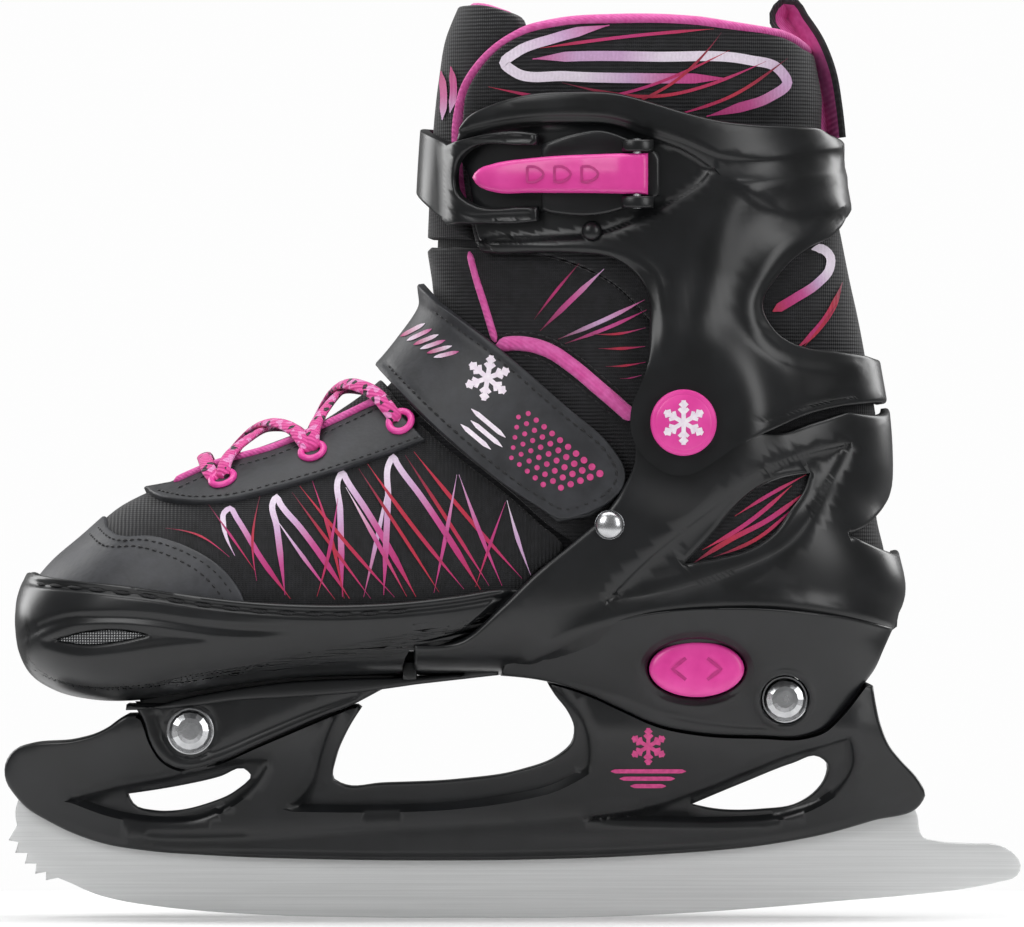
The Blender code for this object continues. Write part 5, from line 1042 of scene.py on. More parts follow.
wide = 2 * CAP_COLS + 1
n = len(outer)
faces = []
for r in range(CAP_ROWS):
    for c in range(wide - 1):
        a = r * wide + c
        faces.append((a, a + 1, a + wide + 1, a + wide))
        faces.append((n + a + wide, n + a + wide + 1, n + a + 1, n + a))
rim = [r * wide for r in range(CAP_ROWS + 1)] + [CAP_ROWS * wide + c for c in range(1, wide)]
rim += [r * wide + wide - 1 for r in range(CAP_ROWS - 1, -1, -1)]
faces += [(a, n + a, n + b, b) for a, b in zip(rim[:-1], rim[1:])]
cap = make("toe_cap_moulded", np.concatenate([outer, inner]), faces, black_shell, 50.0)
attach(cap, "toe_slider")
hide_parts("toe_cap")
print("toe cap", n, "points on its face")

# %% Rack and midsole
rack = slab("rack_bar", [spline([(-40.0, 69.4, 0), (-31.6, 69.4, 0), (-29.4, 72.3, 0), (62.0, 72.3, 0), (62.0, 74.9, 0),
                                 (-37.0, 74.9, 0), (-40.0, 73.0, 0)], 3.0, True)], -9.0, 9.0, black_shell, 5.0, 0.3)
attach(rack, "toe_slider")
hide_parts("toe_cap")
web = slab("joint_web", [spline([(-30.7, 67.2, 0), (-27.0, 67.2, 0), (-27.0, 72.1, 0), (-30.7, 72.1, 0)], 1.5, True)],
           -24.0,
           24.0, black_shell, 3.0, 0.2)
midsole = slab("midsole_board", [spline([(-58.0, 75.3, 0), (68.0, 75.3, 0), (68.0, 78.4, 0), (-58.0, 78.4, 0)], 4.0,
                                        True)],
               -24.0, 24.0, lining_cloth, 6.0, 0.3)
sole_core = slab("sole_core", [spline([(-104.5, 61.4, 0), (-94.2, 63.2), (-77.8, 65.8), (-61.4, 67.7), (-45.0, 68.3),
                                       (-32.0, 68.4, 0),
                                       (-32.0, 66.0, 0), (-60.0, 63.5), (-80.0, 59.5), (-103.0, 57.5, 0)], 2.5, True)],
                 -18.0, 18.0, black_shell, 4.0, 0.2)
for piece, slot in ((web, "black_plastic"), (sole_core, "black_plastic"), (midsole, "lining")):
    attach(piece, "boot")
print("rack bar runs", 102, "mm under the foot")

# %% Vent gauze
for side, sign in (("lateral", -1), ("medial", 1)):
    small = VENT.mean(0) + (VENT - VENT.mean(0)) * (0.97, 0.90)
    gauze = skin("vent_gauze_" + side, [chart(small, 4.0, sign)], 3.1, 2.0, vent_wire, 1.5, 0.2)
    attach(gauze, "toe_slider")
    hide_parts("vent_mesh_" + side)
print("vent gauze is in")

# %% [markdown]
# ## Cuff
# The cuff turns on two pins and holds the ankle. Its outer face is sculpted: an eye-shaped hollow for the buckle, a
# raised band round it, a broad rib running down to the heel and a rolled rim round the rear window.
# %% Cuff
CUFF_WINDOW = [(94.5, 198.0, 0), (93.4, 195.1), (90.6, 191.8), (83.6, 188.2), (78.0, 184.0), (73.5, 178.8),
               (70.7, 174.7), (70.1, 170.9), (71.5, 167.3), (75.2, 163.1), (81.9, 160.3), (90.0, 159.3, 0),
               (101.0, 158.0, 0)]
CUFF_EDGE = [
    (105.6, 145.2, 0), (94.5, 143.9, 0), (80.0, 140.4), (70.7, 136.5), (61.5, 132.0), (54.7, 127.3), (50.3, 125.0),
    (44.7, 124.5), (39.1, 127.3), (34.9, 132.0), (33.0, 137.6), (33.5, 144.1), (35.8, 149.7), (37.7, 155.3),
    (38.2, 165.3), (37.9, 174.6), (35.4, 179.3), (31.6, 183.0), (26.2, 185.4), (19.5, 186.1), (-3.6, 186.1, 0),
    (-9.0, 186.6, 0), (-11.2, 191.4), (-13.6, 205.0), (-15.6, 220.2), (-12.8, 224.4), (-5.5, 228.1), (5.7, 230.9),
    (16.7, 231.4), (29.0, 230.9), (38.2, 228.6), (47.5, 225.8), (57.5, 223.4), (67.9, 222.3), (79.9, 221.9),
    (86.4, 221.3), (89.0, 218.6, 0)]
HOLLOW = spline([(-16.0, 217.0, 0), (-3.6, 221.1), (16.7, 222.5), (28.9, 221.6), (38.2, 218.3), (47.5, 215.2),
                 (55.9, 210.0, 0), (52.1, 205.4), (42.7, 199.8), (33.5, 195.1), (24.2, 191.9), (10.2, 190.5),
                 (-12.0, 190.0, 0)], 2.0, True)
CUFF_RIB = spline([(92.0, 214.0), (80.0, 211.0), (66.0, 204.4), (59.5, 197.0), (57.0, 190.5), (54.0, 178.0),
                   (50.0, 164.0)],
                  2.0)
TOP_BAND = spline([(-22.0, 218.6, 0), (-3.6, 223.4), (16.7, 224.8), (28.9, 223.9), (38.2, 220.6), (47.5, 217.6),
                   (58.0, 213.4),
                   (70.0, 212.6), (84.0, 214.6), (96.0, 216.4, 0), (96.0, 236.0, 0), (-22.0, 240.0, 0)], 2.0, True)
REAR_BAND = spline([(60.0, 207.0, 0), (70.0, 206.8), (82.0, 208.4), (98.0, 210.0, 0), (98.0, 199.0, 0), (86.0, 197.6),
                    (78.0, 197.0), (69.0, 200.6)], 2.0, True)
WINDOW_RIB = spline([(91.0, 200.0), (84.0, 193.0), (75.0, 187.6), (69.0, 180.0), (65.6, 172.0), (67.6, 164.0),
                     (73.4, 158.4), (82.0, 155.6), (96.0, 154.4)], 2.0)
CUFF_LIP = spline([(96.0, 146.4), (80.0, 143.0), (69.0, 139.0)], 2.0)
FRONT_RIB = spline([(-6.0, 188.8), (10.0, 188.4), (22.0, 188.2), (32.0, 186.0), (39.6, 180.6), (41.6, 172.0),
                    (41.8, 158.0)],
                   2.0)


def cuff_swell(x, z):
    """The cuff stands further out round its pivots, clear of the shell's discs."""
    w = np.clip((44.0 - np.hypot(x - PIVOT[0], z - PIVOT[1])) / 26.0, 0, 1)
    return 3.9 * w * w * (3 - 2 * w) * np.clip((94.0 - x) / 16.0, 0, 1)


def cuff_relief(p, y):
    far = np.clip((np.hypot(p[:, 0] - PIVOT[0], p[:, 1] - PIVOT[1]) - 15.0) / 5.0, 0, 1)
    return far * (plateau(p, HOLLOW, -2.0, 1.2) + ridge(p, CUFF_RIB, 9.0, 1.3) + plateau(p, TOP_BAND, 1.0, 1.4)
                  + plateau(p, REAR_BAND, 0.9, 2.2) + ridge(p, WINDOW_RIB, 3.0, 0.9) + ridge(p, CUFF_LIP, 0.9, -0.6)
                  + ridge(p, FRONT_RIB, 2.6, 0.8))


cuff_outline = wrap_back(spline(CUFF_EDGE, 1.5), 3.9)
window_half = chart(spline(CUFF_WINDOW, 1.5), 3.9)
window_half[0, 1] = window_half[-1, 1] = 0.0
window_loop = np.concatenate([window_half, window_half[::-1][1:-1] * (1, -1)])
cuff_lines = [q for line, w in ((HOLLOW, 0.7), (TOP_BAND, 0.8), (REAR_BAND, 1.2), (WINDOW_RIB, 1.8), (CUFF_LIP, 0.5),
                                (FRONT_RIB, 1.3)) for q in rails(line, w, 3.9)]
cuff_lines = [q if q[:, 1].mean() <= V_MM else q - (0, 2 * V_MM) for q in cuff_lines]
cuff = skin("cuff_moulded", [cuff_outline, window_loop], lambda x, z: 3.9 + cuff_swell(x, z),
            lambda x, z: 1.0 + cuff_swell(x, z), black_shell, 2.2, 1.1, cuff_relief,
            toward_disc(44.2, 41.3, 15.5, 32.0), cuff_lines, ref=3.9)
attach(cuff, "cuff")
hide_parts("cuff")
print("cuff", len(cuff.data.vertices), "points")

# %% [markdown]
# ## Size button, pivot caps and rivets
# Pressing the oval button frees the toe cap so that it can slide. It is glossy pink ABS with two arrows sunk in its
# face. Round pink caps hide the pins that the cuff turns on, and each carries a pad-printed snowflake.
# %% Helpers for strips of ink


def strips(strokes):
    """Left and right edge points, faces and colours of strokes given as (points, width, inks, end taper)."""
    points, faces, inks, rise = [], [], [], []
    base = 0
    for k, (line, width, tones, taper) in enumerate(strokes):
        line = spline(line, 1.1)
        along = np.gradient(line, axis=0)
        along /= np.maximum(np.linalg.norm(along, axis=1), 1e-9)[:, None]
        normal = np.stack([-along[:, 1], along[:, 0]], 1)
        arc = np.concatenate([[0], np.cumsum(np.linalg.norm(np.diff(line, axis=0), axis=1))])
        ends = np.minimum(arc, arc[-1] - arc)
        half = width / 2 * (np.clip(ends / max(taper, 1e-3), 0.12, 1) if taper else 1.0) * np.ones(len(line))
        t = arc / arc[-1] * (len(tones) - 1)
        shades = np.array([colour(tone)[:3] for tone in tones])
        shade = np.stack([np.interp(t, np.arange(len(tones)), shades[:, c]) for c in range(3)], 1)
        points += [line + normal * half[:, None], line - normal * half[:, None]]
        inks += [shade, shade]
        rise.append(np.full(2 * len(line), 0.012 * (k % 12)))
        n = len(line)
        faces += [(base + i, base + i + 1, base + n + i + 1, base + n + i) for i in range(n - 1)]
        base += 2 * n
    return np.concatenate(points), faces, np.concatenate(inks), np.concatenate(rise)


def print_strokes(name, strokes, place, material, sides=(-1,), body="boot"):
    """Thin films of ink on a surface; place(xz, rise, side) gives the points."""
    xz, flat_faces, inks, rise = strips(strokes)
    verts, faces, tones = [], [], []
    for k, side in enumerate(sides):
        verts.append(place(xz, rise, side))
        step = k * len(xz)
        faces += [tuple(q + step for q in (f if side < 0 else f[::-1])) for f in flat_faces]
        tones.append(inks)
    film = make(name, np.concatenate(verts), faces, material, 60.0)
    attribute = film.data.color_attributes.new("ink", "FLOAT_COLOR", "POINT")
    attribute.data.foreach_set("color", np.concatenate([np.concatenate(tones), np.ones((sum(map(len, tones)), 1))], 1)
                               .astype(np.float32).ravel())
    if body:
        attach(film, body)
    return film


def on_boot(d):
    """Places on the boot's surface at an offset."""
    def place(xz, rise, side):
        s, v = locate(xz, d)
        return boot(s, v if side < 0 else 2 - v, d + rise)
    return place


def snowflake(x, z, size, turn, width, tones, squash=1.0):
    """Six arms with two pairs of branches each."""
    strokes = []
    for k in range(6):
        a = turn + k * math.pi / 3
        u = np.array([math.cos(a), math.sin(a) * squash])
        arm = [(x, z), tuple(np.array([x, z]) + u * size)]
        strokes.append((arm, width, tones, 0))
        for far, reach in ((0.42, 0.30), (0.70, 0.24)):
            root = np.array([x, z]) + u * size * far
            for bend in (-1, 1):
                b = a + bend * math.pi / 4
                tip = root + np.array([math.cos(b), math.sin(b) * squash]) * size * reach
                strokes.append(([tuple(root), tuple(tip)], width * 0.8, tones, 0))
    return strokes


# %% Size button
WALL = 29.6
oval = np.stack([BUTTON[0] + BUTTON_RX * np.cos(angles), BUTTON[1] + BUTTON_RZ * np.sin(angles)], 1)


def button_face(x, z):
    r = np.clip(((x - BUTTON[0]) / BUTTON_RX) ** 2 + ((z - BUTTON[1]) / BUTTON_RZ) ** 2, 0, 1)
    return -(WALL + 1.5 + 1.1 * np.sqrt(1 - 0.85 * r))


arrows = [np.array([(BUTTON[0] + k * x, BUTTON[1] + z) for x, z in
                    ((3.0, 3.0), (4.6, 3.0), (7.6, 0.0), (4.6, -3.0), (3.0, -3.0), (6.0, 0.0))]) for k in (-1, 1)]
arrows += [np.array([(BUTTON[0] + k * x, BUTTON[1] + z) for x, z in
                     ((-0.6, 2.4), (0.8, 2.4), (3.2, 0.0), (0.8, -2.4), (-0.6, -2.4), (1.8, 0.0))]) for k in (-1, 1)]
button = slab("button_moulded", [oval], button_face, -13.6, pink_abs, 1.1, 1.3,
              lambda p: sum(plateau(p, arrow, -0.32, 0.35) for arrow in arrows[:2]))
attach(button, "size_button")
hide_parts("size_button")
# Darker pink strokes along the sunken arrows are painted shade in their grooves.
marks = print_strokes("button_arrow_shade",
                      [([tuple(a[0]), tuple((a[2] + a[5]) / 2) + (0,), tuple(a[4])], 0.9, ["#B02875"] * 2, 0)
                                        for a in arrows[:2]],
                      lambda xz, rise, side: np.stack([xz[:, 0], button_face(xz[:, 0], xz[:, 1]) - 0.05, xz[:, 1]], 1),
                      shadow_pink, body="size_button")
print("size button stands", 2.6, "mm proud")

# %% Pivot caps
for side, sign in (("lateral", -1), ("medial", 1)):
    face = abs(edge_y("pivot_cap_" + side, sign < 0))
    cap_disc = turned("pivot_disc_" + side, (PIVOT[0], 0.0, PIVOT[1]),
                      [(face - 2.9, 9.0), (face - 2.7, 9.25), (face - 1.0, 9.25), (face - 0.45, 8.9),
                       (face - 0.22, 8.2),
                       (face - 0.30, 7.8), (face - 0.12, 7.3), (face - 0.02, 4.0)], pink_abs, 64, (0, sign, 0))
    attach(cap_disc, "cuff")
    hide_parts("pivot_cap_" + side)
    emblem = print_strokes("pivot_snowflake_" + side, snowflake(*PIVOT, 6.2, math.pi / 6, 1.25, ["#F6ECF5"] * 2),
                           lambda xz, rise, s, k=sign, f=face: np.stack(
                               [xz[:, 0], np.full(len(xz), k * (f + 0.06)) + k * rise, xz[:, 1]], 1),
                           pale_ink, (sign,), "cuff")
for node, way in (("strap_rivet_lateral", -1), ("strap_rivet_medial", 1), ("strap_anchor_rivet", 1),
                  ("base_rivet", -1)):
    low, high = (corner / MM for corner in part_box(node))
    size = (high.x - low.x) / 2
    start = high.y if way < 0 else low.y
    dome = rivet(node + "_dome", ((low.x + high.x) / 2, start - way * 0.3, (low.z + high.z) / 2), size,
                 high.y - low.y + 0.2, way, black_shell if node == "base_rivet" else bright_zinc)
    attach(dome, {"strap_anchor_rivet": "cuff_strap", "base_rivet": "cuff"}.get(node, "boot"))
    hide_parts(node)
print("caps and rivets are in")

# %% [markdown]
# ## Soft boot
# Inside the shells is a padded sock. The visible fabric is knit bonded to foam, so its edges are soft and round, and it
# takes the boot's own surface. Each layer is a closed skin with its own lining, because the top can be looked into.
# %% Helpers for soft pieces


def edge_by_side(points, d):
    """s of a tube's edge as a function of v, from side-view points that run from the back ridge to the front."""
    s, v = locate(spline(points, 2.0), d)
    v[0], v[-1] = 0.0, 1.0
    order = np.argsort(v)
    return lambda around: np.interp(1 - np.abs(1 - np.mod(around, 2.0)), v[order], s[order])


def tube_skin(name, s_low, s_high, d_out, d_in, rows, cols, material, pole=False, relief=None, radius=0.9):
    """Tube round the boot between two edges, or a sock when its first row closes at the toe."""
    v = 2.0 * np.arange(cols) / cols
    low, high = s_low(v), s_high(v)
    part = np.array([(r / rows) ** (1.5 if pole else 1.0) for r in range(rows + 1)])
    s = (low + (high - low) * part[:, None]).ravel()
    around = np.tile(v, rows + 1)
    span = np.abs(np.tile(high - low, rows + 1)) * S_MM
    gap = np.minimum(1 - np.repeat(part, cols), 1.0 if pole else np.repeat(part, cols)) * span
    top = d_out - rounding(np.maximum(gap, 0), radius)
    if relief:
        at = boot(s, around, d_out)
        top = top + relief(at[:, [0, 2]], at[:, 1])
    verts = np.concatenate([boot(s, around, top), boot(s, around, d_in)])
    base, faces = (rows + 1) * cols, []
    for r in range(rows):
        for c in range(cols):
            a, b = r * cols + c, r * cols + (c + 1) % cols
            faces.append((a, b, b + cols, a + cols))
            faces.append((base + a + cols, base + b + cols, base + b, base + a))
    for c in range(cols):
        a, b = rows * cols + c, rows * cols + (c + 1) % cols
        faces.append((a, b, base + b, base + a))
        if not pole:
            faces.append((base + c, base + (c + 1) % cols, (c + 1) % cols, c))
    if pole:
        faces += [tuple(reversed(range(cols))), tuple(base + c for c in range(cols))]
    return make(name, verts, faces, material, 50.0)


def line_inside(piece, cloth):
    """Gives the inner half of a skin's faces the lining."""
    piece.data.materials.append(cloth)
    half = len(piece.data.vertices) // 2
    for face in piece.data.polygons:
        if min(face.vertices) >= half:
            face.material_index = 1


def path_on_boot(points, d, side=-1, step=1.2):
    """A line on the boot with its outward direction."""
    s, v = locate(even(spline(points, step), step, False), d)
    v = v if side < 0 else 2 - v
    path = boot(s, v, d)
    up = boot(s, v, d + 1.0) - path
    return path, up / np.linalg.norm(up, axis=1, keepdims=True)


def sweep(path, up, wide, tall, sides=12, taper=0.0):
    """Verts and faces of an oval tube along a path."""
    along = np.gradient(path, axis=0)
    along /= np.maximum(np.linalg.norm(along, axis=1, keepdims=True), 1e-9)
    across = np.cross(along, up)
    across /= np.maximum(np.linalg.norm(across, axis=1, keepdims=True), 1e-9)
    upright = np.cross(across, along)
    arc = np.concatenate([[0], np.cumsum(np.linalg.norm(np.diff(path, axis=0), axis=1))])
    shrink = np.sqrt(np.clip(np.minimum(arc, arc[-1] - arc) / taper, 0.08, 1)) if taper else np.ones(len(arc))
    a = 2 * math.pi * np.arange(sides) / sides
    verts = (path[:, None] + across[:, None] * (np.cos(a)[:, None] * wide * shrink[:, None, None])
             + upright[:, None] * (np.sin(a)[:, None] * tall * shrink[:, None, None])).reshape(-1, 3)
    n = len(path)
    faces = [(k * sides + q, k * sides + (q + 1) % sides, (k + 1) * sides + (q + 1) % sides, (k + 1) * sides + q)
             for k in range(n - 1) for q in range(sides)]
    return verts, faces + [tuple(reversed(range(sides))), tuple((n - 1) * sides + q for q in range(sides))]


def join(name, parts, material, sharp=60.0):
    """One mesh from several lists of verts and faces."""
    verts, faces, base = [], [], 0
    for points, loops in parts:
        verts.append(points)
        faces += [tuple(q + base for q in f) for f in loops]
        base += len(points)
    return make(name, np.concatenate(verts), faces, material, sharp)


def stitches(path, up, pitch=3.0, length=2.2, radius=0.34):
    """Thread stitches along a path, half sunk."""
    arc = np.concatenate([[0], np.cumsum(np.linalg.norm(np.diff(path, axis=0), axis=1))])
    parts = []
    for start in np.arange(pitch / 2, arc[-1] - length, pitch):
        at = np.linspace(start, start + length, 5)
        spot = np.stack([np.interp(at, arc, path[:, k]) for k in range(3)], 1)
        lift = np.stack([np.interp(at, arc, up[:, k]) for k in range(3)], 1)
        parts.append(sweep(spot - lift * (np.abs(np.linspace(-1, 1, 5)) ** 2 * 0.25)[:, None], lift, radius,
                           radius * 0.8,
                           6, length * 0.25))
    return parts


def sewn(name, lines, d, body, material, sides=(-1, 1), pitch=3.0, length=2.2, radius=0.34):
    parts = []
    for line in lines:
        for side in sides:
            parts += stitches(*path_on_boot(line, d, side), pitch, length, radius)
    rows = join(name, parts, material)
    if body:
        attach(rows, body)
    return rows


print("soft helpers are ready")

# %% Inner boot and insole
LINER_TOP = [(101.8, 144.0), (84.0, 144.0), (60.0, 145.5), (30.0, 150.0), (0.0, 158.0), (-26.0, 166.0)]
sock = tube_skin("padded_sock", lambda v: np.full(len(v), 0.004), edge_by_side(LINER_TOP, -6.1), -6.1, -8.6, 70, 96,
                 lining_cloth, True, radius=1.1)
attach(sock, "boot")
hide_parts("inner_boot")
sizes = ((0.10, 0.06), (0.16, 0.18), (0.24, 0.22), (0.34, 0.19), (0.44, 0.16), (0.50, 0.10))
insole_loop = np.array([(q * S_MM, w * V_MM) for q, w in sizes] + [(q * S_MM, -w * V_MM) for q, w in sizes[::-1]])
insole = skin("foam_insole", [insole_loop], -9.4, -12.2, lining_cloth, 4.0, 1.2)
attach(insole, "boot")
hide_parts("insole")
print("sock", len(sock.data.vertices), "points")

# %% Vamp
VAMP_HALF = [(-126.0, 84.0), (-108.0, 80.0), (-80.0, 78.0), (-45.0, 78.5), (-20.0, 81.0),
             (-2.0, 86.0, 0), (6.0, 97.0), (14.0, 104.5), (8.5, 110.0, 0), (0.6, 117.2), (-20.6, 134.0),
             (-33.0, 146.0), (-38.6, 153.0, 0)]


def over_toe(half_points, d=0.0):
    """Chart loop that closes over the tip of the toe and across the top."""
    edge = chart(spline(half_points, 1.5), d)
    toe = edge[0, 0]
    edge[-1, 1] = V_MM
    start = np.array([(toe * 0.52, V_MM), (toe * 0.62, 0.80 * V_MM), (toe * 0.80, 0.64 * V_MM)])
    half = np.concatenate([start, edge])
    return np.concatenate([half, half[::-1][1:-1] * (1, -1) + (0, 2 * V_MM)])


def soft_drift(p, y):
    """Very slight unevenness of fabric over foam."""
    return 0.16 * np.sin(p[:, 0] * 0.21 + 1.3) * np.sin(p[:, 1] * 0.17 + np.sign(y) * 0.4)


vamp = skin("vamp_knit", [over_toe(VAMP_HALF)], 0.0, -2.6, upright_knit, 3.2, 0.8, soft_drift, ref=0.0)
line_inside(vamp, lining_cloth)
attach(vamp, "toe_slider")
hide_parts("vamp")
print("vamp", len(vamp.data.vertices), "points")

# %% Toe patch
PATCH_EDGE = [(-114.9, 111.4, 0), (-111.6, 108.5), (-100.5, 107.7), (-90.6, 104.6), (-81.6, 99.0), (-75.5, 91.0),
              (-73.6, 84.0, 0)]
PATCH_HALF = [(-126.0, 86.0), (-108.0, 83.6), (-90.0, 83.0), (-73.6, 84.0, 0)] + PATCH_EDGE[-2:0:-1] + [PATCH_EDGE[0]]
inner_row = [(x - 1.6, z - 1.3) for x, z, *_ in PATCH_EDGE[:-1]]
second_row = [(x - 4.0, z - 3.1) for x, z, *_ in PATCH_EDGE[:-1]]
patch = skin("toe_patch", [over_toe(PATCH_HALF, 0.9)], 1.0, -0.4, toe_leather, 3.0, 0.7,
             lambda p, y: ridge(p, spline(inner_row, 2.0), 0.8, -0.25) + ridge(p, spline(second_row, 2.0), 0.8, -0.25)
             + 0.10 * np.sin(p[:, 0] * 0.13), ref=0.9)
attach(patch, "toe_slider")
sewn("toe_patch_stitching", [inner_row, second_row], 1.0, "toe_slider", black_thread, pitch=2.3, length=1.7,
     radius=0.30)
print("toe patch is sewn on with two rows")

# %% Ankle
ANKLE_LOW = [(106.0, 97.0), (80.0, 94.0), (50.0, 96.0), (28.0, 99.0), (19.0, 104.5), (10.0, 110.6), (2.0, 117.8),
             (-19.2, 135.4), (-31.0, 146.8), (-36.6, 154.8)]
COLLAR_LOW = [(101.6, 147.4), (84.0, 147.6), (60.0, 150.5), (46.0, 158.0), (38.0, 168.0), (28.0, 178.0), (14.0, 184.6),
              (0.0, 187.4), (-23.9, 188.6)]
ankle = tube_skin("ankle_knit", edge_by_side(ANKLE_LOW, 0.0), edge_by_side(moved(COLLAR_LOW, 0.0, -0.6), 0.0), 0.0,
                  -2.6,
                  34, 150, level_knit, relief=soft_drift)
line_inside(ankle, lining_cloth)
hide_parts("ankle_section")
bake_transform(ankle)
print("ankle", len(ankle.data.vertices), "points")

# %% Tongue under the laces
ROOT_HALF = [(-64.0, 134.6, 0), (-56.0, 131.4), (-44.0, 132.4), (-30.0, 141.0), (-16.0, 152.0), (-8.0, 164.0),
             (-6.0, 176.0), (-7.0, 186.0),
             (-11.0, 197.0), (-23.7, 197.4, 0)]
root = skin("tongue_under_laces", [wrap_top(spline(ROOT_HALF, 1.5), -2.8)], -2.75, -5.2, level_knit, 3.0, 0.8, ref=-2.8)
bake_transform(root)
print("lower tongue", len(root.data.vertices), "points")

# %% Padded collar
COLLAR_TOP = [(-14.6, 210.0), (-14.4, 224.4), (-12.0, 233.4), (-8.3, 239.0), (-2.7, 244.5), (3.8, 248.2), (13.0, 250.4),
              (27.9, 251.4), (41.9, 251.4), (55.8, 250.4), (69.6, 248.6), (77.1, 246.3), (82.0, 243.0, 0)]
COLLAR_HALF = [(101.6, 147.4, 0), (84.0, 147.6), (60.0, 150.5), (46.0, 158.0), (38.0, 168.0), (28.0, 178.0),
               (14.0, 184.6), (0.0, 187.4), (-10.6, 188.2, 0), (-12.6, 196.0)] + COLLAR_TOP


def collar_puff(p, y):
    """Foam fills the collar above the cuff."""
    t = np.clip((p[:, 1] - 222.0) / 8.0, 0, 1) * np.clip((252.0 - p[:, 1]) / 7.0, 0, 1)
    return 1.3 * t + soft_drift(p, y)


collar = skin("collar_padding", [wrap_back(spline(COLLAR_HALF, 1.5), 0.0)], 0.0, -3.8, level_knit, 3.0, 1.6,
              collar_puff,
              ref=0.0)
line_inside(collar, lining_cloth)
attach(collar, "cuff")
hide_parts("collar_liner")
parts = []
binding_line = [(-13.0, 200.0), (-14.6, 212.0)] + COLLAR_TOP[1:]
for side in (-1, 1):
    path, up = path_on_boot([(x - 0.2 if x < -5 else x, z + 0.3) for x, z, *_ in binding_line], -1.5, side)
    parts.append(sweep(path, up, 1.5, 2.5, 14))
path, up = path_on_boot([(82.0, 243.3), (83.2, 242.6)], -1.5, 1)
binding = join("collar_binding", parts, pink_binding)
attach(binding, "cuff")
print("collar", len(collar.data.vertices), "points")

# %% Tongue
TONGUE_HALF = [(-23.9, 190.8, 0), (-12.2, 190.4, 0), (-13.4, 196.0), (-15.4, 210.0), (-15.2, 224.8), (-12.8, 234.0),
               (-9.0, 240.0), (-3.2, 245.6), (2.0, 248.8), (1.0, 252.0), (-4.6, 255.1), (-9.2, 256.4),
               (-14.6, 256.4, 0)]
tongue = skin("tongue_padding", [wrap_top(spline(TONGUE_HALF, 1.5), 0.0)], 0.0, -4.4, level_knit, 2.6, 1.6,
              lambda p, y: 0.5 * np.exp(-((p[:, 1] - 247.0) / 6.0) ** 2) + soft_drift(p, y), ref=0.0)
line_inside(tongue, pink_binding)
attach(tongue, "cuff")
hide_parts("tongue")
parts = []
for side in (-1, 1):
    parts.append(sweep(*path_on_boot([(-14.4, 255.6), (-9.2, 255.8), (-4.6, 254.4), (0.4, 251.8), (1.4, 249.4)], -3.6,
                                     side), 1.1, 1.2))
tongue_edge = join("tongue_lining_edge", parts, pink_binding)
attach(tongue_edge, "cuff")
print("tongue", len(tongue.data.vertices), "points")

# %% [markdown]
# ## Printed pattern
# The fabric is decorated with fast zigzags, like scratches on ice, that run from white through pink to red. Each stroke
# is a narrow film that lies on the knit, bent to the same surface, a tenth of a millimetre above it.
# %% Strokes on the vamp
WHITE, LILAC, PINK, HOT, RED, DEEP = "#E9DCEB", "#CBA3CB", "#C24A8E", "#B5286F", "#B4223F", "#6E1A38"


def zigzag(feet, peaks, width, tones):
    """Up and down strokes with round tops."""
    strokes = []
    for (a, b), top in zip(feet, peaks):
        left = [a, ((a[0] * 0.3 + top[0] * 0.7) - 0.6, a[1] * 0.3 + top[1] * 0.7), (top[0] - 0.9, top[1] - 1.4), top,
                (top[0] + 1.0, top[1] - 1.8), ((b[0] * 0.3 + top[0] * 0.7) + 0.5, b[1] * 0.3 + top[1] * 0.7), b]
        strokes.append((left, width, tones, 12.0))
    return strokes


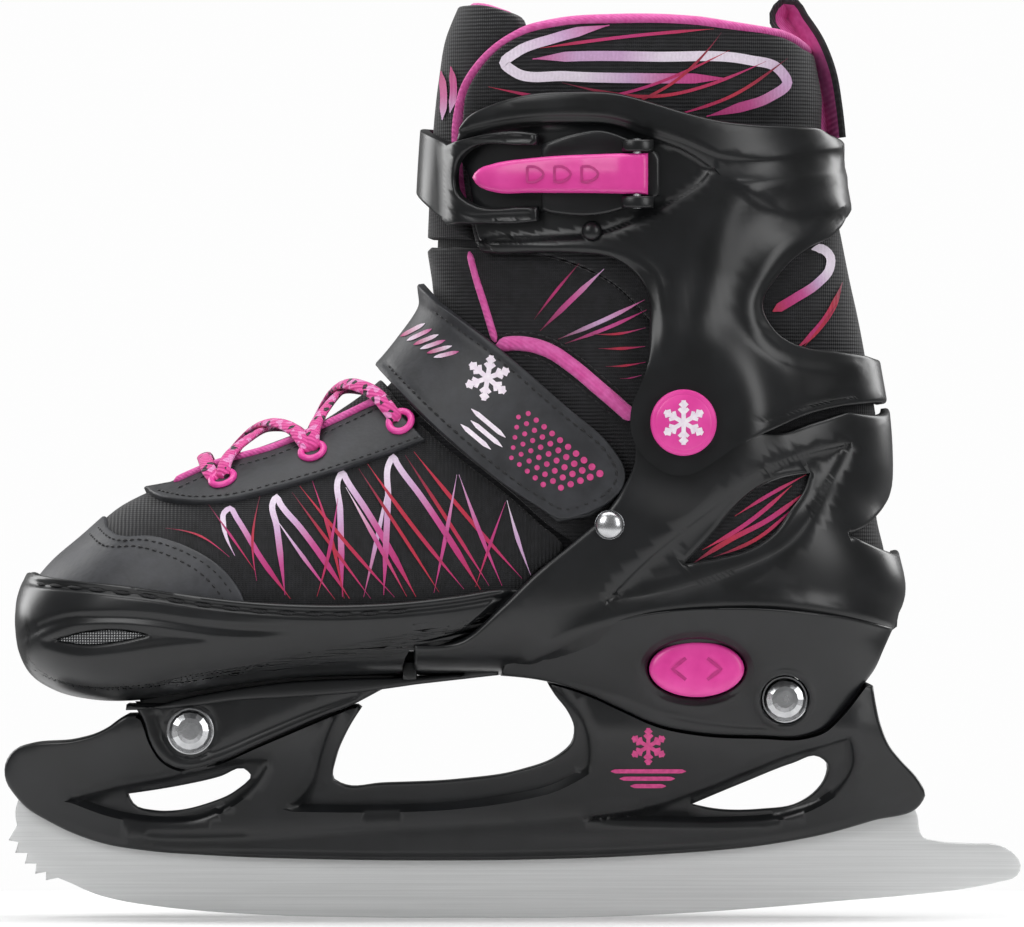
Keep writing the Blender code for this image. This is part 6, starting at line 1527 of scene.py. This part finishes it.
vamp_strokes = zigzag(
    [((-76.5, 101.0), (-60.0, 90.0)), ((-63.5, 91.0), (-45.5, 90.0)), ((-47.5, 90.5), (-27.0, 90.5)),
     ((-36.0, 91.0), (-9.0, 92.5))],
    [(-80.0, 115.0), (-66.0, 118.4), (-47.6, 125.2), (-33.4, 129.6)], 1.7, [HOT, PINK, LILAC, WHITE, LILAC, PINK, HOT,
                                                                            RED])
vamp_strokes[0] = ([(-77.5, 102.0), (-80.6, 110.0), (-80.6, 114.0), (-79.0, 115.2), (-77.0, 112.4), (-70.0, 101.0),
                    (-62.0, 90.0)],
                   1.5, [LILAC, WHITE, LILAC, PINK, HOT, RED], 10.0)
vamp_strokes += [(line, width, tones, 14.0) for line, width, tones in (
    ([(-66.6, 113.0), (-58.0, 101.0), (-49.6, 89.8)], 1.1, [WHITE, LILAC, PINK, RED]),
    ([(-59.5, 121.4), (-46.0, 105.0), (-33.0, 90.4)], 1.0, [RED, RED, HOT]),
    ([(-61.6, 119.6), (-50.0, 104.0), (-39.6, 90.0)], 0.9, [DEEP, RED, HOT]),
    ([(-56.0, 122.8), (-51.0, 108.0), (-47.0, 90.0)], 1.0, [HOT, RED, RED]),
    ([(-54.6, 90.6), (-51.0, 104.0), (-48.8, 118.0)], 1.1, [RED, HOT, PINK]),
    ([(-46.6, 121.0), (-38.0, 106.0), (-29.6, 90.6)], 1.2, [WHITE, PINK, RED]),
    ([(-40.5, 127.5), (-27.0, 109.0), (-13.6, 92.6)], 1.1, [RED, RED, HOT]),
    ([(-43.0, 126.2), (-31.0, 108.0), (-20.6, 91.8)], 0.9, [DEEP, RED, RED]),
    ([(-41.6, 90.4), (-37.6, 108.0), (-34.4, 124.0)], 1.2, [HOT, LILAC, WHITE]),
    ([(-27.6, 131.0), (-12.0, 112.0), (2.6, 95.6)], 1.1, [RED, RED, HOT]),
    ([(-30.0, 130.0), (-17.0, 110.0), (-6.6, 93.6)], 1.0, [DEEP, RED, HOT]),
    ([(-22.0, 91.6), (-18.6, 108.0), (-15.6, 124.6)], 1.1, [HOT, PINK, LILAC]),
    ([(-15.0, 124.6), (-9.0, 108.0), (-3.0, 93.6)], 1.2, [LILAC, PINK, HOT]),
    ([(-10.4, 93.2), (-6.0, 106.0), (-2.0, 117.0)], 1.0, [RED, HOT, PINK]),
    ([(-1.6, 117.4), (1.6, 106.0), (5.0, 96.6)], 1.5, [WHITE, LILAC, LILAC]),
    ([(-97.0, 109.6), (-88.0, 107.8), (-79.0, 101.6)], 0.8, [DEEP, RED, HOT]),
    ([(-85.0, 116.2), (-79.0, 108.0), (-72.0, 98.0)], 0.9, [DEEP, HOT, RED]),
    ([(-70.6, 118.6), (-72.6, 106.0), (-71.4, 95.0)], 0.9, [DEEP, RED, HOT]))]
film = print_strokes("vamp_print", vamp_strokes, on_boot(0.22), transfer_print, (-1, 1), "toe_slider")
print(len(vamp_strokes), "strokes a side on the vamp")

# %% Strokes on the collar and the ankle
collar_strokes = [
    ([(27.0, 250.0), (12.0, 246.4), (1.5, 242.4), (-1.7, 239.6), (1.2, 237.0), (14.9, 235.8), (38.0, 235.2),
      (59.5, 235.2)],
     2.8, [PINK, LILAC, WHITE, WHITE, WHITE, LILAC, PINK, HOT], 9.0),
    ([(6.0, 240.6), (14.9, 241.2), (40.0, 241.2), (65.0, 240.4), (73.5, 238.0), (76.0, 234.2), (71.0, 230.0),
      (62.0, 226.8),
      (54.0, 224.6)], 2.8, [PINK, LILAC, LILAC, WHITE, WHITE, WHITE, LILAC, PINK, HOT], 9.0),
    ([(8.0, 243.6), (30.0, 246.6), (56.0, 249.0)], 0.9, [RED, HOT, RED], 10.0),
    ([(14.0, 234.0), (40.0, 230.2), (70.0, 240.0)], 0.9, [DEEP, RED, HOT], 12.0),
    ([(10.0, 227.6), (36.0, 232.4), (60.0, 243.0)], 0.8, [RED, HOT, RED], 12.0),
    ([(28.0, 226.0), (46.0, 235.0), (58.0, 248.0)], 0.8, [DEEP, RED, DEEP], 12.0),
    ([(-6.0, 233.0), (10.0, 229.6), (30.0, 226.4)], 0.9, [RED, HOT, DEEP], 10.0),
    ([(44.0, 224.6), (60.0, 230.0), (76.0, 241.0)], 0.9, [HOT, RED, DEEP], 10.0),
    ([(72.6, 170.2), (79.0, 174.0), (85.4, 178.2), (88.8, 182.2), (89.0, 185.6), (86.6, 187.8), (83.6, 187.6)], 2.6,
     [RED, HOT, PINK, LILAC, WHITE, WHITE, WHITE], 2.0),
    ([(92.6, 178.6), (89.0, 170.4), (83.0, 163.0), (79.0, 159.6)], 1.8, [DEEP, RED, HOT, RED], 6.0),
    ([(90.6, 172.2), (86.0, 165.6), (81.6, 160.6)], 0.9, [DEEP, RED, RED], 5.0)]
def on_collar(xz, rise, side):
    s, v = locate(xz, 0.3)
    v = v if side < 0 else 2 - v
    at = boot(s, v, 0.0)
    return boot(s, v, 0.28 + rise + collar_puff(at[:, [0, 2]], at[:, 1]))


film = print_strokes("collar_print", collar_strokes, on_collar, transfer_print, (-1, 1), "cuff")
ankle_strokes = [(line, width, tones, 8.0) for line, width, tones in (
    ([(25.5, 182.0), (17.0, 174.0), (7.7, 164.8)], 1.5, [LILAC, PINK, DEEP]),
    ([(36.8, 173.4), (26.0, 168.0), (12.6, 162.4)], 1.2, [PINK, LILAC, DEEP]),
    ([(37.4, 170.6), (27.0, 165.8), (14.6, 161.2)], 1.0, [HOT, PINK, DEEP]),
    ([(18.6, 183.6), (13.0, 177.0), (6.0, 168.0)], 0.8, [DEEP, HOT, DEEP]),
    ([(37.0, 160.4), (30.0, 159.8), (24.0, 159.8)], 1.1, [HOT, RED, DEEP]),
    ([(37.0, 156.0), (31.0, 155.0), (26.0, 154.8)], 1.0, [HOT, RED, DEEP]),
    ([(37.0, 165.6), (30.0, 164.0), (22.0, 163.8)], 0.8, [PINK, RED, DEEP]),
    ([(36.0, 152.4), (33.0, 151.6), (30.0, 151.4)], 0.9, [PINK, HOT, DEEP]),
    ([(50.0, 99.6), (60.0, 106.0), (72.0, 112.4), (82.0, 120.0)], 1.4, [DEEP, RED, HOT, RED]),
    ([(53.0, 103.6), (64.0, 110.0), (78.0, 121.6)], 1.2, [RED, HOT, RED]),
    ([(56.0, 101.6), (68.0, 106.6), (79.0, 116.0)], 1.0, [DEEP, RED, HOT]),
    ([(62.0, 113.0), (70.0, 118.0), (82.0, 124.6)], 1.0, [RED, HOT, RED]))]
film = print_strokes("ankle_print", ankle_strokes, on_boot(0.3), transfer_print, (-1, 1), None)
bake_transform(film)
print(len(collar_strokes) + len(ankle_strokes), "strokes a side above the strap")

# %% [markdown]
# ## Piping, eyestays and laces
# A stuffed pink piping edges the quarter and the eyestays. The stays are leather, sewn down with a double row, and carry
# three pressed rings a side. A flat braided lace criss-crosses between the rings over the instep.
# %% Piping
QUARTER = [(-4.6, 160.4), (-1.0, 161.2), (4.4, 161.0), (10.2, 159.2), (16.8, 154.8), (24.2, 148.6), (29.8, 143.8),
           (34.0, 140.0)]
FRONT_SEAM = [(-12.2, 187.0), (-10.4, 180.0), (-7.6, 171.0), (-4.8, 161.6)]
parts = [sweep(*path_on_boot(QUARTER, 0.5, side), 2.1, 1.1, 12, 2.0) for side in (-1, 1)]
parts += [sweep(*path_on_boot(FRONT_SEAM, 0.3, side), 1.1, 0.8, 10, 1.5) for side in (-1, 1)]
piping = join("quarter_piping", parts, pink_binding)
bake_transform(piping)
rows = sewn("quarter_stitching", [moved(QUARTER, 1.2, 3.0)[:-1], moved(QUARTER, -1.6, -3.0)[1:-1]], 0.25, None,
            black_thread,
            pitch=2.4, length=1.8, radius=0.28)
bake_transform(rows)
print("piping is on")

# %% Eyestays
STAY_LOW = [(-103.5, 121.0, 0), (-100.5, 119.1), (-90.6, 117.2), (-80.5, 117.6), (-65.5, 121.1), (-45.5, 127.1),
            (-24.6, 134.5, 0)]
STAY_HIGH = [(-36.2, 146.4, 0), (-51.5, 139.0), (-65.5, 132.8), (-85.5, 126.8), (-95.0, 122.6, 0)]
low_row = [(x + 0.4, z + 1.5) for x, z, *_ in STAY_LOW[1:]]
high_row = [(x, z - 2.2) for x, z, *_ in STAY_HIGH]
for label, side in (("lateral", -1), ("medial", 1)):
    stay = skin("stay_" + label, [chart(spline(STAY_LOW + STAY_HIGH, 1.5, True), 1.5, side)], 1.9, -0.3,
                strap_leather, 2.2,
                0.6, lambda p, y: ridge(p, spline(low_row, 2.0), 0.8,
                                        -0.25) + ridge(p, spline(high_row, 2.0), 0.8, -0.25),
                ref=1.5)
    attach(stay, "toe_slider")
    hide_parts("eyestay_" + label)
parts = [sweep(*path_on_boot(STAY_HIGH, 2.0, side), 1.3, 1.2, 12, 1.5) for side in (-1, 1)]
stay_piping = join("stay_piping", parts, pink_binding)
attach(stay_piping, "toe_slider")
sewn("stay_stitching", [low_row, high_row], 1.95, "toe_slider", black_thread, pitch=2.3, length=1.7, radius=0.28)
print("eyestays are sewn")

# %% Eyelets
EYELETS = [(-81.1, 123.4), (-56.0, 131.1), (-31.4, 139.4)]
eyelet_s, eyelet_v = locate(EYELETS, 1.9)
for label, side in (("lateral", -1), ("medial", 1)):
    for k in range(3):
        s, v = eyelet_s[k:k + 1], (eyelet_v if side < 0 else 2 - eyelet_v)[k:k + 1]
        centre = boot(s, v, 1.6)[0]
        up = boot(s, v, 5.0)[0] - centre
        up /= np.linalg.norm(up)
        across = np.cross(up, (0.0, 0.0, 1.0))
        across /= np.linalg.norm(across)
        other = np.cross(up, across)
        verts, faces, sides = [], [], 40
        rim = [(1.0 * math.sin(t), 3.25 + 1.0 * math.cos(t)) for t in np.linspace(0, 2 * math.pi, 13)[:-1]]
        rim = [(h if h > -0.3 else -0.3, r) for h, r in rim]
        for h, r in rim:
            verts += [centre + up * (h + 0.5) + (across * math.cos(a) + other * math.sin(a)) * r
                      for a in np.linspace(0, 2 * math.pi, sides + 1)[:-1]]
        for i in range(len(rim)):
            j = (i + 1) % len(rim)
            faces += [(i * sides + q, i * sides + (q + 1) % sides, j * sides + (q + 1) % sides, j * sides + q)
                      for q in range(sides)]
        ring = make("eyelet_ring_%s_%d" % (label, k + 1), verts, faces, pink_abs, 60.0)
        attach(ring, "toe_slider")
        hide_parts("eyelet_%s_%d" % (label, k + 1))
print("six eyelets, 8.5 mm across")

# %% Laces


def lace(name, places, wide=2.1, tall=0.95):
    """Flat strand through (s, v, d) places."""
    places = np.array(places, float)
    t = np.linspace(0, 1, len(places))
    fine = np.linspace(0, 1, 70)
    s, v, d = (np.interp(fine, t, places[:, k]) for k in range(3))
    kernel = np.ones(9) / 9
    s, v, d = (np.convolve(np.pad(q, 4, mode="edge"), kernel, "valid") for q in (s, v, d))
    path = boot(s, v, d)
    up = boot(s, v, d + 1.0) - path
    up /= np.linalg.norm(up, axis=1, keepdims=True)
    strand = make(name, *sweep(path, up, wide, tall, 14, 1.5), pink_lace, 70.0)
    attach(strand, "toe_slider")
    return strand


for k in range(2):
    for label, flip, lift in (("lateral", False, 4.2), ("medial", True, 5.9)):
        near, far = (eyelet_v[k], 2 - eyelet_v[k + 1]) if not flip else (2 - eyelet_v[k], eyelet_v[k + 1])
        s0, s1 = eyelet_s[k], eyelet_s[k + 1]
        lean = np.sign(far - near)
        strand = lace("lace_run_%s_%d" % (label, k + 1), [
            (s0, near, 1.0), (s0 + 0.002, near + lean * 0.02, 3.6), (s0 + 0.008, near + lean * 0.07, 4.3),
            (s0 + (s1 - s0) * 0.36, near + (far - near) * 0.36, lift),
            (s0 + (s1 - s0) * 0.62, near + (far - near) * 0.64, lift),
            (s1 - 0.014, far - lean * 0.09, 4.6), (s1 - 0.006, far - lean * 0.03, 3.8), (s1 - 0.002, far, 1.2)])
        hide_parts("lace_%s_%d" % (label, k + 1))
bar = lace("lace_run_bar", [(eyelet_s[0] - 0.004, eyelet_v[0], 1.0), (eyelet_s[0] - 0.010, eyelet_v[0] + 0.04, 3.4),
                            (eyelet_s[0] - 0.012, eyelet_v[0] + 0.12, 3.4), (eyelet_s[0] - 0.014, 1.0, 2.8),
                            (eyelet_s[0] - 0.012, 2 - eyelet_v[0] - 0.12, 3.4),
                            (eyelet_s[0] - 0.010, 2 - eyelet_v[0] - 0.04, 3.4),
                            (eyelet_s[0] - 0.004, 2 - eyelet_v[0], 1.0)])
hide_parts("lace_bar")
print("laces cross twice over the instep")

# %% [markdown]
# ## Instep strap
# A leather strap holds the heel down. Its free end is folded over, sewn round its edge and printed, and peels up from
# the instep. The edge is cut square and painted, so it has only a small rounding. The other half is riveted on.
# %% Strap
TAB = [(12.5, 111.4, 0), (22.0, 113.0, 0), (28.0, 117.0, 0), (30.2, 121.5, 0), (29.0, 126.5, 0), (14.4, 140.0, 0),
       (0.0, 152.0, 0), (-10.0, 148.0, 0), (-14.0, 134.0, 0), (2.0, 119.8, 0)]
tab = skin("strap_tab", [chart(spline(TAB, 1.5, True), 1.0)], 1.9, 0.6, strap_leather, 3.0, 0.5)
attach(tab, "boot")
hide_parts("strap_anchor_tab")
FLAP_EDGE = [(-22.4, 173.4, 0), (-6.6, 162.0), (14.4, 144.1), (28.4, 131.2), (31.0, 127.0), (31.3, 122.1),
             (27.3, 117.2), (20.3, 113.6), (13.2, 112.2), (6.5, 116.0), (-20.6, 137.0), (-38.6, 155.2, 0)]
FLAP_SEAM = [(-22.4, 170.4), (-7.0, 159.2), (13.6, 141.6), (27.0, 129.6), (28.8, 126.2), (28.8, 122.8), (25.8, 119.2),
             (19.6, 116.0), (13.8, 114.9), (8.2, 118.0), (-18.6, 139.0), (-35.4, 155.6)]
flap_edge = chart(spline(FLAP_EDGE, 1.5), 4.0)
flap_edge[0, 1] = flap_edge[-1, 1] = V_MM - 2.0
DOTS = spline([(0.7, 145.5, 0), (24.5, 128.7, 0), (26.0, 124.0), (20.0, 121.0), (13.3, 119.6), (6.3, 120.3),
               (-2.1, 130.1, 0)],
              1.5, True)
seam_line = spline(FLAP_SEAM, 2.0)
flap = skin("flap_leather", [flap_edge], 4.3, 2.4, strap_leather, 2.2, 0.55,
            lambda p, y: ridge(p, seam_line, 1.1, -0.35) + 0.12 * np.sin(p[:, 0] * 0.16 + p[:, 1] * 0.1),
            extra=[q for q in rails(seam_line, 0.8, 4.0) if q[:, 1].mean() <= V_MM])
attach(flap, "strap_flap")
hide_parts("strap_flap")
MEDIAL_EDGE = FLAP_EDGE[:3] + [(24.0, 135.0, 0), (12.0, 120.5, 0)] + FLAP_EDGE[9:]
medial_edge = chart(spline(MEDIAL_EDGE, 1.5), 4.0)
medial_edge[0, 1] = medial_edge[-1, 1] = V_MM - 2.0
medial_edge[:, 1] = 2 * V_MM - medial_edge[:, 1]
strap = skin("strap_leather_inner_side", [medial_edge], 4.2, 2.4, strap_leather, 2.6, 0.55)
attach(strap, "boot")
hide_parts("instep_strap")
sewn("flap_stitching", [FLAP_SEAM], 4.05, "strap_flap", black_thread, (-1,), 2.6, 1.9, 0.36)
sewn("strap_stitching", [FLAP_SEAM[:3], FLAP_SEAM[-3:]], 4.05, "boot", black_thread, (1,), 2.6, 1.9, 0.32)
print("strap is sewn", round(len(seam_line) * 2.0), "mm round its edge")

# %% Prints on the strap
lean = math.radians(-40)
flap_marks = snowflake(-7.0, 151.6, 6.4, lean, 1.35, ["#F3EBF2"] * 2, 1.0)
for k, (start, end) in enumerate(((-5.0, 7.5), (-3.0, 8.5), (-4.5, 6.5))):
    root = np.array([2.2, 141.6]) + np.array([math.cos(lean), math.sin(lean)]) * -3.0 \
        + np.array([-math.sin(lean), math.cos(lean)]) * (-k * 2.6 - 1.0) + np.array([-7.0, -3.0])
    flap_marks.append(([tuple(root + np.array([-math.sin(lean),
                                               math.cos(lean)]) * 0 + np.array([math.cos(lean),
                                                                                math.sin(lean)]) * start),
                        tuple(root + np.array([math.cos(lean), math.sin(lean)]) * end)], 1.3, ["#F3EBF2"] * 2, 2.0))
film = print_strokes("flap_emblem", flap_marks, on_boot(4.42), pale_ink, (-1,), "strap_flap")
stripes = []
for k in range(6):
    z = 166.4 - k * 1.9
    stripes.append(([(-31.6 + k * 1.9, 163.4 - k * 1.2), (-24.6 + k * 1.9, 167.0 - k * 1.6)], 1.15,
                    [WHITE, PINK] if k % 2 else [HOT, WHITE], 1.4))
film = print_strokes("flap_stripes", stripes, on_boot(4.42), transfer_print, (-1,), "strap_flap")
low, high = DOTS.min(0), DOTS.max(0)
axis_u, axis_w = np.array([math.cos(lean), math.sin(lean)]), np.array([-math.sin(lean), math.cos(lean)])
centres = np.array([DOTS.mean(0) + axis_u * (i * 2.9 + (j % 2) * 1.45) + axis_w * j * 2.5
                    for i in range(-9, 10) for j in range(-9, 10)])
centres = centres[inside(centres, [DOTS])]
centres = centres[far_from(centres, DOTS, True) > 0.9]
ring = np.linspace(0, 2 * math.pi, 13)[:-1]
radii = 0.62 + 0.40 * np.clip((centres[:, 0] + 2.0) / 26.0, 0, 1)
spots = (centres[:, None] + np.stack([np.cos(ring), np.sin(ring)], 1)[None] * radii[:, None, None]).reshape(-1, 2)
dots = make("flap_dots", on_boot(4.42)(spots, 0.02, -1),
            [tuple(range(k * 12, k * 12 + 12)) for k in range(len(centres))],
            pink_ink, 60.0)
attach(dots, "strap_flap")
print(len(centres), "dots on the strap")

# %% [markdown]
# ## Cuff strap and buckle
# A stiff forked strap comes round from the inner side and hooks over the lever. The lever is pink ABS on a black base
# plate. Both are thick mouldings with clear steps: the fork's legs have a rim all round and a sunken middle.
# %% Forked strap
FORK = [
    (-20.6, 217.0, 0), (-17.5, 217.6), (-8.3, 219.6), (1.0, 220.4), (6.6, 219.6, 0), (6.6, 216.4, 0), (0.0, 216.4, 0),
    (-12.0, 215.6), (-15.6, 212.4), (-16.8, 207.6), (-15.6, 203.0), (-12.0, 200.2), (0.0, 199.4, 0), (6.6, 199.4, 0),
    (6.6, 195.2, 0), (1.0, 194.6), (-8.3, 194.6), (-17.5, 194.6), (-20.6, 194.4, 0)]


def band_lift(x):
    return np.clip((-16.4 - x) / 6.0, 0, 1) * 3.3


def straight(a, b, step):
    n = max(1, int(round(np.linalg.norm(b - a) / step)))
    return a + (b - a) * (np.arange(n) / n)[:, None]


fork = chart(spline(FORK, 1.5), 7.0)
far_s, far_v = locate([(8.0, 214.0), (8.0, 198.0)], 7.0)
far_top, far_low = (np.array([far_s[k] * S_MM, (2 - far_v[k]) * V_MM]) for k in (0, 1))
band_loop = np.concatenate([fork[:-1], straight(fork[-1], far_low, 2.0), straight(far_low, far_top, 2.0),
                            straight(far_top, fork[0], 2.0)])
fork_steps = [spline([(4.4, 218.4), (-4.0, 218.3), (-15.0, 216.8), (-19.0, 212.0), (-20.0, 206.0), (-19.0, 200.0),
                      (-14.6, 197.0),
                      (-4.0, 196.6), (4.4, 196.8)], 2.0)]


def fork_relief(p, y):
    near = (y < 0) * np.clip((p[:, 0] + 15.0) / 4.0, 0, 1)
    return near * ridge(p, fork_steps[0], 1.4, -0.7)


fork_lines = [q for q in rails(fork_steps[0], 1.0, 7.0) if q[:, 1].mean() <= V_MM]
band = skin("strap_forked", [band_loop], lambda x, z: 7.0 - band_lift(x), lambda x, z: 4.5 - band_lift(x), black_shell,
            2.0, 0.9, fork_relief, None, fork_lines, ref=7.0)
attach(band, "cuff_strap")
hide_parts("cuff_strap")
print("forked strap", len(band.data.vertices), "points")

# %% Buckle base and lever
BASE = [(8.0, 216.6, 0), (16.8, 219.6), (24.2, 220.6), (33.5, 217.6), (41.0, 214.0, 0), (41.0, 202.6, 0), (32.6, 199.2),
        (24.2, 197.0), (8.0, 198.0, 0)]
LEVER_AXIS = (34.6, 208.3)


def over_cuff(d):
    return lambda x, z: -half_width(x, z, 3.9 + d)


base_inner = spline([(9.8, 212.6), (18.0, 215.2), (26.0, 216.4), (36.0, 213.4)], 2.0)
base = slab("buckle_plate", [spline(BASE, 1.5, True)], over_cuff(2.3), over_cuff(0.3), black_shell, 2.0, 0.9,
            lambda p: ridge(p, base_inner, 1.6, -0.5))
axis_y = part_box("lever_pin")
axis_y = (axis_y[0].y + axis_y[1].y) / 2 / MM
parts = [base]
for k, (z0, z1) in enumerate(((198.9, 202.2), (214.6, 217.9))):
    ear_profile = spline([(30.4, z0, 0), (39.2, z0, 0), (39.2, z1, 0), (30.4, z1, 0)], 0.9, True)
    ear = slab("buckle_ear_%d" % (k + 1), [ear_profile], lambda x,
               z: axis_y - 2.7 + 0.10 * (x - LEVER_AXIS[0]) ** 2 * 0.9,
               axis_y + 5.4, black_shell, 1.2, 0.7)
    parts.append(ear)
for piece in parts:
    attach(piece, "cuff")
    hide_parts("buckle_base")

LEVER = [(-11.3, 207.6), (-9.4, 210.0), (-6.0, 211.2), (5.7, 212.9), (24.2, 213.9), (37.7, 214.1, 0), (37.7, 202.6, 0),
         (24.2, 203.0), (5.0, 203.2), (-5.0, 203.4), (-9.6, 205.2)]


def lever_y(extra):
    def at(x, z):
        level = np.full(len(x), LEVER_AXIS[1])
        follow = -half_width(np.minimum(x, 26.0), level, 3.9 + 3.2) - extra
        t = np.clip((x - 20.0) / 10.0, 0, 1)
        return follow * (1 - t) + (axis_y + 2.4 - extra * 1.45) * t
    return at


lever = slab("lever_moulded", [spline(LEVER, 1.2, True)], lever_y(3.3), lever_y(0.0), pink_abs, 1.6, 1.5,
             lambda p: ridge(p, spline([(-4.0, 208.2), (30.0, 208.4)], 2.0), 3.4, 0.35))
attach(lever, "lever")
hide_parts("buckle_lever")
# Darker pink outlines of the lever's three sunken marks are painted shade at their edges.
lever_mark_shade = []
for x in (4.0, 11.6, 19.2):
    lever_mark_shade.append(([(x, 210.4, 0), (x + 2.2, 210.4), (x + 4.6, 208.3), (x + 2.2, 206.2), (x, 206.2, 0),
                         (x, 210.4)], 0.7,
                        ["#B02875"] * 2, 0))


def on_lever(xz, rise, side):
    face = lever_y(3.3)(xz[:, 0], xz[:, 1]) - 0.42
    return np.stack([xz[:, 0], face - rise, xz[:, 1]], 1)


marks = print_strokes("lever_mark_shade", lever_mark_shade, on_lever, shadow_pink, (-1,), "lever")
print("lever axis at y", round(axis_y, 1))

# %% [markdown]
# ## Pull loop and small marks
# A folded ribbon at the back of the collar helps to pull the boot on. It is woven pink with black edges. The holder
# carries a small printed snowflake over a few short bars.
# %% Pull loop
loop_line = even(spline([(89.6, 219.0), (88.6, 228.0), (87.0, 237.0), (83.6, 245.6), (79.6, 251.6), (77.2, 254.9),
                         (76.0, 253.2),
                         (78.4, 249.6), (82.0, 243.4), (85.0, 235.4), (86.8, 227.0), (87.4, 221.0)], 0.8), 0.8, False)
along = np.gradient(loop_line, axis=0)
along /= np.linalg.norm(along, axis=1, keepdims=True)
side_way = np.stack([-along[:, 1], along[:, 0]], 1)
tilt = math.radians(34)
parts = []
for low, high, band_name in ((-6.6, -4.6, "edge"), (-4.6, 4.6, "middle"), (4.6, 6.6, "edge")):
    ring = []
    for w, h in ((low, -0.35), (high, -0.35), (high, 0.35), (low, 0.35)):
        thick = h * (1.0 if band_name == "edge" else 0.85)
        y = w * math.cos(tilt)
        shift = w * math.sin(tilt)
        flat = loop_line + side_way * (thick + shift)
        ring.append(np.stack([flat[:, 0], np.full(len(flat), y), flat[:, 1]], 1))
    verts = np.stack(ring, 1).reshape(-1, 3)
    n = len(loop_line)
    faces = [(k * 4 + q, k * 4 + (q + 1) % 4, (k + 1) * 4 + (q + 1) % 4,
              (k + 1) * 4 + q) for k in range(n - 1) for q in range(4)]
    faces += [(3, 2, 1, 0), tuple((n - 1) * 4 + q for q in range(4))]
    parts.append((band_name, verts, faces))
for k, (band_name, verts, faces) in enumerate(parts):
    ribbon = make("pull_ribbon_%s_%d" % (band_name, k + 1), verts, faces,
                  pink_binding if band_name == "middle" else black_webbing, 50.0)
    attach(ribbon, "cuff")
    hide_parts("pull_loop")
print("pull loop is 14 mm wide")

# %% Marks on the holder and the tongue
def on_holder(xz, rise, side):
    y = holder_face(xz[:, 0], xz[:, 1]) + holder_relief(xz) + 0.08 + rise
    return np.stack([xz[:, 0], side * y, xz[:, 1]], 1)


holder_marks = snowflake(38.0, 48.4, 5.2, math.pi / 6, 1.1, ["#C8407F"] * 2)
for k, (x0, x1) in enumerate(((27.5, 48.6), (30.0, 45.5), (33.0, 43.0))):
    z = 41.4 - k * 2.1
    holder_marks.append(([(x0, z), (x1, z)], 1.2, ["#C8407F"] * 2, 1.2))
film = print_strokes("holder_snowflake", holder_marks, on_holder, pink_ink)
triangle = print_strokes("holder_triangle", [([(-75.2, 56.6, 0), (-73.8, 59.2, 0), (-72.4, 56.6, 0), (-75.2, 56.6)],
                                              0.4,
                                              ["#2A2B2D"] * 2, 0)], on_holder, black_webbing)
tongue_strokes = [(line, 2.0, [HOT, PINK, LILAC], 3.0) for line in (
    [(-20.2, 238.0), (-19.4, 231.0), (-19.8, 224.0)], [(-17.4, 239.0), (-16.6, 232.0), (-17.6, 226.0)])]
film = print_strokes("tongue_label", tongue_strokes, on_boot(0.55), transfer_print, (-1, 1), "cuff")
print("marks are on")

# %% [markdown]
# ## Cap stitching and small metal
# The vamp is sewn to the cap through a channel under its rim, with one black stitch about every 8 mm. The pins, nuts and
# the button's spring are CAD pieces whose shape is right, so they only take the plated finish.
# %% Cap stitching and carried-over pieces
rows = sewn("cap_stitching", [[tuple(q) for q in CHANNEL[3:-8:3]]], 3.55, "toe_slider", black_thread, pitch=7.8,
            length=5.6,
            radius=0.42)
for node in ("pivot_pin_lateral", "pivot_pin_medial", "button_spring", "lever_pin"):
    nodes[node].data.materials.clear()
    nodes[node].data.materials.append(bright_zinc)
print("carried over:", [n for n in nodes if not nodes[n].hide_render])

# %% [markdown]
# ## Floor and finish
# The floor is a pale matt board. It only catches the shadow under the blade and is not part of the skate.
# %% Floor
floor_paint, shader, where = new_material("matt_white_board", "#FBFBFB", 0.9)
vary(floor_paint, shader, where, "#FAFAFA", "#FDFDFD", 0.01)
floor = bpy.data.objects.new("floor", bpy.data.meshes.new("floor"))
ring = [(0.34 * math.cos(a), 0.34 * math.sin(a), -0.0004) for a in np.linspace(0, 2 * math.pi, 65)[:-1]]
floor.data.from_pydata(ring, [], [tuple(range(64))])
floor.data.materials.append(floor_paint)
bpy.context.scene.collection.objects.link(floor)
print("floor is 0.4 mm under the blade")
